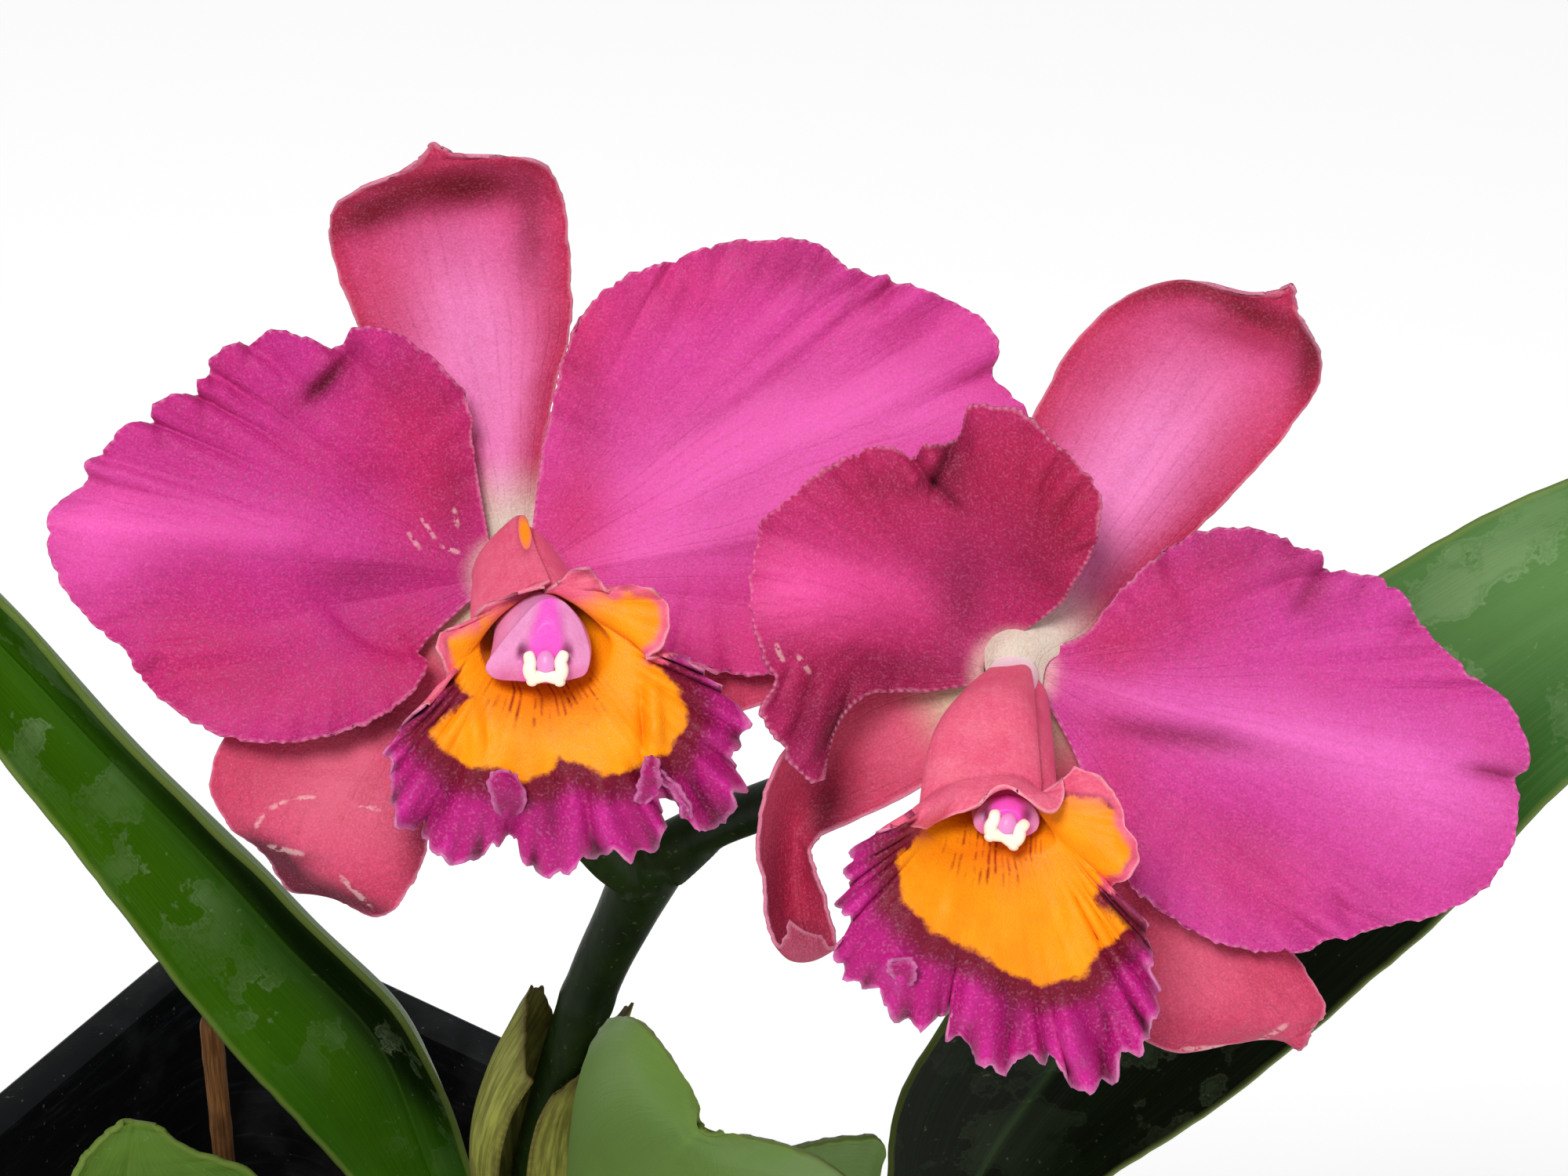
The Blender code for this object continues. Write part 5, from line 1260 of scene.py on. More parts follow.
# Left edge, midline and right edge of each sepal, from its claw to its tip
SEPALS = {
    "bloom_1.dorsal_sepal": [
        [(-1.6, 4.6, -1.0), (0.3, 4.9, -1.0), (2.1, 4.6, -1.0)],
        [(-3.2, 8.0, -1.2), (-0.2, 8.4, -1.0), (2.6, 8.0, -1.2)],
        [(-5.2, 12.5, -1.4), (-0.8, 13.0, -1.0), (3.2, 12.5, -1.3)],
        [(-8.2, 18.0, -1.4), (-1.8, 18.5, -1.2), (4.2, 18.0, -1.3)],
        [(-11.8, 22.0, -1.2), (-2.9, 23.0, -1.4), (5.5, 22.8, -1.2)],
        [(-13.7, 26.0, -0.8), (-3.9, 27.0, -1.4), (5.6, 26.5, -1.0)],
        [(-14.9, 30.0, -0.2), (-4.6, 30.5, -0.8), (5.4, 30.0, -0.4)],
        [(-14.8, 33.0, 0.8), (-5.2, 33.4, 0.4), (5.0, 33.6, 0.6)],
        [(-12.6, 34.9, 2.6), (-5.6, 35.6, 3.0), (3.9, 36.4, 2.8)],
        [(-9.2, 36.2, 4.6), (-5.9, 37.0, 5.0), (1.5, 37.6, 4.6)],
        [(-7.0, 37.7, 5.6), (-6.1, 38.0, 5.8), (-3.5, 37.8, 5.6)],
        [(-6.5, 38.6, 5.9), (-6.2, 38.9, 6.0), (-5.8, 38.6, 5.9)],
    ],
    "bloom_1.sepal_left": [
        [(-2.3, 0.5, -1.0), (-1.5, -0.4, -1.0), (-0.5, -0.9, -1.0)],
        [(-7.0, -1.5, -1.2), (-5.0, -4.0, -1.0), (-2.0, -5.0, -1.2)],
        [(-12.5, -4.0, -1.2), (-9.0, -8.2, -0.8), (-3.6, -10.0, -1.2)],
        [(-18.5, -7.2, -1.0), (-12.6, -12.4, -0.4), (-5.0, -14.5, -1.0)],
        [(-23.2, -10.8, -0.6), (-15.2, -16.2, 0.4), (-6.2, -18.4, -0.6)],
        [(-25.1, -15.0, -0.4), (-16.6, -19.2, 1.0), (-6.9, -21.8, -0.4)],
        [(-23.8, -18.8, -0.8), (-16.9, -21.3, 0.8), (-8.0, -24.2, -0.4)],
        [(-21.2, -20.9, -1.4), (-16.4, -22.8, -0.4), (-9.4, -26.2, -1.0)],
        [(-20.0, -22.2, -3.4), (-15.6, -23.9, -2.4), (-10.9, -26.9, -2.4)],
        [(-18.8, -24.4, -5.0), (-15.2, -24.8, -4.2), (-12.4, -26.4, -4.0)],
        [(-16.9, -25.0, -5.6), (-15.0, -25.2, -5.4), (-13.7, -25.7, -5.2)],
    ],
    "bloom_1.sepal_right": [
        [(1.9, -0.8, -1.2), (2.7, -0.2, -1.2), (3.2, 0.9, -1.2)],
        [(6.5, -6.8, -1.4), (8.0, -3.6, -1.2), (8.0, 0.0, -1.4)],
        [(12.5, -9.6, -1.4), (14.0, -5.2, -1.2), (14.0, -0.8, -1.4)],
        [(18.0, -9.9, -1.4), (19.5, -5.6, -1.2), (20.0, -1.0, -1.4)],
        [(21.5, -9.0, -1.2), (23.8, -5.4, -1.0), (24.5, -1.4, -1.4)],
        [(24.8, -7.6, -1.0), (26.6, -5.2, -0.8), (27.0, -3.0, -1.2)],
        [(27.2, -5.8, -0.8), (27.8, -5.0, -0.8), (27.6, -4.4, -1.0)],
    ],
    "bloom_2.dorsal_sepal": [
        [(-1.2, 0.8, 0.7), (1.0, 1.0, 1.4), (3.2, 0.6, 0.7)],
        [(-1.5, 3.5, 0.7), (1.0, 3.9, 2.0), (3.9, 2.9, 0.6)],
        [(-0.8, 7.0, -1.0), (3.4, 7.0, -0.2), (7.4, 4.6, -0.8)],
        [(-0.8, 12.0, -1.6), (6.2, 12.0, -1.2), (10.6, 8.0, -1.6)],
        [(0.2, 17.5, -1.6), (9.4, 17.6, -1.4), (15.0, 12.6, -1.6)],
        [(2.2, 22.8, -1.4), (12.6, 22.8, -1.6), (19.6, 17.0, -1.4)],
        [(5.0, 28.4, -1.0), (15.8, 27.4, -1.2), (23.6, 21.6, -1.0)],
        [(8.4, 32.4, -0.4), (18.4, 30.4, -0.2), (26.4, 25.4, -0.4)],
        [(12.6, 34.8, 0.6), (20.2, 31.8, 1.6), (27.1, 28.0, 1.0)],
        [(16.5, 35.1, 2.0), (21.8, 32.8, 3.4), (26.4, 30.2, 3.0)],
        [(20.2, 34.0, 3.8), (23.0, 33.6, 4.8), (25.2, 32.0, 4.6)],
        [(23.0, 34.1, 5.2), (23.9, 34.2, 5.6), (24.9, 33.4, 5.4)],
        [(24.1, 34.6, 5.9), (24.5, 34.8, 6.0), (24.8, 34.3, 5.9)],
    ],
    "bloom_2.sepal_left": [
        [(-2.2, 0.9, -1.0), (-1.6, -0.2, -1.0), (-0.8, -0.9, -1.0)],
        [(-6.5, 2.2, -1.2), (-5.2, -2.8, -1.6), (-4.2, -5.8, -1.2)],
        [(-11.0, 1.4, -1.0), (-9.4, -4.8, -2.0), (-8.2, -8.6, -1.2)],
        [(-15.2, -1.4, 0.0), (-13.4, -6.8, -2.0), (-12.4, -10.6, -1.0)],
        [(-18.9, -5.4, 2.4), (-16.6, -8.4, -1.6), (-15.4, -12.0, -0.6)],
        [(-20.4, -9.0, 3.0), (-18.0, -10.6, -1.2), (-16.4, -13.2, 0.2)],
        [(-20.9, -13.0, 2.8), (-18.2, -13.6, -1.0), (-16.2, -14.6, 0.8)],
        [(-20.3, -16.8, 2.6), (-18.0, -17.0, -0.8), (-15.4, -16.8, 1.0)],
        [(-20.1, -19.4, 2.8), (-17.7, -20.4, 0.2), (-14.6, -19.6, 1.2)],
        [(-19.2, -21.4, 3.8), (-17.3, -22.5, 2.4), (-14.2, -21.4, 2.6)],
        [(-18.6, -20.6, 5.2), (-17.0, -21.8, 4.6), (-14.9, -21.5, 4.2)],
        [(-18.2, -19.2, 5.4), (-16.8, -20.2, 5.2), (-15.4, -20.6, 4.8)],
    ],
    "bloom_2.sepal_right": [
        [(1.1, -1.2, -1.2), (2.3, -0.9, -1.2), (3.3, 0.0, -1.2)],
        [(2.6, -8.5, -1.4), (6.0, -6.5, -1.2), (8.5, -4.0, -1.4)],
        [(4.8, -16.0, -1.4), (9.8, -12.5, -1.0), (13.5, -9.0, -1.4)],
        [(7.4, -22.5, -1.2), (13.6, -18.2, -0.6), (18.5, -14.5, -1.2)],
        [(10.6, -28.2, -1.0), (17.2, -23.0, 0.0), (22.6, -19.2, -1.0)],
        [(14.4, -30.4, -1.0), (20.2, -26.0, 0.4), (25.4, -23.2, -0.8)],
        [(18.4, -29.9, -1.4), (22.4, -27.6, 0.2), (27.3, -26.4, -0.6)],
        [(21.6, -29.3, -2.0), (23.8, -28.6, -0.6), (27.0, -27.6, -0.8)],
        [(23.8, -29.4, -2.4), (24.8, -29.4, -1.4), (26.2, -28.6, -1.2)],
        [(25.0, -30.3, -2.2), (25.4, -30.2, -1.8), (25.8, -29.8, -1.6)],
    ],
}

# Lip: bearing of each ring's seam, rings of its tube as (x, y, nearness, half width, half height),
# and the free edge, which starts and ends at the seam over the column
LIPS = {
    "bloom_1.lip": {
        "seam": (84, 84, 86, 88),
        "rings": [
            (0.4, 2.0, 1.9, 3.0, 3.3), (1.2, 1.9, 5.0, 3.7, 4.6),
            (2.2, -0.9, 10.0, 4.9, 4.6), (3.4, -3.7, 14.0, 5.9, 4.8),
        ],
        "edge": [
            (3.3, 1.1, 14.6), (1.6, 0.7, 15.0), (-0.4, 0.1, 15.4), (-2.2, -0.8, 15.6),
            (-3.1, -2.0, 14.8), (-4.3, -2.4, 15.2), (-5.7, -3.0, 16.0), (-5.6, -5.0, 15.6),
            (-4.7, -6.9, 14.8), (-4.0, -8.2, 13.8), (-5.4, -8.5, 14.4), (-7.2, -9.2, 15.4),
            (-8.9, -10.9, 14.2), (-10.0, -13.2, 15.2), (-9.6, -15.6, 13.6), (-9.6, -18.2, 14.8),
            (-8.2, -19.6, 13.8), (-7.0, -18.9, 12.4), (-6.5, -21.0, 13.6), (-4.6, -22.4, 12.6),
            (-2.6, -22.0, 13.4), (-0.9, -20.8, 12.0), (0.5, -19.9, 11.2), (1.6, -22.0, 12.6),
            (3.6, -23.5, 12.0), (5.8, -22.8, 13.4), (7.6, -21.6, 12.0), (10.2, -21.7, 13.4),
            (12.6, -21.2, 12.2), (13.6, -19.4, 13.6), (12.9, -17.9, 12.4), (13.9, -17.0, 14.4),
            (15.3, -17.6, 13.2), (15.9, -19.2, 14.2), (17.6, -19.6, 12.8), (19.4, -17.6, 13.8),
            (20.0, -15.2, 12.4), (19.2, -13.2, 13.6), (20.4, -11.6, 12.2), (20.3, -9.8, 13.2),
            (18.4, -7.8, 12.2), (16.6, -6.0, 13.6), (15.0, -4.8, 13.0), (13.2, -4.9, 14.4),
            (12.2, -5.0, 15.4), (13.5, -3.6, 16.0), (14.0, -2.0, 15.4), (13.6, -0.2, 14.6),
            (12.2, 1.0, 15.2), (10.2, 1.1, 14.0), (8.6, 0.8, 15.2), (7.6, 2.2, 13.8),
            (6.2, 2.8, 14.2), (4.4, 1.4, 14.4),
        ],
        "reach": 5.0,
    },
    "bloom_2.lip": {
        "seam": (52, 40, 34, 29),
        "rings": [
            (1.0, 0.4, 2.2, 2.9, 2.2), (0.4, -1.8, 6.0, 4.4, 3.2),
            (-0.2, -5.2, 10.4, 5.9, 4.4), (-0.2, -10.6, 14.0, 6.8, 3.5),
        ],
        "edge": [
            (5.0, -7.2, 15.2), (5.2, -8.6, 16.2), (4.5, -10.0, 17.2), (3.4, -10.0, 17.6),
            (2.0, -9.0, 17.2), (0.4, -7.8, 16.6), (-1.0, -8.1, 16.6), (-2.0, -9.4, 16.6),
            (-3.2, -10.0, 16.2), (-4.6, -10.4, 15.6), (-5.9, -10.9, 15.4), (-6.6, -11.4, 16.0),
            (-7.2, -11.3, 17.0), (-8.0, -11.2, 17.6), (-9.2, -11.2, 16.8), (-11.4, -12.2, 17.8),
            (-12.9, -13.9, 16.2), (-13.4, -15.2, 17.4), (-12.9, -16.6, 15.6), (-14.2, -18.0, 17.0),
            (-12.8, -19.6, 15.0), (-14.2, -21.6, 16.4), (-13.4, -24.0, 15.4), (-11.0, -25.2, 16.6),
            (-9.6, -27.0, 15.2), (-7.4, -28.4, 16.2), (-5.2, -27.3, 14.8), (-4.2, -26.6, 13.8),
            (-4.7, -29.0, 15.2), (-2.8, -29.9, 14.0), (-2.0, -31.4, 15.2), (-0.2, -32.2, 14.0),
            (1.6, -31.0, 15.2), (3.6, -31.0, 13.8), (5.0, -31.8, 15.2), (5.6, -33.2, 14.0),
            (7.0, -33.8, 15.2), (9.4, -32.6, 14.0), (10.2, -30.8, 15.4), (11.8, -30.2, 14.0),
            (12.6, -28.2, 15.4), (13.2, -26.2, 14.0), (12.7, -23.6, 15.6), (12.4, -21.2, 14.4),
            (11.9, -19.2, 15.8), (10.6, -18.2, 15.0), (9.3, -17.4, 14.6), (9.0, -16.8, 14.8),
            (9.4, -16.2, 15.4), (10.4, -15.9, 16.4), (11.4, -14.4, 16.6), (11.4, -12.8, 15.4),
            (10.4, -11.2, 16.2), (10.0, -9.4, 15.0), (8.8, -7.6, 16.0), (7.2, -6.5, 15.4),
            (5.9, -6.2, 14.6),
        ],
        "reach": 5.5,
    },
}

# Column: (x, y, nearness, half width, half height)
COLUMNS = {
    "bloom_1": [
        (0.4, 1.9, 1.7, 2.2, 2.2), (1.3, 1.0, 6.0, 2.4, 2.3), (2.4, -1.4, 11.0, 3.2, 2.6),
        (3.1, -3.3, 15.0, 4.2, 3.3), (3.2, -3.6, 16.4, 3.4, 2.6),
    ],
    "bloom_2": [
        (0.8, 1.4, 1.7, 2.2, 2.2), (0.4, -1.2, 6.0, 2.3, 2.2), (0.0, -5.2, 10.0, 2.5, 2.4),
        (0.2, -9.8, 13.4, 2.9, 2.3), (0.3, -10.4, 14.4, 2.1, 1.6),
    ],
}
CAPS = {"bloom_1": (3.4, -5.4, 17.6, 1.75), "bloom_2": (0.3, -11.2, 15.7, 1.6)}

# Leaves: left edge, midrib and right edge in the sight frame, from base to tip
LEAVES = {
    "leaf_left": [
        [(-25.8, -61.6, -91), (-25.8, -60.5, -93), (-24.9, -59.4, -94)],
        [(-30.6, -56.8, -89), (-28.0, -55.4, -94), (-26.0, -54.2, -93.5)],
        [(-35.0, -52.0, -86), (-30.0, -50.0, -93), (-27.0, -48.6, -89)],
        [(-41.2, -45.5, -80), (-34.5, -38.5, -86), (-32.4, -36.9, -75)],
        [(-49.0, -36.8, -76), (-42.5, -30.0, -82), (-40.7, -28.3, -71)],
        [(-57.8, -25.4, -71), (-52.3, -19.5, -77), (-51.0, -18.2, -66)],
        [(-66.3, -14.8, -67), (-61.7, -10.0, -72), (-60.3, -8.5, -62)],
        [(-73.5, -6.0, -64), (-69.5, -1.6, -69), (-67.9, 0.3, -60)],
        [(-80.0, 2.4, -62), (-76.6, 6.0, -66), (-75.0, 8.0, -59)],
        [(-84.2, 9.0, -61), (-82.6, 11.6, -63), (-81.4, 12.8, -60)],
        [(-85.6, 13.6, -61), (-85.4, 14.2, -61.5), (-84.8, 14.4, -61)],
    ],
    "leaf_front": [
        [(-16.6, -63.3, -89), (-15.8, -62.6, -90), (-15.4, -61.4, -91.5)],
        [(-18.6, -57.4, -76), (-16.6, -60.6, -76), (-13.6, -62.2, -78)],
        [(-17.8, -50.0, -60), (-16.0, -57.6, -58), (-8.0, -61.8, -64)],
        [(-16.8, -41.5, -43), (-13.6, -53.5, -38), (3.0, -58.5, -44)],
        [(-15.2, -37.2, -25), (-11.4, -50.5, -21), (6.6, -52.5, -28)],
        [(-12.4, -36.8, -11), (-9.2, -48.0, -8), (3.0, -48.6, -13)],
        [(-9.0, -40.8, -4), (-7.6, -46.4, -1.5), (-2.0, -46.9, -5)],
        [(-7.2, -44.6, -1), (-6.9, -45.9, 0), (-5.6, -46.3, -1)],
    ],
    "leaf_right": [
        [(9.0, -56.8, -98), (10.7, -57.0, -98.6), (12.3, -57.6, -97.4)],
        [(8.8, -50.5, -92), (15.0, -52.5, -96), (22.0, -53.5, -90)],
        [(10.2, -43.0, -86), (19.0, -46.0, -92), (30.0, -48.5, -84)],
        [(15.5, -34.0, -80), (26.0, -37.0, -87), (39.0, -42.5, -79)],
        [(27.0, -19.0, -74), (37.0, -26.0, -81), (48.5, -34.5, -74)],
        [(40.0, -7.0, -68), (48.0, -15.5, -75), (57.0, -27.0, -69)],
        [(53.0, 2.3, -63), (60.0, -6.0, -69), (65.0, -18.0, -64)],
        [(66.7, 9.0, -60), (72.0, 1.5, -65), (75.5, -9.5, -61)],
        [(78.5, 12.6, -58), (82.0, 6.5, -62), (84.5, -1.5, -59)],
        [(88.0, 12.8, -58), (89.5, 10.2, -60), (90.2, 7.0, -59)],
        [(92.0, 12.6, -59), (92.4, 12.0, -59.5), (92.4, 11.2, -59)],
    ],
    "leaf_low_right": [
        [(7.7, -58.6, -96.6), (6.6, -59.3, -96.2), (6.2, -60.0, -95.0)],
        [(7.6, -52.2, -88), (5.8, -56.0, -90), (4.0, -60.0, -86)],
        [(8.4, -47.2, -78), (4.8, -53.6, -82), (1.6, -60.4, -76)],
        [(4.6, -46.9, -68), (1.4, -52.4, -72), (-1.2, -58.6, -66)],
        [(1.0, -47.6, -58), (-1.4, -51.6, -61), (-3.4, -56.0, -57)],
        [(-2.0, -48.8, -51), (-3.6, -51.2, -52), (-4.6, -53.2, -51)],
        [(-4.8, -50.2, -47), (-5.2, -50.8, -47), (-5.2, -51.4, -47)],
    ],
    "leaf_low_left": [
        [(-59.6, -82.6, -86), (-58.0, -83.0, -87), (-56.4, -82.8, -86)],
        [(-64.0, -74.0, -77), (-57.5, -75.0, -81), (-51.0, -77.0, -78)],
        [(-66.0, -64.0, -69), (-57.0, -66.0, -74), (-46.0, -69.0, -71)],
        [(-64.4, -55.6, -63), (-56.5, -57.0, -68), (-42.6, -58.4, -66)],
        [(-60.8, -50.6, -60), (-56.0, -51.0, -64), (-44.6, -50.4, -62)],
        [(-58.8, -47.6, -60), (-55.6, -48.0, -62), (-50.2, -48.0, -61)],
        [(-56.2, -45.5, -61), (-55.3, -45.3, -61.5), (-53.6, -45.7, -61)],
    ],
}

# Flower stem: sight frame points with a radius
PEDUNCLE = [
    (-20.9, -61.3, -91.9, 2.6), (-21.0, -50.5, -76, 2.6), (-18.6, -40.5, -60, 2.6),
    (-16.0, -33.0, -50, 2.6), (-13.6, -28.0, -43, 2.8), (-11.6, -24.0, -37, 3.2),
    (-10.4, -22.0, -34, 3.2),
]
STALKS = {
    "bloom_1": [(-11.6, -24.4, -37, 2.8), (-14.8, -22.6, -33, 2.5), (-18.8, -17.5, -26, 2.3),
                (-22.0, -9.5, -18, 2.5), (-23.2, -2.5, -11, 2.5)],
    "bloom_2": [(-10.8, -23.0, -35, 2.8), (-6.6, -20.4, -32, 2.3), (-2.0, -18.6, -27, 2.2),
                (6.0, -15.6, -18, 2.3), (14.0, -11.4, -9, 2.5)],
}

# Bracts at the fork: foot and direction in the sight frame, and length
BRACTS = (
    ((-12.2, -25.6, -36.4), (-0.45, 0.85, 0.35), 6.0), ((-9.6, -23.6, -34.2), (0.85, 0.4, 0.3), 5.5),
)

# Sheath round the flower stem: sight frame middle, half width, half depth
SHEATH_RINGS = [
    (-20.9, -61.0, -91.3, 3.4, 3.3), (-21.0, -54.0, -81.0, 4.6, 4.0),
    (-21.2, -47.5, -71.0, 5.4, 4.2), (-20.2, -42.0, -62.8, 5.0, 4.2),
    (-18.2, -37.6, -56.5, 4.4, 4.2),
]

# Bulbs: foot and top of each in the pot's frame, greatest radius
BULBS = {
    "bulb_1": ((22.5, 4.6, 93.0), (26.0, 1.2, 145.9), 9.6),
    "bulb_2": ((51.5, 18.6, 93.0), (62.8, 7.2, 145.3), 9.0),
    "bulb_3": ((-14.5, -12.4, 93.0), (-19.4, -18.0, 128.2), 8.5),
    "bulb_4": ((-36.0, 17.0, 93.0), (-42.0, 25.0, 128.0), 9.0),
}

# Creeping stem that joins the bulbs' feet, and its roots (start, bearing, length)
RHIZOME = [(-42.0, 22.0), (-36.0, 17.0), (-14.5, -12.4), (4.0, -2.0), (22.5, 4.6), (38.0, 12.0),
           (51.5, 18.6), (57.0, 21.0)]
ROOTS = [
    ((-24.0, -1.0), 200, 34), ((-8.0, -9.0), 262, 40), ((6.0, -1.5), 118, 42),
    ((14.0, 1.8), 285, 38), ((33.0, 9.6), 100, 30), ((44.0, 15.0), 300, 34),
]
DRY_STEM_SPOT = (-12.6, 42.0)

# Outline of each column's head, and the streaks inside each lip, in the bloom's own x and y
HEADS = {
    "bloom_1": [
        (3.8, 0.2), (2.6, -0.3), (0.8, -2.2), (-0.8, -4.2), (-1.7, -5.6), (-1.4, -6.4), (-0.6, -6.8),
        (0.8, -6.9), (2.2, -7.0), (3.6, -7.1), (5.5, -6.8), (6.8, -6.3), (7.2, -4.8), (6.9, -3.2),
        (6.2, -1.6), (5.0, -0.2),
    ],
    "bloom_2": [
        (0.3, -8.6), (-1.2, -9.0), (-2.3, -10.0), (-2.5, -11.2), (-1.6, -12.0), (0.3, -12.3),
        (2.2, -12.0), (3.0, -11.2), (2.8, -10.0), (1.8, -9.0),
    ],
}
CAP_TURNS = {"bloom_1": 0.0, "bloom_2": -20.0}
STREAKS = {"bloom_1": (3.4, -8.2, 5.0, 2.8, 1.1), "bloom_2": (-0.6, -13.8, 4.6, 2.6, 1.0)}
LEAF_FINISHES = {
    "leaf_left": LeafFinish("leaf_left_skin", 0.42, 0.1, ground="285204", light="4C7A0C", dark="0C1903"),
    "leaf_front": LeafFinish("leaf_front_skin", 0.45, 0.1, ground="48681A", light="6C8A2C"),
    "leaf_right": LeafFinish("leaf_right_skin", 0.45, 0.1, ground="326020", light="648C50",
                             dark="071002", spots=0.5),
    "leaf_low_right": LeafFinish("leaf_low_right_skin", 0.45, 0.1, ground="223A0E"),
    "leaf_low_left": LeafFinish("leaf_low_left_skin", 0.45, 0.1, ground="345412"),
}
# Soft ovals of painted shade, painted highlight and water marks on each leaf, in the sight frame
LEAF_TONES: dict[str, dict[str, Table]] = {
    "leaf_left": {"shade": [(-40, -27, 26, 4.4, 0.95, 130), (-57, -6, 34, 4, 0.9, 130),
                            (-32, -38, 10, 3, 0.8, 130)],
                  "painted_highlight": [(-58, -22, 16, 4, 0.3, 130)],
                  "film": [(-62, -12, 6, 3, 1, 130), (-53, -25, 6, 3, 1, 130),
                           (-44, -36, 4, 2.4, 0.9, 130), (-34, -41, 5, 3, 0.9, 130)]},
    "leaf_front": {"shade": [(-12, -46, 8, 4, 0.4)], "painted_highlight": [(-4, -52, 10, 4, 0.3)]},
    "leaf_right": {"shade": [(24, -44, 24, 17, 1.8, 30), (46, -28, 18, 9, 1.3, 40)],
                   "painted_highlight": [(66, 2, 18, 9, 0.7, 30)], "film": [(64, 2, 14, 8, 0.8, 30)]},
    "leaf_low_right": {"shade": [(2, -54, 10, 8, 0.6)], "painted_highlight": []},
    "leaf_low_left": {"shade": [(-58, -70, 6, 12, 0.3)], "painted_highlight": []},
}

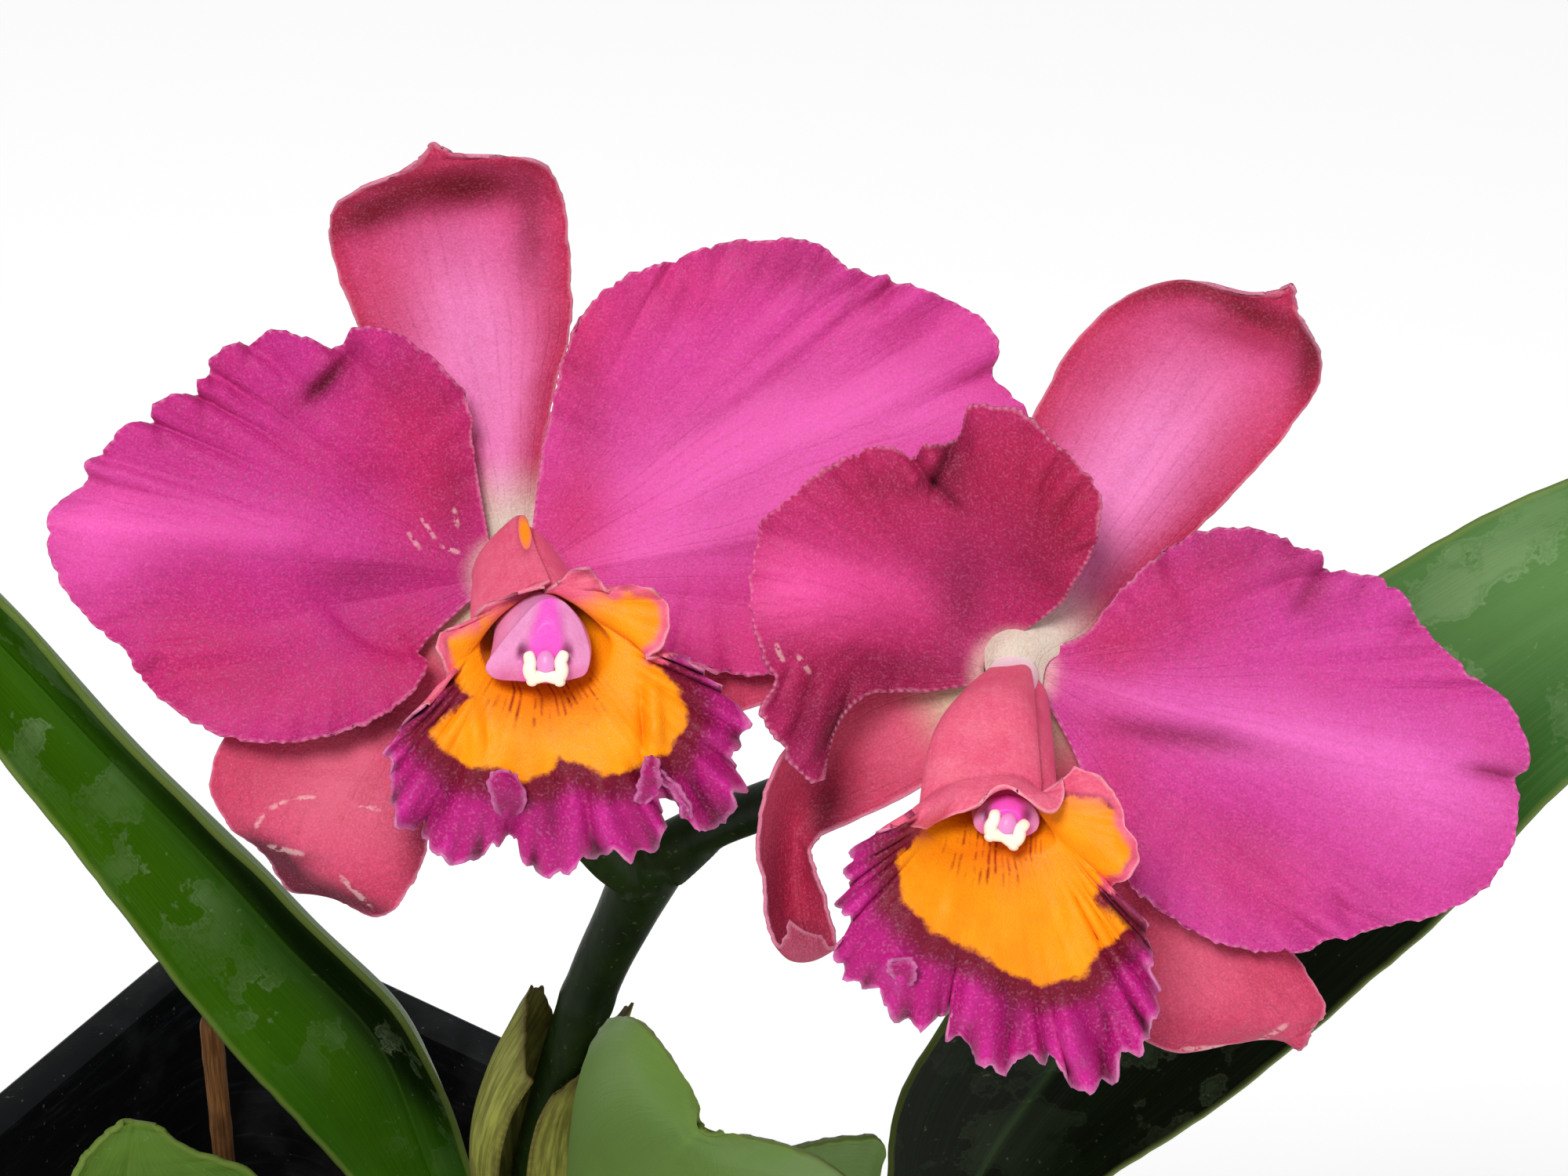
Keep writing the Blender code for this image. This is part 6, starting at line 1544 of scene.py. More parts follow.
# Folds and creases of each petal, sepal and lip in the bloom's own x and y:
# start x and y, end x and y, width, height
RIDGES: dict[str, Table] = {
    "bloom_1.petal_left": [
        (-12.8, 21.2, -17.0, 16.6, 0.55, -0.9), (-13.9, 21.2, -17.6, 18.2, 0.7, 0.55),
        (-8.0, 5.2, -38.0, 6.5, 2.2, 0.7), (-21.8, 21.9, -22.3, 18.6, 0.4, -0.5),
        (-25.0, 19.6, -24.6, 16.4, 0.45, -0.6), (-26.2, 17.6, -25.4, 14.8, 0.4, -0.5),
        (-30.0, 15.2, -28.8, 12.6, 0.4, -0.55), (-34.8, 12.2, -33.0, 10.6, 0.4, -0.4),
        (-31.0, -6.8, -29.0, -4.6, 0.4, -0.5), (-10.0, -2.0, -24.0, -8.0, 1.4, -0.35),
        (-29.8, -7.6, -27.8, -5.2, 0.4, 0.4), (-8.0, 9.0, -20.0, 14.0, 1.6, -0.3),
    ],
    "bloom_1.petal_right": [
        (10.0, 6.0, 24.0, 13.6, 2.4, 0.8), (24.0, 13.6, 43.0, 17.0, 2.6, 0.6),
        (14.2, 28.6, 13.0, 25.0, 0.5, -0.4), (27.3, 29.6, 25.4, 25.6, 0.45, -0.5),
        (30.9, 27.8, 28.8, 24.4, 0.45, -0.5), (33.1, 27.0, 31.0, 24.0, 0.4, -0.4),
        (10.0, 10.0, 30.0, 23.0, 1.2, -0.3), (12.0, 3.0, 34.0, 6.0, 1.4, -0.35),
        (16.0, 24.0, 17.6, 29.4, 0.6, 0.3), (21.0, 26.0, 22.6, 30.4, 0.5, -0.3),
    ],
    "bloom_2.petal_left": [
        (9.6, 14.0, 5.6, 11.6, 0.35, -0.5), (8.9, 17.4, 5.4, 13.6, 0.4, 0.5),
        (6.4, 20.0, 3.4, 15.2, 0.4, 0.5), (-8.2, 20.4, -3.0, 15.0, 0.6, -0.9),
        (-3.8, 22.6, -6.2, 17.0, 0.6, -1.1), (-5.0, 20.9, -8.4, 17.6, 0.5, 0.8),
        (2.6, 22.8, 0.8, 17.0, 0.45, -0.35), (5.0, 20.8, 2.4, 15.0, 0.4, -0.4),
        (7.2, 18.6, 3.6, 13.0, 0.4, -0.4), (8.2, 16.0, 4.0, 11.6, 0.4, -0.35),
        (-3.0, 4.5, -20.0, 9.6, 2.4, 0.9), (-16.0, 2.0, -18.6, -5.6, 0.6, -0.6),
        (-14.6, 1.6, -17.0, -6.4, 0.5, 0.5), (-18.0, 3.0, -19.8, -2.0, 0.5, -0.5),
        (-12.8, 1.2, -15.6, -6.4, 0.5, -0.6), (-4.0, 7.0, -12.0, 17.0, 1.2, -0.35),
        (-4.0, 2.4, -14.0, 3.4, 1.0, -0.5),
    ],
    "bloom_2.petal_right": [
        (6.0, -0.4, 18.0, -2.0, 1.3, 0.7), (18.0, -2.0, 43.0, -8.0, 1.6, 0.6),
        (7.0, -2.4, 22.0, -4.6, 1.3, -0.5), (27.4, 10.8, 24.6, 6.2, 0.5, -0.7),
        (26.6, 11.8, 24.0, 7.8, 0.5, 0.4), (35.4, 6.4, 33.0, 4.0, 0.4, -0.45),
        (31.0, 10.2, 29.4, 6.4, 0.4, -0.35), (43.6, -7.2, 40.0, -6.2, 0.5, -0.6),
        (29.6, -20.4, 28.0, -16.6, 0.4, -0.4), (34.4, -19.2, 31.6, -15.6, 0.4, -0.35),
        (12.0, 2.0, 24.0, 9.0, 1.6, -0.25), (12.0, -8.0, 28.0, -15.0, 1.8, -0.3),
    ],
    "bloom_1.dorsal_sepal": [
        (0.0, 6.0, -4.6, 33.0, 1.0, -0.35), (2.0, 12.0, 2.6, 32.0, 1.2, 0.2),
        (-13.0, 33.4, -4.0, 34.4, 1.1, 0.5), (-3.0, 14.0, -11.0, 31.0, 1.4, 0.2),
    ],
    "bloom_1.sepal_left": [
        (-4.0, -3.0, -16.0, -20.0, 1.4, 0.45), (-8.0, -16.0, -21.0, -15.0, 0.5, 0.25),
        (-9.0, -19.6, -14.0, -16.4, 0.35, 0.22), (-20.0, -21.6, -14.0, -22.4, 0.7, -0.5),
        (-18.0, -22.2, -16.6, -20.0, 0.5, 0.4), (-21.6, -16.0, -20.6, -18.6, 0.4, 0.25),
    ],
    "bloom_1.sepal_right": [(3.0, -1.0, 26.0, -5.0, 1.2, -0.3)],
    "bloom_2.dorsal_sepal": [
        (2.4, 5.0, 19.0, 30.0, 1.1, -0.4), (5.0, 8.0, 20.0, 27.0, 1.6, 0.25),
        (15.0, 33.4, 24.0, 30.0, 1.2, 0.5),
    ],
    "bloom_2.sepal_left": [(-3.0, -1.0, -17.5, -20.0, 0.9, -0.3)],
    "bloom_2.sepal_right": [
        (3.0, -2.0, 22.0, -27.0, 1.3, 0.4), (22.4, -25.0, 24.4, -27.4, 0.35, 0.3),
        (20.6, -25.8, 23.0, -26.0, 0.3, 0.25), (15.0, -29.6, 24.0, -28.8, 0.8, -0.4),
    ],
    "bloom_1.lip": [
        (-1.8, -7.4, -1.5, -12.6, 0.5, -1.1), (-2.7, -6.8, -2.4, -12.6, 0.6, 0.9),
        (11.4, -6.4, 11.7, -13.0, 0.5, -1.2), (12.3, -6.4, 12.8, -12.6, 0.6, 1.0),
        (-0.6, -14.6, 0.4, -18.2, 0.75, 2.2), (12.6, -13.6, 12.9, -17.0, 0.6, 2.4),
        (3.6, -12.0, 4.0, -21.0, 1.0, -0.6), (-3.0, -12.0, -6.0, -19.6, 0.9, -0.7),
        (8.0, -15.0, 8.6, -21.4, 0.8, 0.8), (-7.6, -12.4, -5.0, -11.0, 0.8, 0.6),
        (16.0, -12.0, 19.2, -11.0, 0.8, 0.7), (15.6, -14.6, 17.6, -18.4, 0.7, -0.6),
        (5.8, -16.0, 5.8, -22.0, 0.7, 0.6),
    ],
    "bloom_2.lip": [
        (-4.0, -13.6, -4.6, -19.0, 0.6, 0.5), (3.6, -13.4, 5.0, -20.0, 0.6, 0.6),
        (5.2, -27.4, 6.0, -32.0, 0.8, 2.4), (-10.0, -22.6, -8.4, -24.6, 0.8, 1.4),
        (-2.4, -24.0, -3.0, -28.4, 0.8, 1.0), (11.2, -20.2, 10.8, -22.4, 0.6, 1.0),
        (0.6, -22.6, 0.6, -30.4, 0.9, -0.6), (8.6, -26.0, 9.0, -31.6, 0.8, -0.6),
        (-8.0, -14.6, -5.2, -14.0, 1.0, 0.9), (-11.0, -18.0, -13.4, -19.0, 0.8, 0.6),
        (4.4, -13.0, 5.8, -16.8, 0.5, 0.9),
    ],
}

# Pale dry cracks: start x and y, end x and y
SCARS = {
    "bloom_1.sepal_left": [
        (-21.3, -19.6, -20.4, -17.9), (-20.4, -17.9, -18.2, -17.0), (-18.2, -17.0, -15.8, -16.8),
        (-13.0, -17.5, -10.0, -17.9), (-10.0, -17.9, -9.2, -19.0), (-14.7, -22.7, -10.8, -26.4),
        (-20.8, -20.6, -16.4, -21.6),
    ],
    "bloom_1.petal_left": [
        (-7.4, 7.6, -5.8, 4.6), (-5.8, 4.6, -3.6, 3.8), (-4.4, 8.2, -4.0, 5.8),
        (-8.6, 6.0, -7.0, 3.8),
    ],
    "bloom_2.sepal_right": [(14.0, -30.2, 21.0, -29.8), (21.0, -29.8, 24.6, -27.6)],
    "bloom_2.petal_left": [(-17.8, 3.4, -16.4, 1.4), (-19.6, 4.6, -18.6, 2.0)],
}

# Soft ovals of painted highlight and lighter own tone ("light"), redder tone ("warm") and painted shade
# ("dark") on each petal and sepal:
# middle x and y, half width, half height, weight, turn in degrees
TONES: dict[str, dict[str, Table]] = {
    "bloom_1.petal_left": {
        "light": [(-35.5, 6.0, 6, 6, 0.75), (-25, 6.2, 12, 2.4, 0.5, -3), (-22, -9, 9, 3, 0.3)],
        "warm": [(-7, 15, 8, 6, 0.75, -50), (-18, -8, 15, 5, 0.6), (-8, -3, 4, 5, 0.5),
                 (-6, 8, 4, 4, 0.4), (-28, -4, 6, 5, 0.35)],
        "dark": [(-15.6, 18.6, 3, 1.3, 0.75, 45), (-12, 2.4, 5, 1.6, 0.35, 8), (-4.2, 9, 2, 5, 0.35),
                 (-7, 19, 4, 3, 0.25)],
    },
    "bloom_1.petal_right": {
        "light": [(20, 11, 17, 7, 0.75, 22), (12, 4, 6, 3, 0.4, 20), (34, 15, 9, 5, 0.4)],
        "warm": [(12, 26, 14, 4, 0.5, 20), (33, 1, 11, 6, 0.6, 30), (6, 7, 3.4, 5, 0.65),
                 (6, 20, 3, 8, 0.5), (20, -4, 8, 3, 0.5)],
        "dark": [(26, 28, 9, 2.4, 0.28, -15), (7, 18, 2, 7, 0.2)],
    },
    "bloom_2.petal_left": {
        "light": [(-18, 8.4, 5, 4.4, 0.75), (-12, 9, 7, 3.4, 0.5), (-2, 3.4, 3, 1.6, 0.4)],
        "warm": [(0, 19, 8, 6, 0.8), (6, 14, 4, 6, 0.7), (-12, 18, 6, 4, 0.35), (-16, 2, 5, 5, 0.5)],
        "dark": [(-14, -4, 5, 4.5, 0.85, -60), (-3.5, 8.5, 2.6, 6, 0.5), (-9, 1.8, 6, 2.4, 0.5),
                 (-4.4, 20, 2, 3, 0.6), (3, 12, 4, 6, 0.3), (-9, 18, 4, 1.6, 0.35)],
    },
    "bloom_2.petal_right": {
        "light": [(26, -4, 14, 3, 0.75, -14), (10, 0, 6, 1.6, 0.5, -8), (36, -9, 8, 5, 0.4)],
        "warm": [(15, 9, 9, 5, 0.7, 30), (20, -15, 12, 5, 0.55, -20), (9, -8, 3, 7, 0.5),
                 (9, 4, 4, 3, 0.5)],
        "dark": [(15, -3.6, 8, 1.1, 0.5, -9), (20, 12, 8, 2.4, 0.3), (41, -6.6, 3, 1, 0.4),
                 (25.8, 9, 2, 3, 0.35)],
    },
    "bloom_1.dorsal_sepal": {
        "light": [(-2.6, 20, 6, 12, 0.95, 12), (0, 8, 2, 5, 0.5)],
        "warm": [(-11, 27, 4, 7, 0.5, 12), (4.6, 22, 2.6, 10, 0.55), (-6, 36, 8, 3, 0.8)],
        "dark": [(-11.4, 33.2, 5, 1.7, 1.0, 22), (-3.4, 35.4, 5, 1.7, 1.0, 6), (-16.6, 30, 1.4, 5, 0.6),
                 (2.2, 31.4, 1.4, 5, 0.6)],
    },
    "bloom_1.sepal_left": {
        "light": [(-14, -14, 6, 4, 0.35, 40), (-12, -18, 5, 3, 0.3)],
        "warm": [(-22, -13, 4, 6, 0.5), (-8, -6, 6, 3, 0.6, 35), (-12, -25, 6, 2, 0.6)],
        "dark": [(-6.6, -19.5, 2.4, 5, 0.85), (-20, -21.6, 4, 1.4, 0.7, -20),
                 (-12, -9.8, 8, 1.8, 0.6, -8), (-6, -12, 2, 5, 0.5), (-19.3, -22.4, 3.2, 1.2, 1, -42),
                 (-15.5, -24.8, 3.2, 1.0, 1, -12), (-11.4, -26.2, 2.4, 0.8, 0.8, -25)],
    },
    "bloom_1.sepal_right": {
        "light": [],
        "warm": [(14, -4, 14, 6, 0.8)],
        "dark": [(16, -3, 16, 3, 0.6)],
    },
    "bloom_2.dorsal_sepal": {
        "light": [(11, 19, 6, 12, 1.0, -36), (4, 9, 3, 5, 0.6, -30)],
        "warm": [(6, 28, 4, 8, 0.5, -40), (20, 20, 3, 10, 0.55, -40), (23, 32, 6, 3, 0.8)],
        "dark": [(21, 32.6, 5, 1.3, 0.9, -22), (26.2, 28.6, 1.5, 4, 0.8, -10),
                 (14, 34.4, 5, 1.0, 0.6, 8)],
    },
    "bloom_2.sepal_left": {
        "light": [(-9, -4, 4, 4, 0.3)],
        "warm": [(-18, -13, 3, 7, 0.9), (-13, -8, 5, 3, 0.6), (-17, -19, 4, 4, 0.7)],
        "dark": [(-15.2, -11, 1.6, 5, 0.8), (-17, -21, 3, 1.6, 0.7), (-20, -16, 1.4, 5, 0.5)],
    },
    "bloom_2.sepal_right": {
        "light": [(16, -22, 6, 4, 0.35, -45)],
        "warm": [(22, -24, 4, 4, 0.4), (12, -18, 4, 6, 0.5), (18, -29, 6, 2, 0.5)],
        "dark": [(11, -13.4, 8, 2.2, 0.7, -30), (18.8, -15.6, 4, 2, 0.5), (8, -14, 2, 5, 0.5)],
    },
}

# Curled flaps of each frill: left and right edge of every station, as x, y and lift off the lip
FLAPS = {
    "bloom_1.lip": [
        [((-0.2, -18.7, 0.2), (0.9, -18.5, 0.3)), ((-1.0, -17.7, 1.2), (1.8, -17.3, 1.3)),
         ((-1.35, -16.4, 1.9), (1.5, -16.1, 1.9)), ((-1.5, -15.3, 2.2), (0.9, -15.0, 2.1)),
         ((-1.1, -14.6, 2.2), (0.2, -14.5, 2.1))],
        [((11.9, -13.3, 1.4), (13.0, -13.5, 1.3)), ((11.6, -14.4, 2.1), (13.2, -14.9, 1.9)),
         ((11.2, -15.8, 1.9), (13.2, -16.0, 1.6)), ((11.0, -17.2, 1.2), (12.0, -17.4, 0.6))],
        [((12.6, -14.2, 1.3), (13.3, -14.6, 1.2)), ((13.0, -15.3, 1.7), (13.9, -15.2, 1.4)),
         ((13.9, -16.2, 1.8), (14.9, -16.0, 1.5)), ((14.7, -17.2, 1.5), (15.6, -17.3, 1.1)),
         ((15.0, -18.6, 0.5), (15.9, -18.6, 0.4))],
    ],
    "bloom_2.lip": [
        [((-8.9, -25.1, 0.2), (-7.8, -24.9, 0.3)), ((-9.5, -24.1, 0.9), (-7.4, -24.0, 1.2)),
         ((-10.0, -23.2, 1.4), (-7.4, -23.1, 1.6)), ((-9.5, -22.6, 1.5), (-7.8, -22.5, 1.5))],
    ],
}

# Ovals round each lip's side lobes, and what of them is folded back to show the salmon outside
SIDE_LOBES = {
    "bloom_1.lip": [(-4.9, -3.4, 3.6, 3.8, 1.0), (11.2, -1.6, 5.6, 5.0, 1.0)],
    "bloom_2.lip": [(9.0, -11.4, 4.6, 6.6, 1.0), (-1.0, -9.0, 8.0, 2.6, 1.0)],
}
PEEKS = {"bloom_1.lip": (1.7, 5.5, 0.4, 1.4, 1.3, 8), "bloom_2.lip": (4.3, 0.1, 0.5, 1.7, 1.3, 14)}
FOLDED_BACK = {
    "bloom_1.lip": [(5.8, 1.2, 2.7, 1.5, 1.4), (-1.6, -0.4, 2.0, 1.2, 1.0)],
    "bloom_2.lip": [(8.6, -7.0, 3.4, 1.9, 1.4), (-7.4, -11.2, 1.4, 1.0, 0.6)],
}

# Inside of each lip that is orange, in the bloom's own x and y
GOLD_OUTLINES = {
    "bloom_1.lip": [
        (-5.0, -3.2), (-2.4, -1.6), (-0.5, -0.4), (7.6, 0.9), (12.8, 0.6), (13.8, -2.0),
        (12.4, -4.8), (12.8, -6.0), (14.6, -7.6), (15.4, -10.4), (13.8, -13.0), (10.4, -14.4),
        (8.4, -14.9), (6.4, -13.8), (4.6, -13.5), (3.7, -14.7), (1.3, -15.4), (-0.6, -14.3), (-2.8, -14.4),
        (-5.2, -12.8), (-6.4, -11.4), (-5.0, -9.8), (-2.6, -8.4), (-3.9, -7.6), (-5.1, -5.0),
    ],
    "bloom_2.lip": [
        (-3.7, -11.8), (-6.3, -10.3), (-8.0, -13.0), (-9.0, -13.7), (-8.7, -17.7), (-6.0, -20.3),
        (-2.0, -22.0), (0.7, -23.7), (3.3, -24.7), (6.7, -24.0), (8.0, -22.0), (10.7, -20.0),
        (8.0, -17.8), (7.7, -16.3), (10.0, -15.7), (11.2, -13.0), (10.3, -10.3), (8.0, -9.0),
        (5.7, -8.7), (2.0, -9.0), (-2.0, -9.6),
    ],
}


@dataclass
class BloomPiece:
    """A piece of one bloom, laid out in the bloom's own x, y and nearness."""

    name: str

    @property
    def bloom(self) -> str:
        """Name of the bloom it belongs to."""
        return self.name.split(".")[0]

    @property
    def mesh_name(self) -> str:
        """Name of its mesh."""
        return self.name.replace(".", "_")

    def over_pot(self, points: Rows) -> Rows:
        """Turn the bloom's own points into millimetres over the pot."""
        return SIGHT.over_pot(points + np.array(BLOOM_MIDDLE[self.bloom]))

    def from_hub(self, x: Rows, y: Rows) -> Rows:
        """Return each point's distance from the middle that the petals grow from."""
        hub = HUB[self.bloom]
        return np.hypot(x - hub[0], y - hub[1])

    def folds(self, x: Rows, y: Rows) -> list[Rows]:
        """Return the relief of each of the piece's folds."""
        return [Ridge(*line).relief(x, y) for line in RIDGES[self.name]]

    def tones(self, x: Rows, y: Rows, pale: Rows, sunk: Rows) -> dict[str, Rows]:
        """Return the masks of a petal or sepal.

        Args:
            x: Points' x in the bloom.
            y: Points' y in the bloom.
            pale: Share of the pale base at each point.
            sunk: Painted shade that its folds add at each point, where they sink.

        Returns:
            One array for each mask.
        """
        masks = {**lanes(*x.shape), "pale": pale, "scar": np.zeros_like(x)}
        for name, ovals in TONES[self.name].items():
            masks[name] = tone(ovals, x, y)
        # The sunk folds' painted shade joins that of the dark ovals
        masks["dark"] = np.clip(masks["dark"] + sunk, 0, 1)
        for line in SCARS.get(self.name, ()):
            masks["scar"] = np.maximum(masks["scar"], Ridge(*line, width=0.36, height=1.0).relief(x, y))
        return masks


@dataclass
class Petal(BloomPiece):
    """One broad frilled petal."""

    claw: tuple[float, float]
    sides: tuple[int, int]
    edge: Table
    bends: Table
    finish: VelvetFinish
    seed: int
    across: int = 208
    along: int = 62
    thickness: float = 0.62
    rim_thickness: float = 0.3
    claw_radius: float = 2.5
    claw_level: float = 0.3
    frill: float = 0.5
    teeth: float = 0.2
    pale_share: float = 0.75
    pale_reach: tuple[float, float] = (2.4, 4.6)
    fold_shade: float = 0.28

    def flat_grid(self) -> Rows:
        """Lay the petal out between its claw, its sides and its end."""
        first, last = self.sides
        outline = np.array(self.edge)
        turn = np.radians(np.linspace(*self.claw, self.across))
        hub = HUB[self.bloom]
        claw = np.stack([hub[0] + self.claw_radius * np.cos(turn),
                         hub[1] + self.claw_radius * np.sin(turn),
                         np.full(self.across, self.claw_level)], axis=-1)
        free = outline[first - 1:len(outline) - last + 1]
        end = smooth(free, even_places(free, self.across))
        calm = spread(end, self.across // 9)
        upper = np.vstack([claw[:1], outline[:first]])
        lower = np.vstack([claw[-1:], outline[:-last - 1:-1]])
        v = (1 - (1 - np.linspace(0, 1, self.along)) ** 1.3)[:, None]
        rise = np.concatenate([v, v, 0.6 * v + 0.4 * v ** 2], axis=1)
        grid = (1 - rise[:, None]) * claw + rise[:, None] * calm
        grid += v[:, :, None] ** 6 * (end - calm)
        u = np.linspace(0, 1, self.across)
        for side, column, share in ((upper, 0, 1 - u), (lower, -1, u)):
            places = np.interp(v[:, 0], np.linspace(0, 1, self.along), even_places(side, self.along))
            bow = smooth(side, places) - grid[:, column]
            grid += share[None, :, None] * bow[:, None]
        bends = np.array(self.bends)
        grid[..., 2] += 2 * v * (1 - v) * np.interp(u, bends[:, 0], bends[:, 1])
        return grid

    def worked_grid(self, grid: Rows, rim: Rows) -> Rows:
        """Add teeth, frill, pleats, folds and gentle relief to the laid out petal."""
        x, y = grid[..., 0].copy(), grid[..., 1].copy()
        middle_x, middle_y = x.mean(), y.mean()
        away = np.hypot(x - middle_x, y - middle_y)
        turn = np.unwrap(np.arctan2(y - middle_y, x - middle_x), axis=1)
        run = turn * 20.0
        start = soften(self.from_hub(x, y), 5.0, 16.0)
        tooth = waves(run, (0.9, 1.6, 3.3), (0.5, 0.7, 0.8), self.seed) * self.teeth
        tooth = tooth * np.exp(-rim / 0.7) * start
        grid[..., 0] += tooth * (x - middle_x) / np.maximum(away, 1)
        grid[..., 1] += tooth * (y - middle_y) / np.maximum(away, 1)
        frill = waves(run, (3.0, 5.2, 8.5), (0.5, 0.8, 0.7), self.seed + 1) * self.frill
        pleat = waves(run, (1.3, 2.1), (0.5, 0.6), self.seed + 2) * self.frill * 0.3
        grid[..., 2] += (frill * np.exp(-rim / 2.6) + pleat * np.exp(-rim / 1.0)) * start
        for fold in self.folds(x, y):
            grid[..., 2] += fold * start
        grid[..., 2] += 0.2 * hills(x, y, 9.0, self.seed + 3) * start
        return grid

    def build(self) -> None:
        """Build and dress the petal."""
        grid = self.flat_grid()
        rim = rim_distance(grid, np.concatenate([grid[::2, 0], grid[-1, ::2], grid[::2, -1]]))
        x, y, level = (grid[..., k].copy() for k in range(3))
        grid = self.worked_grid(grid, rim)
        pale = self.pale_share * (1 - soften(self.from_hub(x, y), *self.pale_reach))
        # Folds that sink below the laid out petal get painted shade
        masks = self.tones(x, y, pale, self.fold_shade * (level - grid[..., 2]))
        blade = Blade(self.mesh_name, self.over_pot(grid), self.thickness, self.rim_thickness, rim,
                      masks=masks)
        place_piece(blade.build(self.finish.material()), self.name, Slot.PETAL)


@dataclass
class Sepal(BloomPiece):
    """One narrow outer segment of a bloom."""

    stations: Sequence
    finish: VelvetFinish
    seed: int
    across: int = 56
    along: int = 92
    thickness: float = 0.62
    rim_thickness: float = 0.34
    crowd: float = 1.35
    teeth: float = 0.09
    frill: float = 0.2
    pale_share: float = 0.9
    pale_reach: tuple[float, float] = (3.6, 11.0)
    fold_shade: float = 0.22

    def build(self) -> None:
        """Build and dress the sepal."""
        grid = rail_grid(self.stations, self.across, self.along, self.crowd)
        x, y = grid[..., 0].copy(), grid[..., 1].copy()
        rim = rim_distance(grid, edges_of(grid))
        start = soften(np.linspace(0, 1, self.along), 0.08, 0.3)[:, None]
        run = np.linspace(0, 40, self.along)[:, None] * np.ones_like(x)
        side = np.sign(np.linspace(-1, 1, self.across))[None, :]
        tooth = self.teeth * waves(run + 70 * side, (0.9, 2.1, 4.2), (0.4, 0.7, 1.0), self.seed)
        grid[..., 0] += tooth * side * np.exp(-rim / 0.8) * start
        frill = self.frill * waves(run + 90 * side, (4.0, 7.5), (0.8, 1.0), self.seed + 1)
        grid[..., 2] += frill * np.exp(-rim / 2.5) * start
        level = grid[..., 2].copy()
        for fold in self.folds(x, y):
            grid[..., 2] += fold * start
        grid[..., 2] += 0.14 * hills(x, y, 8.0, self.seed + 2) * start
        pale = self.pale_share * (1 - soften(self.from_hub(x, y), *self.pale_reach))
        # Folds that sink below the laid out sepal get painted shade
        masks = self.tones(x, y, pale, self.fold_shade * (level - grid[..., 2]))
        blade = Blade(self.mesh_name, self.over_pot(grid), self.thickness, self.rim_thickness, rim,
                      masks=masks, even_steps=4)
        place_piece(blade.build(self.finish.material()), self.name, Slot.SEPAL)


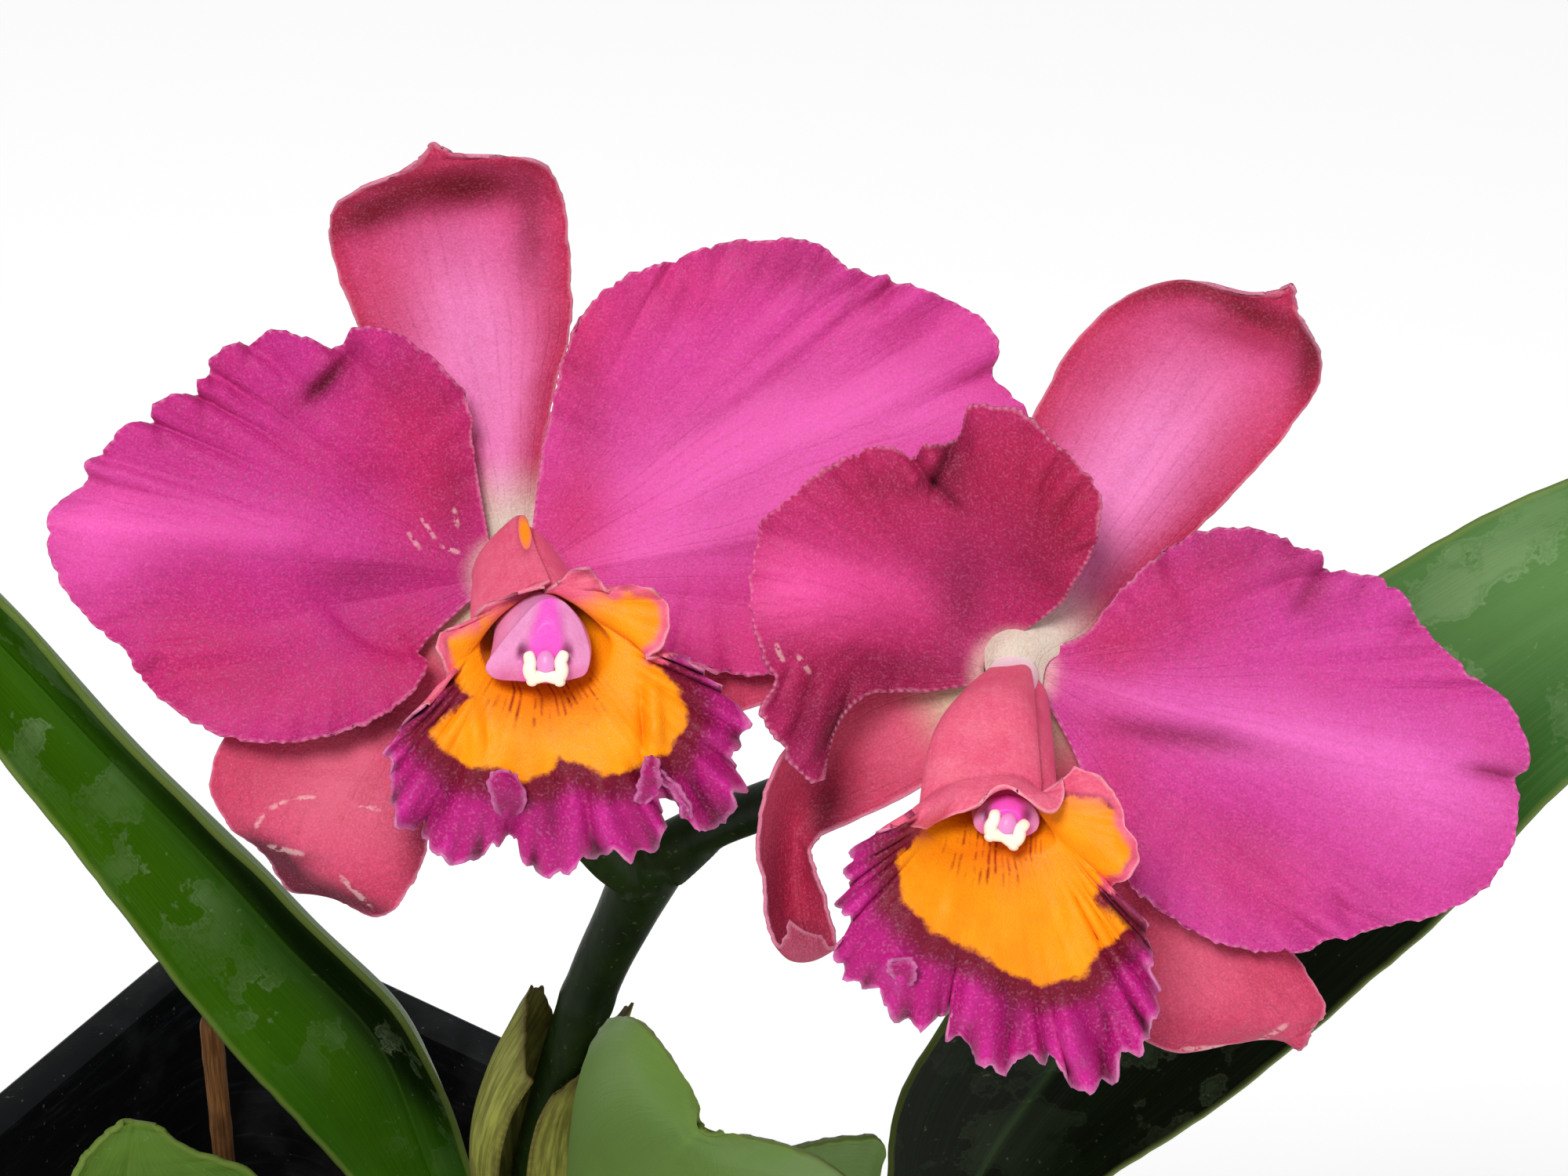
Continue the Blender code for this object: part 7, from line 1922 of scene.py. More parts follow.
@dataclass
class Lip(BloomPiece):
    """The tubular lip with its ruffled front."""

    seam: Sequence[float]
    rings: Table
    edge: Table
    reach: float
    streaks: Sequence[float]
    finish: LipFinish
    seed: int
    across: int = 300
    tube_rows: int = 32
    flare_rows: int = 62
    thickness: float = 0.6
    rim_thickness: float = 0.28
    ruffle: float = 1.5
    sway: float = 0.5
    teeth: float = 0.16
    crimp: float = 0.5
    rim_roll: float = 0.7
    lobe_calm: float = 0.7
    pinch: float = 0.5
    overlap: float = 9.0
    lap: float = 0.09
    flap_across: int = 26
    flap_along: int = 44
    flap_thickness: float = 0.5

    def flat_grid(self) -> Rows:
        """Lay the lip out: rings of its tube, then its flare out to the free edge."""
        edge = smooth(self.edge, even_places(self.edge, self.across))
        mouth = self.rings[-1]
        turn = np.unwrap(np.arctan2(edge[:, 1] - mouth[1], edge[:, 0] - mouth[0]))
        width = max(3, self.across // 7)
        padded = np.concatenate([np.full(width, turn[0]), turn, np.full(width, turn[-1])])
        turn = np.convolve(padded, np.ones(2 * width + 1) / (2 * width + 1), mode="valid")
        turn = np.maximum.accumulate(turn)
        share = (turn - turn[0]) / (turn[-1] - turn[0])
        tube_rings = []
        calm = spread(edge, self.across // 22)
        lap = self.lap * (np.exp(-(share / 0.07) ** 2) - np.exp(-((1 - share) / 0.07) ** 2))
        for (x, y, near, wide, high), seam in zip(self.rings, self.seam):
            angle = np.radians(seam - self.overlap / 2 + share * (360 + self.overlap))
            tent = 1 - self.pinch * np.clip(np.sin(angle - math.radians(seam - 90)), 0, 1) ** 1.5
            tube_rings.append(np.stack([x + wide * (1 + lap) * tent * np.cos(angle),
                                        y + high * (1 + lap) * np.sin(angle),
                                        near + 1.4 * lap], axis=-1))
        grid = list(smooth(np.array(tube_rings), np.linspace(0, 1, self.tube_rows)))
        lower = np.clip(0.2 - np.cos(share * 2 * math.pi), 0, 1)
        start = grid[-1]
        middle = start + 0.5 * (calm - start)
        middle[:, 2] = np.maximum(start[:, 2], calm[:, 2]) + self.reach * lower
        for t in np.linspace(0, 1, self.flare_rows + 1)[1:]:
            s = 1 - (1 - t) ** 1.25
            grid.append((1 - s) ** 2 * start + 2 * s * (1 - s) * middle + s ** 2 * calm
                        + s ** 4 * (edge - calm))
        return np.array(grid)

    def worked_grid(self, grid: Rows, rim: Rows) -> Rows:
        """Add ruffles, teeth, keels and folds to the laid out lip."""
        x, y = grid[..., 0].copy(), grid[..., 1].copy()
        edge = grid[-1]
        steps = np.linalg.norm(np.diff(edge, axis=0), axis=1)
        run = np.concatenate([[0], np.cumsum(steps)])[None, :] * np.ones_like(x)
        mouth = self.rings[-1]
        away = np.maximum(np.hypot(x - mouth[0], y - mouth[1]), 1)
        flare = np.concatenate([np.zeros(self.tube_rows),
                                soften(np.linspace(0, 1, self.flare_rows), 0.05, 0.45)])[:, None]
        free = flare * soften(away, 5.0, 9.0)
        ruffle = waves(run, (2.6, 4.1, 7.0), (0.6, 1.0, 0.7), self.seed) * self.ruffle
        lobes = (tone(SIDE_LOBES[self.name], x[-1:], y[-1:]).T > 0.5).astype(float)
        free = free * (1 - self.lobe_calm * spread(lobes, 9)[:, 0])
        sway = waves(run, (2.3, 3.6), (0.8, 0.8), self.seed + 1) * self.sway
        tooth = waves(run, (0.7, 1.1, 1.9), (0.4, 0.6, 0.6), self.seed + 2) * self.teeth
        push = (sway * np.exp(-rim / 1.5) + tooth * np.exp(-rim / 0.5)) * free
        grid[..., 0] += push * (x - mouth[0]) / away
        grid[..., 1] += push * (y - mouth[1]) / away
        crimp = waves(run, (1.2, 1.9), (0.5, 0.6), self.seed + 4) * np.exp(-rim / 0.9)
        grid[..., 2] += (ruffle * np.exp(-rim / 1.7) + self.crimp * crimp) * free
        roll = self.rim_roll * np.exp(-rim / 0.7)
        grid[..., 2] += roll * free * (0.4 + 0.6 * np.sin(run * 0.9 + self.seed))
        grid[..., 2] += tooth * np.exp(-rim / 1.2) * (1 - free) * flare
        for fold in self.folds(x, y):
            grid[..., 2] += fold * flare
        grid[..., 2] += 0.18 * hills(x, y, 5.0, self.seed + 3) * flare
        return grid

    def masks(self, x: Rows, y: Rows, rim: Rows) -> dict[str, Rows]:
        """Return the masks of the inner face.

        Args:
            x: Points' x in the bloom.
            y: Points' y in the bloom.
            rim: Distance to the free edge.

        Returns:
            One array for each mask.
        """
        depth = depth_inside(GOLD_OUTLINES[self.name], x, y)
        depth[:self.tube_rows] = 3.0
        lobes = tone(SIDE_LOBES[self.name], x, y)
        side_lobe = np.maximum(soften(1.25 - rim, 0.0, 0.9), soften(-depth, -0.2, 0.8)) * (lobes > 0.5)
        side_lobe = np.maximum(side_lobe, tone(FOLDED_BACK[self.name], x, y))
        side_lobe[:self.tube_rows] = 0.0
        return {**lanes(*x.shape), "gold": depth, "streak": Patch(*self.streaks).amount(x, y),
                "rosy": side_lobe, "outside": np.zeros_like(x), "wine_outside": np.zeros_like(x)}

    def fold(self, stations: Sequence, grid: Rows) -> bpy.types.Object:
        """Return one curled flap of the frill.

        Args:
            stations: Left and right edge of the flap, each as x, y and lift off the lip.
            grid: The worked lip, which the flap rises from.

        Returns:
            The flap, to be taken into the lip.
        """
        flare = grid[self.tube_rows:].reshape(-1, 3)
        rails = []
        for left, right in stations:
            middle = ((left[0] + right[0]) / 2, (left[1] + right[1]) / 2, (left[2] + right[2]) / 2 - 0.7)
            row = []
            for x, y, lift in (left, middle, right):
                nearest = np.argsort(np.hypot(flare[:, 0] - x, flare[:, 1] - y))[:30]
                row.append((x, y, flare[nearest, 2].mean() + lift))
            rails.append(row)
        flap = rail_grid(rails, self.flap_across, self.flap_along)
        rim = rim_distance(flap, edges_of(flap))
        run = np.arange(self.flap_along)[:, None] * 0.12
        flap[..., 2] += 0.16 * waves(run, (1.1, 2.0), (0.6, 0.8), self.seed + 6) * np.exp(-rim / 0.6)
        flap[..., 0] += 0.12 * waves(run + 9, (0.9, 1.7), (0.6, 0.8), self.seed + 7) * np.exp(-rim / 0.5)
        shape = np.ones(flap.shape[:2])
        masks = {"across": 0.5 * shape, "along": 0.9 * shape, "gold": -2.6 * shape}
        masks.update({name: 0 * shape for name in ("streak", "rosy", "outside", "wine_outside")})
        # The flap gets painted highlight, fading to none about 0.9 mm in from its edge
        masks["painted_crest_light"] = np.clip(1.0 - 0.5 * np.exp(-(rim - 0.9) ** 2), 0, 1)
        blade = Blade("flap", self.over_pot(flap), self.flap_thickness, self.rim_thickness, rim,
                      masks=masks, even_steps=2, rim_fade=0.8)
        return blade.build(self.finish.material())

    def build(self) -> None:
        """Build and dress the lip."""
        grid = self.flat_grid()
        border = np.concatenate([grid[self.tube_rows::2, 0], grid[-1], grid[self.tube_rows::2, -1]])
        rim = rim_distance(grid, border)
        x, y, near = (grid[..., k].copy() for k in range(3))
        grid = self.worked_grid(grid, rim)
        masks = self.masks(x, y, rim)
        # Relief over the laid out lip, 0.5 when level: painted shade where it sinks, painted highlight
        # where it rises
        masks["painted_crest_light"] = np.clip(0.5 + 0.42 * (grid[..., 2] - near), 0, 1)
        lower = soften(-(y - self.rings[-1][1]), 5.0, 9.0)
        peek = tone([PEEKS[self.name]], x, y)
        peek[self.tube_rows:] = 0
        back = {"outside": 1 - peek, "rosy": np.zeros_like(x), "wine_outside": lower,
                "gold": 5 * peek - 2}
        blade = Blade(self.mesh_name, self.over_pot(grid), self.thickness, self.rim_thickness, rim,
                      face=Face.LOWER_EDGE, masks=masks, back_masks=back, even_steps=5, rim_fade=1.6)
        thing = blade.build(self.finish.material())
        unite(thing, [self.fold(stations, grid) for stations in FLAPS[self.name]])
        place_piece(thing, self.name, Slot.LIP)


@dataclass
class Column(BloomPiece):
    """The column with its hooded head."""

    path: Table
    head: Table
    cap: Sequence[float]
    finish: ColumnFinish = ColumnFinish("column_skin", roughness=0.4, specular=0.3)
    sides: int = 110
    steps: int = 56
    dome_rings: int = 40
    dome_height: float = 0.9

    def head_ring(self, angles: Rows, middle: tuple[float, float]) -> Rows:
        """Return the head's outline read at the ring's angles."""
        corners = np.array(list(self.head) + list(self.head[:1]))
        line = smooth(corners, even_places(corners, 500))
        turn = np.arctan2(line[:, 1] - middle[1], line[:, 0] - middle[0]) % (2 * math.pi)
        reach = np.hypot(line[:, 0] - middle[0], line[:, 1] - middle[1])
        order = np.argsort(turn)
        found = np.interp(angles, turn[order], reach[order], period=2 * math.pi)
        return np.stack([middle[0] + found * np.cos(angles), middle[1] + found * np.sin(angles)],
                        axis=-1)

    def build(self) -> None:
        """Build and dress the column."""
        angles = 2 * math.pi * np.arange(self.sides) / self.sides
        rings = []
        head_middle = self.path[-1][:2]
        outline = self.head_ring(angles, head_middle)
        stripe = np.exp(-((angles - math.pi / 2) / 0.5) ** 2)
        for place in np.linspace(0, 1, self.steps):
            x, y, near, wide, high = smooth(self.path, [place])[0]
            pinch = 1 - 0.26 * place * np.sin(angles)
            ring = np.stack([x + wide * pinch * np.cos(angles), y + high * np.sin(angles)], axis=-1)
            ring[:, 1] += 0.25 * math.sin(math.pi * place) * stripe
            share = float(soften(np.array(place), 0.55, 0.97))
            ring = (1 - share) * ring + share * outline
            rings.append(np.column_stack([ring, np.full(self.sides, near)]))
        last = rings[-1]
        tip = np.array([head_middle[0] + 0.1, head_middle[1] - 0.6])
        for step in range(1, self.dome_rings):
            share = step / self.dome_rings
            flat = last[:, :2] * (1 - share) + tip * share
            upper = soften(flat[:, 1], head_middle[1] - 2.6, head_middle[1] + 0.6)
            bulge = self.dome_height * math.sin(math.pi / 2 * min(1, share * 1.8))
            near = last[:, 2] + bulge * (0.55 + 0.45 * upper) - 1.1 * share * self.hollows(*flat.T)
            near += 0.45 * self.middle_band(*flat.T) * min(1, 2 * share)
            rings.append(np.column_stack([flat, near]))
        points, faces = close_rings(rings)
        x, y, near = points.T
        front = soften(near, last[0, 2] - 1.2, last[0, 2] + 0.1)
        thing = add_object(self.mesh_name, self.over_pot(points), faces, self.finish.material())
        store(thing, "band", self.middle_band(x, y) * (0.3 + 0.7 * front))
        store(thing, "pale", 1 - soften(near, 2.0, 7.0))
        store(thing, "low", soften(-(y - head_middle[1]), 1.4, 3.4) * front)
        # Painted shade for the two dents beside the cap, on the head's front
        store(thing, "dark", np.clip(self.hollows(x, y) * front, 0, 1))
        place_piece(thing, self.name, Slot.COLUMN)

    def middle_band(self, x: Rows, y: Rows) -> Rows:
        """Return the raised bright band, narrow above and wide at the cap."""
        cap_x, cap_y = self.cap[:2]
        half = np.interp(y, [cap_y, cap_y + 5.6], [1.8, 0.6])
        return soften(half - np.abs(x - cap_x - 0.05 * (y - cap_y)), -0.7, 0.5)

    def hollows(self, x: Rows, y: Rows) -> Rows:
        """Return the two small dents beside the cap."""
        cap_x, cap_y, _, half = self.cap
        return sum(np.exp(-((x - cap_x - side * 1.12 * half) / 0.42) ** 2
                          - ((y - cap_y - 0.55 * half) / 0.75) ** 2) for side in (-1, 1))


@dataclass
class AntherCap(BloomPiece):
    """The pale cap at the column's tip: two bars joined below, two feet, a pinkish middle."""

    place: tuple[float, float, float, float]
    turn: float = 0.0
    sides: int = 28
    finish: CapFinish = CapFinish("cap_wax", roughness=0.35, specular=0.35)
    bars: Table = (
        (-0.86, 0.52, -0.2, 0.40), (-0.80, 0.32, 0.0, 0.50), (-0.74, 0.0, 0.1, 0.54),
        (-0.78, -0.36, 0.15, 0.58), (-0.58, -0.66, 0.15, 0.60), (0.0, -0.62, 0.15, 0.50),
        (0.58, -0.68, 0.15, 0.60), (0.78, -0.36, 0.15, 0.58), (0.72, 0.02, 0.1, 0.54),
        (0.84, 0.34, 0.0, 0.50), (0.92, 0.56, -0.2, 0.40),
    )
    blobs: Sequence = (
        (-0.66, -0.9, 0.2, (0.5, 0.4, 0.5)), (0.68, -0.92, 0.2, (0.5, 0.4, 0.5)),
        (0.0, -0.05, 0.0, (0.85, 1.2, 0.75)),
    )

    def blob(self, x: float, y: float, near: float, size: tuple[float, float, float]) -> Skin:
        """Return a small oval body of the given half sizes."""
        angles = 2 * math.pi * np.arange(self.sides) / self.sides
        return close_rings([
            np.stack([x + size[0] * math.cos(tilt) * np.cos(angles),
                      y + size[1] * math.cos(tilt) * np.sin(angles),
                      np.full(self.sides, near + size[2] * math.sin(tilt))], axis=-1)
            for tilt in np.linspace(-1.45, 1.45, 15)])

    def build(self) -> None:
        """Build and dress the cap."""
        x, y, near, half = self.place
        bars = smooth(self.bars, np.linspace(0, 1, 90)) * np.array([half, half, 1, 1])

        def ends_round(way: float, angles: Rows) -> Rows:
            """Round both ends of the bars and flatten their sides a little."""
            closing = math.sqrt(max(0.02, 1 - abs(2 * way - 1) ** 20))
            return closing * (1 + 0.06 * np.cos(3 * angles))

        bodies = [tube(bars, self.sides, ends_round)]
        bodies += [self.blob(across * half, up * half, lift, size) for across, up, lift, size in self.blobs]
        points, faces = merge(bodies)
        pink = np.zeros(len(points))
        pink[-len(bodies[-1][0]):] = 1.0
        c, s = math.cos(math.radians(self.turn)), math.sin(math.radians(self.turn))
        points = np.column_stack([x + c * points[:, 0] - s * points[:, 1],
                                  y + s * points[:, 0] + c * points[:, 1], near + points[:, 2]])
        thing = add_object(self.mesh_name, self.over_pot(points), faces, self.finish.material())
        store(thing, "pink", pink)
        place_piece(thing, self.name, Slot.CAP)


@dataclass
class Leaf:
    """One leathery leaf with a grooved midrib."""

    name: str
    stations: Sequence
    finish: LeafFinish
    seed: int
    shade: Table = ()
    painted_highlight: Table = ()
    film: Table = ()
    across: int = 38
    along: int = 100
    thickness: float = 1.6
    rim_thickness: float = 0.7
    crowd: float = 1.3
    groove: float = 0.55
    ripple: float = 0.12
    swell: float = 0.14
    teeth: float = 0.06

    def build(self) -> None:
        """Build and dress the leaf."""
        grid = rail_grid(self.stations, self.across, self.along, self.crowd)
        x, y = grid[..., 0].copy(), grid[..., 1].copy()
        placed = SIGHT.over_pot(grid)
        rim = rim_distance(placed, edges_of(placed))
        a = crowded(self.across, self.crowd)[None, :] * np.ones_like(x)
        taper = np.sin(math.pi * np.clip(np.linspace(0.02, 0.98, self.along), 0, 1))[:, None]
        down, over = np.gradient(placed, axis=0), np.gradient(placed, axis=1)
        facing = np.cross(over, down)
        facing /= np.maximum(np.linalg.norm(facing, axis=2, keepdims=True), 1e-9)
        if facing[..., 2].sum() < 0:
            facing = -facing
        run = np.linspace(0, 130, self.along)[:, None] * np.ones_like(x)
        relief = -self.groove * np.exp(-(a / 0.06) ** 2) * taper
        ripple = waves(run + 40 * np.sign(a), (9.0, 17.0), (0.8, 1.0), self.seed)
        relief += self.ripple * ripple * np.exp(-rim / 2.0)
        relief += self.swell * hills(x, y, 14.0, self.seed + 1)
        placed = placed + relief[..., None] * facing
        tooth = self.teeth * waves(run + 55 * np.sign(a), (2.0, 4.4), (0.7, 1.0), self.seed + 2)
        side = over / np.maximum(np.linalg.norm(over, axis=2, keepdims=True), 1e-9)
        placed = placed + (tooth * np.sign(a) * np.exp(-rim / 1.0))[..., None] * side
        wet = 0.3 * soften(hills(x, y, 30.0, self.seed + 4), 0.0, 0.7)
        # Painted shade from the shade ovals and painted highlight from the shine ovals
        masks = {**lanes(*x.shape), "across": (a + 1) / 2, "dark": tone(self.shade, x, y),
                 "light": tone(self.painted_highlight, x, y),
                 "film": np.clip(tone(self.film, x, y) + wet, 0, 1)}
        blade = Blade(self.name, placed, self.thickness, self.rim_thickness, rim, face=Face.SKY,
                      masks=masks, even_steps=3, rim_fade=3.0)
        place_piece(blade.build(self.finish.material()), self.name, Slot.LEAF)


@dataclass
class Sheath:
    """The papery split sheath that the flower stem comes out of."""

    rings: Table
    slit: float = 26.0
    across: int = 90
    along: int = 64
    thickness: float = 0.6
    rim_thickness: float = 0.28
    finish: FibreFinish = FibreFinish("sheath_paper", roughness=0.55, specular=0.3, ground="6E7028",
                                      light="A5A84C", stain="4E3A18", count=70.0, stretch=5.0)

    def build(self) -> None:
        """Build and dress the sheath."""
        places = np.linspace(0, 1, self.along)
        turns = np.radians(np.linspace(250 + self.slit / 2, 610 - self.slit / 2, self.across))
        torn = waves(turns * 5.0, (1.1, 2.3, 6.0), (0.2, 0.35, 0.6), 61)
        rows = []
        for place, (x, y, near, wide, deep) in zip(places, smooth(self.rings, places)):
            lift = place ** 3 * 2.4 * np.cos(turns * 2 + 0.6) + place ** 9 * 0.8 * torn
            swell = 1 + 0.012 * np.cos(turns * 17) + 0.03 * place ** 4 * np.sin(turns * 5 + 1.0)
            rows.append(np.stack([x + swell * wide * np.cos(turns) + 0.33 * lift,
                                  y + 0.68 * swell * deep * np.sin(turns) + lift,
                                  near - 0.74 * swell * deep * np.sin(turns) + 1.3 * lift], axis=-1))
        grid = SIGHT.over_pot(np.array(rows))
        rim = rim_distance(grid, np.concatenate([grid[::2, 0], grid[-1], grid[::2, -1]]))
        blade = Blade("flower_sheath", grid, self.thickness, self.rim_thickness, rim,
                      face=Face.OUTWARD, masks=lanes(*rim.shape), even_steps=3)
        place_piece(blade.build(self.finish.material()), "flower_sheath", Slot.SHEATH)


@dataclass
class FlowerStem:
    """The flower stem, its fork, its bracts and the two grooved flower stalks."""

    main: Table
    stalks: dict[str, Table]
    hub_radius: float = 2.2
    hub_top: float = 1.0
    sides: int = 48
    voxel: float = 0.42
    # Its near-black usual colours are painted shade
    finish: StemFinish = StemFinish("stem_skin", roughness=0.45, specular=0.12)

    def run(self, rows: Sequence, count: int) -> list[tuple[float, ...]]:
        """Return (x, y, z, radius) rows over the pot, read smoothly."""
        read = smooth(rows, np.linspace(0, 1, count))
        return [(*p, r) for p, r in zip(SIGHT.over_pot(read[:, :3]), read[:, 3])]

    def bract(self, at: Sequence[float], lean: Sequence[float], length: float) -> Skin:
        """Return a small pointed bract that hugs the stem.

        Args:
            at: Its foot in the sight frame.
            lean: Which way it points in the sight frame.
            length: Its length in millimetres.

        Returns:
            Its points and its faces.
        """
        rows = []
        for share in np.linspace(0, 1, 20):
            place = np.array(at) + np.array(lean) * length * share
            rows.append((*SIGHT.over_pot(place), 2.6 * (1 - share) ** 0.8 + 0.25))
        return tube(rows, 28, lambda way, angles: 0.55 + 0.45 * np.abs(np.cos(angles)))

    def build(self) -> None:
        """Build and dress the stem as one grown piece."""
        def rounded(way: float, angles: Rows) -> Rows:
            """Swell the joint low on the stem and flatten it a little."""
            joint = 0.06 * math.exp(-((way - 0.45) / 0.02) ** 2)
            return 1 + joint + 0.015 * np.cos(2 * angles)

        def grooved(way: float, angles: Rows) -> Rows:
            """Groove the ovary, the upper half of a flower stalk."""
            depth = 0.1 * float(soften(np.array(way), 0.35, 0.6))
            depth *= 1 - float(soften(np.array(way), 0.86, 0.95))
            return 1 - depth * (0.5 + 0.5 * np.cos(6 * angles + 2.2 * way))

        bodies = [tube(self.run(self.main, 120), self.sides, rounded)]
        for bloom, rows in self.stalks.items():
            hub, middle = HUB[bloom], BLOOM_MIDDLE[bloom]
            x, y = middle[0] + hub[0], middle[1] + hub[1]
            ends = [(x, y, middle[2] - 5.0, self.hub_radius),
                    (x, y, middle[2] + self.hub_top, self.hub_radius - 0.2)]
            bodies.append(tube(self.run(list(rows) + ends, 110), self.sides, grooved))
        bodies += [self.bract(*bract) for bract in BRACTS]
        thing = add_object("flower_stem", *merge(bodies), self.finish.material())
        weld(thing, self.voxel, 3)
        place_piece(thing, "flower_stem", Slot.STEM)


@dataclass
class Bulb:
    """A ribbed swollen stem with papery wraps round its foot."""

    name: str
    foot: tuple[float, float, float]
    top: tuple[float, float, float]
    radius: float
    seed: int
    wrap_share: float = 0.5
    wrap_steps: int = 22
    wrap_thickness: float = 0.3
    ribs: int = 11
    sides: int = 76
    steps: int = 52
    flatness: float = 0.8
    finish: StemFinish = StemFinish("bulb_skin", roughness=0.42, specular=0.4, ground="5C6B28",
                                    light="8C9440", dark="3A4517")
    wrap: FibreFinish = FibreFinish("bulb_wrap", roughness=0.7, specular=0.2, ground="A8956A",
                                    light="D6C9A4", stain="6D5433", count=46.0, stretch=4.0)

    def swell(self, share: float) -> float:
        """Return the bulb's width factor at a share of its height."""
        heights = (0.0, 0.04, 0.18, 0.38, 0.58, 0.76, 0.9, 0.97, 1.0)
        widths = (0.42, 0.5, 0.68, 0.9, 1.0, 0.95, 0.88, 0.84, 0.74)
        return float(np.interp(share, heights, widths))

    def ring(self, share: float, out: float, rib: float, turns: Rows) -> Rows:
        """Return a ring of the bulb or of a wrap round it."""
        foot, top = np.array(self.foot), np.array(self.top)
        middle = foot + (top - foot) * share
        phase = 0.5 * math.sin(self.seed)
        factor = 1 + rib * math.sin(math.pi * min(1, share * 1.05)) * np.cos(self.ribs * turns + phase)
        reach = self.radius * self.swell(share) * factor + out
        return np.stack([middle[0] + reach * np.cos(turns),
                         middle[1] + self.flatness * reach * np.sin(turns),
                         np.full(len(turns), middle[2])], axis=-1)

    def wrap_skin(self, turns: Rows, seed: int, share: float, out: float) -> Skin:
        """Return one thin ragged wrap round the bulb.

        Args:
            turns: Angles of its points round the bulb.
            seed: Number that its ragged edge follows from.
            share: Share of the bulb's height that it covers.
            out: How far it stands off the bulb's foot, in millimetres.

        Returns:
            Its points and its faces.
        """
        ragged = waves(turns * self.radius, (1.9, 4.0, 11.0), (0.012, 0.02, 0.05), seed)
        rows = []
        for s in np.linspace(0, 1, self.wrap_steps):
            ring = self.ring(share * s, out + 0.35 * s ** 4, 0.03, turns)
            ring[:, 2] += (self.top[2] - self.foot[2]) * ragged * s ** 3
            rows.append(ring)
        rows = np.array(rows)
        middle = rows.mean(axis=1, keepdims=True)
        inner = middle + (rows - middle) * (1 - self.wrap_thickness / self.radius)
        points = np.concatenate([rows, inner[::-1]]).reshape(-1, 3)
        number = np.arange(len(points)).reshape(-1, self.sides)
        below = np.roll(number, -1, axis=0)
        quads = np.stack([number, np.roll(number, -1, axis=1), np.roll(below, -1, axis=1), below], axis=-1)
        return points, [tuple(map(int, quad)) for quad in quads.reshape(-1, 4)]

    def build(self) -> None:
        """Build and dress the bulb with its wraps."""
        turns = 2 * math.pi * np.arange(self.sides) / self.sides
        body = close_rings([self.ring(s, 0.0, 0.045, turns) for s in np.linspace(0, 1, self.steps)])
        shells = [body] + [self.wrap_skin(turns, *wrap) for wrap in (
            (self.seed, self.wrap_share, 0.42), (self.seed + 1, self.wrap_share * 0.62, 0.95))]
        points, faces = merge(shells)
        thing = add_object(self.name, points, faces, self.finish.material())
        thing.data.materials.append(self.wrap.material())
        for polygon in list(thing.data.polygons)[len(body[1]):]:
            polygon.material_index = 1
        middle = (np.array(self.foot) + np.array(self.top)) / 2
        store_turned(thing, points, middle[:2], self.foot[2], self.top[2])
        store(thing, "rim", np.full(len(points), 9.0))
        place_piece(thing, self.name, Slot.BULB)


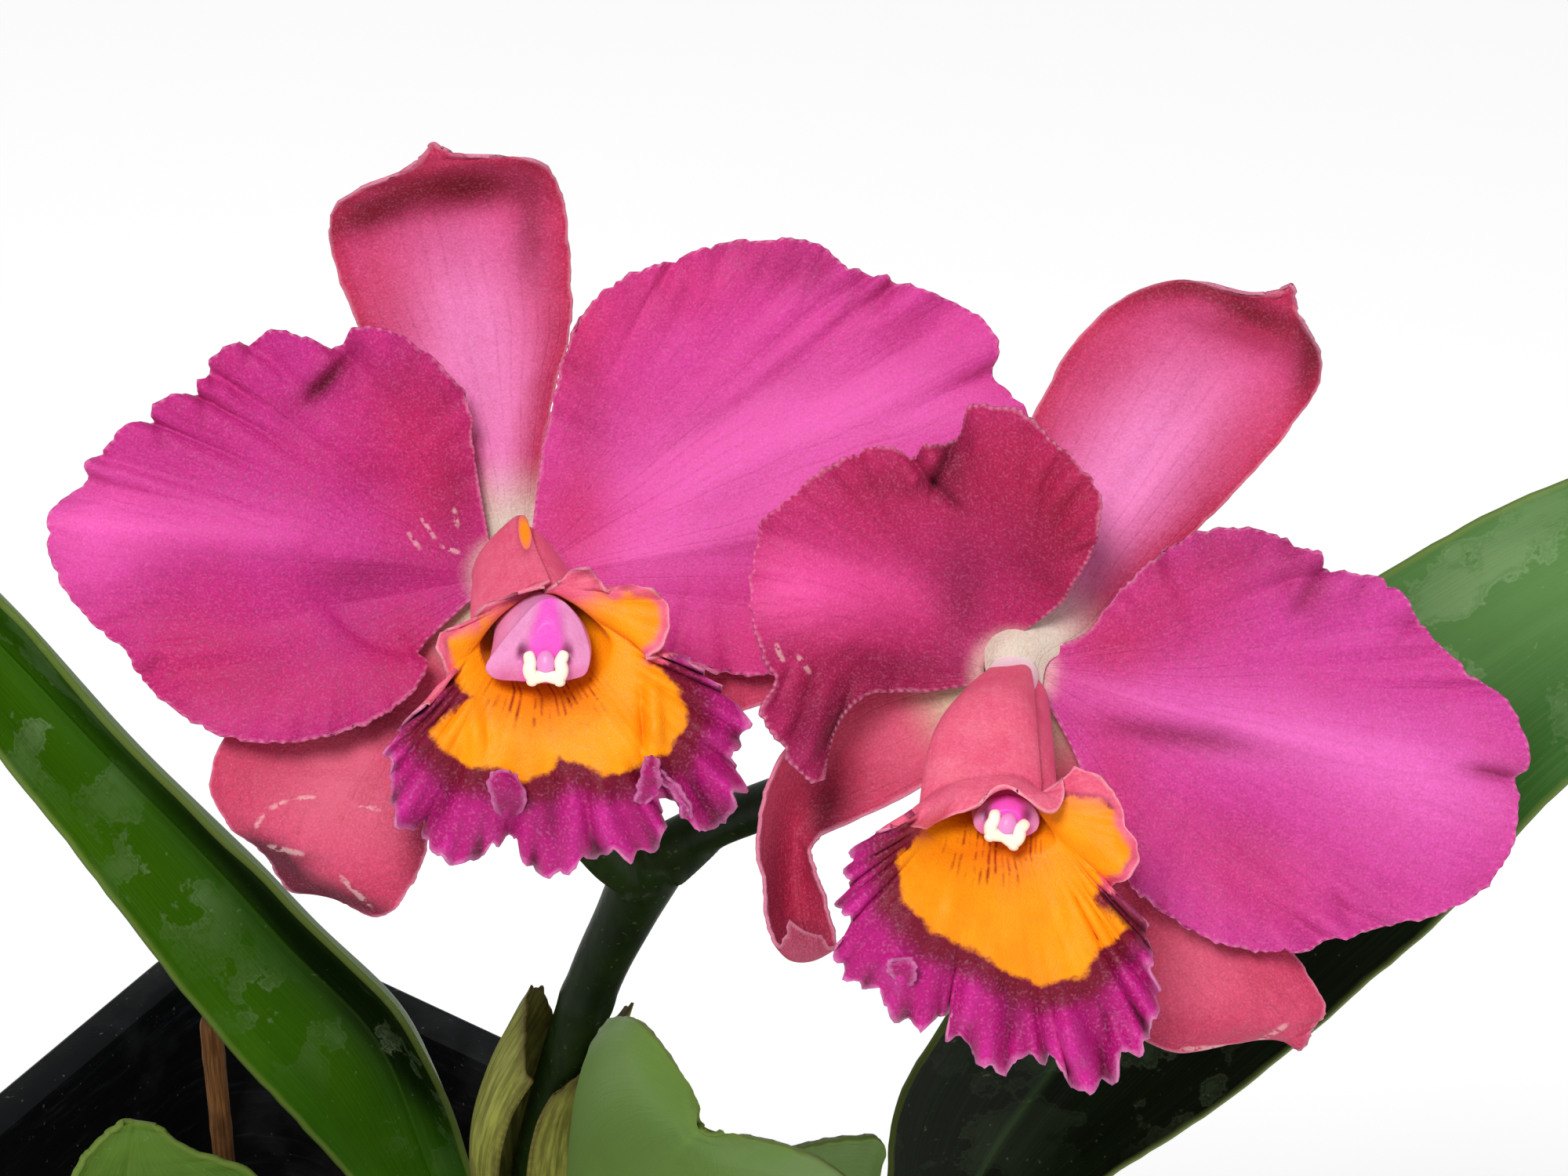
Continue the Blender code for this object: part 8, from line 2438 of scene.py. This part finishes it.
@dataclass
class Mix:
    """The planting mix: a lumpy bed of bark with loose chips on it."""

    height: float = 84.0
    relief: float = 2.6
    gap: float = 0.5
    rings: int = 54
    sides: int = 160
    chips: int = 230
    path_gap: float = 10.5
    bulb_gap: float = 3.0
    bulb_radius: float = 7.5
    stem_radius: float = 7.0
    seed: int = 11
    finish: BarkFinish = BarkFinish("bark_chips", roughness=0.85, specular=0.2)

    def nearest_path(self, x: float, y: float) -> float:
        """Return how far a spot is from the creeping stem's line."""
        path = np.array(RHIZOME)
        nearest = 1e9
        for start, end in zip(path[:-1], path[1:]):
            run = end - start
            share = float(np.clip(np.dot((x, y) - start, run) / np.dot(run, run), 0, 1))
            nearest = min(nearest, float(np.linalg.norm((x, y) - (start + share * run))))
        return nearest

    def surface(self, x: float, y: float) -> float:
        """Return the bed's height at a spot."""
        lumps = noise.noise(Vector((x * 0.11, y * 0.11, 3.7)))
        lumps += 0.6 * noise.noise(Vector((x * 0.27, y * 0.27, 9.1)))
        bed = float(np.clip((self.nearest_path(x, y) - 11.0) / 9.0, 0, 1))
        level = CreepingStem.height - CreepingStem.radius - self.gap
        return level + bed * (self.relief * lumps + self.height - level)

    def chip(self, chance: np.random.Generator, x: float, y: float) -> Skin:
        """Return one bark chip: a lump trimmed by random flat cuts, lying on the bed."""
        lump = bmesh.new()
        bmesh.ops.create_icosphere(lump, subdivisions=3, radius=1.0)
        points = np.array([tuple(v.co) for v in lump.verts])
        faces = [tuple(v.index for v in f.verts) for f in lump.faces]
        lump.free()
        for _ in range(11):
            way = chance.normal(size=3)
            way /= np.linalg.norm(way)
            over = points @ way - chance.uniform(0.42, 0.8)
            points = points - np.clip(over, 0, None)[:, None] * way
        size = np.array([chance.uniform(4.0, 8.5), chance.uniform(2.4, 4.4), chance.uniform(1.2, 2.3)])
        rough = 1 + 0.07 * np.array([noise.noise(Vector(p * 3.1 + np.array([x, y, 0]))) for p in points])
        points = points * rough[:, None] * size
        turn, tilt, roll = chance.uniform(0, 2 * math.pi), chance.normal(0, 0.16), chance.normal(0, 0.2)
        spin = np.array([[math.cos(turn), -math.sin(turn), 0], [math.sin(turn), math.cos(turn), 0],
                         [0, 0, 1]])
        lean = np.array([[math.cos(tilt), 0, math.sin(tilt)], [0, 1, 0],
                         [-math.sin(tilt), 0, math.cos(tilt)]])
        rolled = np.array([[1, 0, 0], [0, math.cos(roll), -math.sin(roll)],
                           [0, math.sin(roll), math.cos(roll)]])
        points = points @ (spin @ lean @ rolled).T
        rest = self.surface(x, y) + size[2] * chance.uniform(0.35, 0.75)
        return points + np.array([x, y, rest]), faces

    def build(self, pot: "Pot") -> None:
        """Build and dress the mix that fills a pot."""
        gap = 2 * (pot.wall + self.gap + 0.3)
        floor = pot.wall + 2.5
        sizes = [(pot.side_at(floor) - gap - 6, pot.corner - 3, floor),
                 (pot.side_at(floor + 3) - gap, pot.corner - 2, floor + 3)]
        rings = [pot.even_ring(side, corner, height, self.sides) for side, corner, height in sizes]
        edge = pot.even_ring(pot.side_at(self.height - 5) - gap, pot.corner - 2, 0.0, self.sides)
        for ring in range(self.rings):
            share = 1 - (ring / self.rings) ** 0.9
            fine = [(x * share, y * share) for x, y, _ in edge]
            rings.append(np.array([(x, y, self.surface(x, y) + 0.5 * noise.noise(
                Vector((x * 0.9, y * 0.9, 1.0)))) for x, y in fine]))
        bodies = [close_rings(rings)]
        chance = np.random.default_rng(self.seed)
        half = pot.side_at(self.height) / 2 - 9.5
        taken = [(*foot[:2], self.bulb_radius) for foot, _, _ in BULBS.values()]
        taken.append((*DRY_STEM_SPOT, self.stem_radius))
        placed = 0
        while placed < self.chips:
            u, v = chance.uniform(-half, half, 2)
            x = u * math.cos(pot.turn) - v * math.sin(pot.turn)
            y = u * math.sin(pot.turn) + v * math.cos(pot.turn)
            body = self.chip(chance, x, y)
            placed += 1
            near_bulb = any(math.hypot(x - a, y - b) < r + self.bulb_gap for a, b, r in taken)
            near_wall = math.hypot(*(pot.flatten(body[0][0])[:2] / half)) > 1.5
            if not near_bulb and not near_wall and self.nearest_path(x, y) >= self.path_gap:
                bodies.append(body)
        thing = add_object("planting_mix", *merge(bodies), self.finish.material())
        place_piece(thing, "bark_mix", Slot.BARK)


@dataclass
class CreepingStem:
    """The creeping stem that joins the bulbs, with its white roots, as one grown piece."""

    height: float = 88.4
    radius: float = 4.2
    root_radius: float = 1.5
    voxel: float = 0.66
    finish: RootFinish = RootFinish("root_skin", roughness=0.75, specular=0.25)

    def root(self, mix: Mix, start: tuple[float, float], bearing: float, length: float) -> Rows:
        """Return a root's (x, y, z, radius) rows, lying along the mix."""
        turn = math.radians(bearing)
        rows = []
        for step in range(9):
            share = step / 8
            sway = 4.0 * math.sin(share * 5.0 + bearing)
            x = start[0] + length * share * math.cos(turn) - sway * share * math.sin(turn)
            y = start[1] + length * share * math.sin(turn) + sway * share * math.cos(turn)
            ground = max(mix.surface(x + dx, y + dy) for dx in (-5, 0, 5) for dy in (-5, 0, 5))
            radius = self.root_radius * (1 - 0.35 * share)
            rows.append((x, y, self.height if step == 0 else ground + radius + 1.5, radius))
        return smooth(np.array(rows), np.linspace(0, 1, 60))

    def build(self, mix: Mix) -> None:
        """Build and dress the creeping stem and its roots."""
        path = smooth(RHIZOME, np.linspace(0, 1, 150))

        def ringed(way: float, angles: Rows) -> Rows:
            """Ring the creeping stem at its nodes and round its ends."""
            closing = math.sqrt(max(0.1, 1 - abs(2 * way - 1) ** 18))
            node = 0.07 * math.cos(way * 95) ** 8
            return closing * (0.97 + node + 0.03 * np.cos(3 * angles + 20 * way))

        def blunt(way: float, angles: Rows) -> Rows:
            """Round a root's tip and let its width waver."""
            closing = math.sqrt(max(0.03, 1 - way ** 26))
            return closing * (1 + 0.06 * math.sin(way * 23) + 0.04 * np.cos(2 * angles + 9 * way))

        bodies = [tube([(x, y, self.height, self.radius) for x, y in path], 40, ringed)]
        for start, bearing, length in ROOTS:
            bodies.append(tube(self.root(mix, start, bearing, length), 24, blunt))
        thing = add_object("creeping_stem", *merge(bodies), self.finish.material())
        weld(thing, self.voxel, 2)
        place_piece(thing, "rhizome", Slot.ROOT)


@dataclass
class DryStick:
    """The slim brown stick in the pot, with its nodes."""

    spot: tuple[float, float]
    radius: float = 1.35
    foot: float = 64.3
    top: float = 152.0
    sides: int = 26
    finish: FibreFinish = FibreFinish("stick_bark", roughness=0.72, specular=0.2, ground="5A3618",
                                      light="8E6238", stain="331C0C", count=26.0, stretch=9.0)

    def build(self) -> None:
        """Build and dress the stick."""
        rows = [(self.spot[0], self.spot[1], z, self.radius)
                for z in np.linspace(self.foot, self.top, 150)]

        def knotted(way: float, angles: Rows) -> Rows:
            """Swell the nodes, groove the bark and taper both ends."""
            closing = 1 - 0.35 * max(0.0, (way - 0.985) / 0.015)
            node = 0.05 * math.cos(way * 26 + 1.0) ** 16
            bark = 0.02 * np.cos(9 * angles)
            return closing * (0.93 + node + bark + 0.02 * np.cos(4 * angles + 14 * way))

        points, faces = tube(rows, self.sides, knotted)
        thing = add_object("stick", points, faces, self.finish.material())
        store_turned(thing, points, self.spot, self.foot, self.top)
        store(thing, "rim", np.clip(self.top - points[:, 2], 0, 9))
        place_piece(thing, "dry_stem", Slot.STICK)


@dataclass
class Pot:
    """The tapered square nursery pot with its turned rim and drain holes."""

    side: float = 140.0
    height: float = 122.0
    foot_side: float = 104.0
    wall: float = 2.0
    corner: float = 13.0
    turn: float = math.radians(-34.0)
    rim_width: float = 3.6
    rim_depth: float = 9.0
    drain_radius: float = 6.0
    drain_offset: float = 27.0
    steps: int = 18
    finish: PotFinish = PotFinish("pot_plastic", roughness=0.4, specular=0.16)

    def side_at(self, height: float) -> float:
        """Return the outer side length at a height."""
        return self.foot_side + (self.side - 2 * self.rim_width - self.foot_side) * height / self.height

    def ring(self, side: float, corner: float, height: float) -> Rows:
        """Return a square ring with round corners, turned as the pot is."""
        half = side / 2 - corner
        flat = []
        for quarter, (sx, sy) in enumerate(((1, 1), (-1, 1), (-1, -1), (1, -1))):
            for step in range(self.steps + 1):
                angle = math.pi / 2 * (quarter + step / self.steps)
                flat.append((sx * half + corner * math.cos(angle), sy * half + corner * math.sin(angle)))
        xy = np.array(flat)
        c, s = math.cos(self.turn), math.sin(self.turn)
        return np.column_stack([xy[:, 0] * c - xy[:, 1] * s, xy[:, 0] * s + xy[:, 1] * c,
                                np.full(len(xy), height)])

    def even_ring(self, side: float, corner: float, height: float, count: int) -> Rows:
        """Return a ring read again at even lengths."""
        ring = self.ring(side, corner, height)
        closed = np.vstack([ring, ring[:1]])
        travelled = np.concatenate([[0], np.cumsum(np.linalg.norm(np.diff(closed, axis=0), axis=1))])
        at = np.linspace(0, travelled[-1], count, endpoint=False)
        return np.column_stack([np.interp(at, travelled, closed[:, k]) for k in range(3)])

    def flatten(self, point: Rows) -> Rows:
        """Turn a point into the pot's own axes."""
        c, s = math.cos(self.turn), math.sin(self.turn)
        return np.array([point[0] * c + point[1] * s, -point[0] * s + point[1] * c, point[2]])

    def profile(self) -> list[tuple[float, float, float]]:
        """Return the wall's profile as (side, corner, height), outside first."""
        under_rim = self.height - self.rim_depth
        inside = 2 * self.wall
        top = self.side - 2 * self.rim_width - inside
        side, corner, height, foot = self.side, self.corner, self.height, self.foot_side
        rows = [(foot - 6, corner - 3, 0.0), (foot - 2, corner - 1, 0.6), (foot - 0.4, corner, 1.8)]
        rows += [(self.side_at(h), corner, h) for h in np.linspace(3.0, under_rim - 0.4, 26)]
        rows += [(self.side_at(under_rim) + 0.6, corner, under_rim), (side - 3.0, corner, under_rim),
                 (side - 2.4, corner, under_rim + 0.4), (side - 1.9, corner, under_rim + 2.4),
                 (side - 2.0, corner, under_rim + 2.9), (side - 0.9, corner, height - 4.0),
                 (side - 0.1, corner, height - 2.4), (side, corner, height - 1.5),
                 (side - 0.4, corner, height - 0.5), (side - 1.6, corner, height),
                 (top + 1.8, corner - 2, height), (top + 0.6, corner - 2, height - 0.4),
                 (top, corner - 2, height - 1.5)]
        rows += [(foot - inside + (top - foot + inside) * s, corner - 2, 4.0 + (height - 5.5) * s)
                 for s in np.linspace(0.97, 0, 14)]
        rows.append((foot - inside - 6, corner - 4, self.wall))
        return rows

    def build(self) -> None:
        """Build and dress the pot."""
        points, faces = close_rings([self.ring(*row) for row in self.profile()])
        thing = add_object("nursery_pot", points, faces, self.finish.material())
        cutters = []
        for quarter in range(4):
            angle = self.turn + math.pi / 4 + math.pi / 2 * quarter
            spot = (self.drain_offset * math.cos(angle), self.drain_offset * math.sin(angle))
            rows = [(*spot, z, self.drain_radius) for z in (-4.0, 0.0, 4.0, 8.0)]
            cutters.append(tube(rows, 48, lambda way, angles: np.ones_like(angles)))
        cutter = add_object("drain_cutter", *merge(cutters), self.finish.material())
        holes = thing.modifiers.new("drains", "BOOLEAN")
        holes.operation = "DIFFERENCE"
        holes.object = cutter
        holes.solver = "EXACT"
        settle(thing)
        bpy.data.objects.remove(cutter, do_unlink=True)
        thing.data.set_sharp_from_angle(angle=math.radians(40))
        place_piece(thing, "pot", Slot.POT)


@dataclass
class Studio:
    """Pale floor, soft light and the camera at the photograph's angle."""

    floor_side: float = 9000.0
    key_place: tuple[float, float, float] = (-0.25, -0.75, 1.5)
    key_side: float = 0.5
    key_power: float = 18.0
    fill_place: tuple[float, float, float] = (1.1, -0.9, 0.6)
    fill_side: float = 1.2
    fill_power: float = 2.6
    world: float = 0.36
    backdrop: float = 0.96

    def floor(self) -> None:
        """Lay the pale floor under the pot."""
        half = self.floor_side / 2
        sheet = [(-half, -half, -0.2), (half, -half, -0.2), (half, half, -0.2), (-half, half, -0.2)]
        thing = add_object("floor", np.array(sheet), [(0, 1, 2, 3)],
                           FloorFinish("floor_pale", roughness=0.9, specular=0.1).material())

    def lamp(self, name: str, place: tuple[float, float, float], aim: tuple[float, float, float],
             side: float, power: float) -> None:
        """Hang a soft square lamp.

        Args:
            name: Its name.
            place: Where it hangs, in metres.
            aim: Where it points, in metres.
            side: Its side in metres.
            power: Its power in watts.
        """
        light = bpy.data.lights.new(name, "AREA")
        light.shape = "SQUARE"
        light.size = side
        light.energy = power
        thing = bpy.data.objects.new(name, light)
        thing.location = place
        thing.rotation_euler = (Vector(aim) - Vector(place)).to_track_quat("-Z", "Y").to_euler()
        bpy.context.scene.collection.objects.link(thing)

    def build(self) -> None:
        """Set the floor, the lights, the world and the camera."""
        scene = bpy.context.scene
        self.floor()
        aim = tuple(np.array(SIGHT.centre) * MM)
        self.lamp("key", self.key_place, aim, self.key_side, self.key_power)
        self.lamp("fill", self.fill_place, aim, self.fill_side, self.fill_power)
        world = bpy.data.worlds.new("studio")
        world.use_nodes = True
        pen = Pen(world.node_tree)
        sky = world.node_tree.nodes["Background"]
        seen = pen.node("ShaderNodeLightPath").outputs["Is Camera Ray"]
        strength = pen.plus(pen.times(seen, self.backdrop - self.world), self.world)
        pen.fill(sky, {"Color": "FFFFFF", "Strength": strength})
        scene.world = world
        scene.view_settings.view_transform = "Standard"
        camera = bpy.data.cameras.new("camera")
        camera.lens = SIGHT.lens
        camera.sensor_width = SIGHT.sensor
        camera.clip_start = 0.01
        camera.clip_end = 50.0
        thing = bpy.data.objects.new("camera", camera)
        thing.location = tuple(SIGHT.eye() * MM)
        thing.rotation_euler = (math.pi / 2 - SIGHT.pitch, 0.0, 0.0)
        scene.collection.objects.link(thing)
        scene.camera = thing


PETAL_FINISHES = {
    "bloom_1.petal_left": VelvetFinish("petal_left_first", 0.55, 0.16, 0.07, "FFA0D8", ground="BC2A82",
                                       light="E455AA", warm="B41A4E", dark="6E1030"),
    "bloom_1.petal_right": VelvetFinish("petal_right_first", 0.55, 0.16, 0.07, "FFA0D8", ground="CE3A92",
                                        light="E760B4", warm="C42A62", dark="7A1636"),
    "bloom_2.petal_left": VelvetFinish("petal_left_second", 0.55, 0.16, 0.06, "FF90C0", ground="B82666",
                                       light="E44A96", warm="A81C46", dark="5C0A1E"),
    "bloom_2.petal_right": VelvetFinish("petal_right_second", 0.55, 0.16, 0.07, "FFA0D8",
                                        ground="C63C94", light="E468BA", warm="BA2A5E", dark="7A1636"),
}
SEPAL_FINISHES = {
    "dorsal": VelvetFinish("sepal_back", 0.55, 0.16, 0.08, "FFB0DC", ground="CE447C",
                                 light="E680BC", warm="B41E40", dark="6E0818", veins=16.0,
                                 vein_strength=0.12, margin_warmth=0.9, margin_reach=3.4,
                                 base="D6D2BC", behind="C9708C"),
    "lateral": VelvetFinish("sepal_low", 0.55, 0.16, 0.06, "FFB0D0", ground="CE4A6C", light="DE6F84",
                               warm="AE2446", dark="5E0A22", veins=16.0, vein_strength=0.07,
                               margin_warmth=0.5, base="CBCFA6", behind="B6506A"),
}


def build_plant() -> None:
    """Build the pot and everything that grows in it, from the ground up."""
    pot = Pot()
    pot.build()
    mix = Mix()
    mix.build(pot)
    CreepingStem().build(mix)
    DryStick(DRY_STEM_SPOT).build()
    for number, (name, (foot, top, radius)) in enumerate(BULBS.items()):
        Bulb(name, foot, top, radius, seed=21 + number).build()
    for number, (name, stations) in enumerate(LEAVES.items()):
        Leaf(name, stations, LEAF_FINISHES[name], seed=31 + 5 * number, **LEAF_TONES[name]).build()
    Sheath(SHEATH_RINGS).build()
    FlowerStem(PEDUNCLE, STALKS).build()


def build_bloom(bloom: str) -> None:
    """Build one bloom from the back forward."""
    for number, (name, stations) in enumerate(SEPALS.items()):
        if name.startswith(bloom):
            kind = "dorsal" if "dorsal" in name else "lateral"
            Sepal(name, stations, SEPAL_FINISHES[kind], seed=71 + 4 * number).build()
    for number, (name, shape) in enumerate(PETALS.items()):
        if name.startswith(bloom):
            Petal(name, finish=PETAL_FINISHES[name], seed=101 + 7 * number, **shape).build()
    lip = LIPS[bloom + ".lip"]
    finish = LipFinish("lip_skin", 0.5, 0.2, 0.05, "FFB0D8")
    Lip(bloom + ".lip", streaks=STREAKS[bloom], finish=finish, seed=141 if bloom == "bloom_1" else 163,
        **lip).build()
    Column(bloom + ".column", COLUMNS[bloom], HEADS[bloom], CAPS[bloom]).build()
    AntherCap(bloom + ".anther_cap", CAPS[bloom], CAP_TURNS[bloom]).build()


def main() -> None:
    """Build the plant, its blooms and the studio, and note the sizes."""
    logging.basicConfig(level=logging.INFO, format="%(name)s: %(message)s")
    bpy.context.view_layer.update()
    build_plant()
    for bloom in BLOOM_MIDDLE:
        build_bloom(bloom)
    Studio().build()
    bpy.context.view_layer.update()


if __name__ == "__main__":
    main()
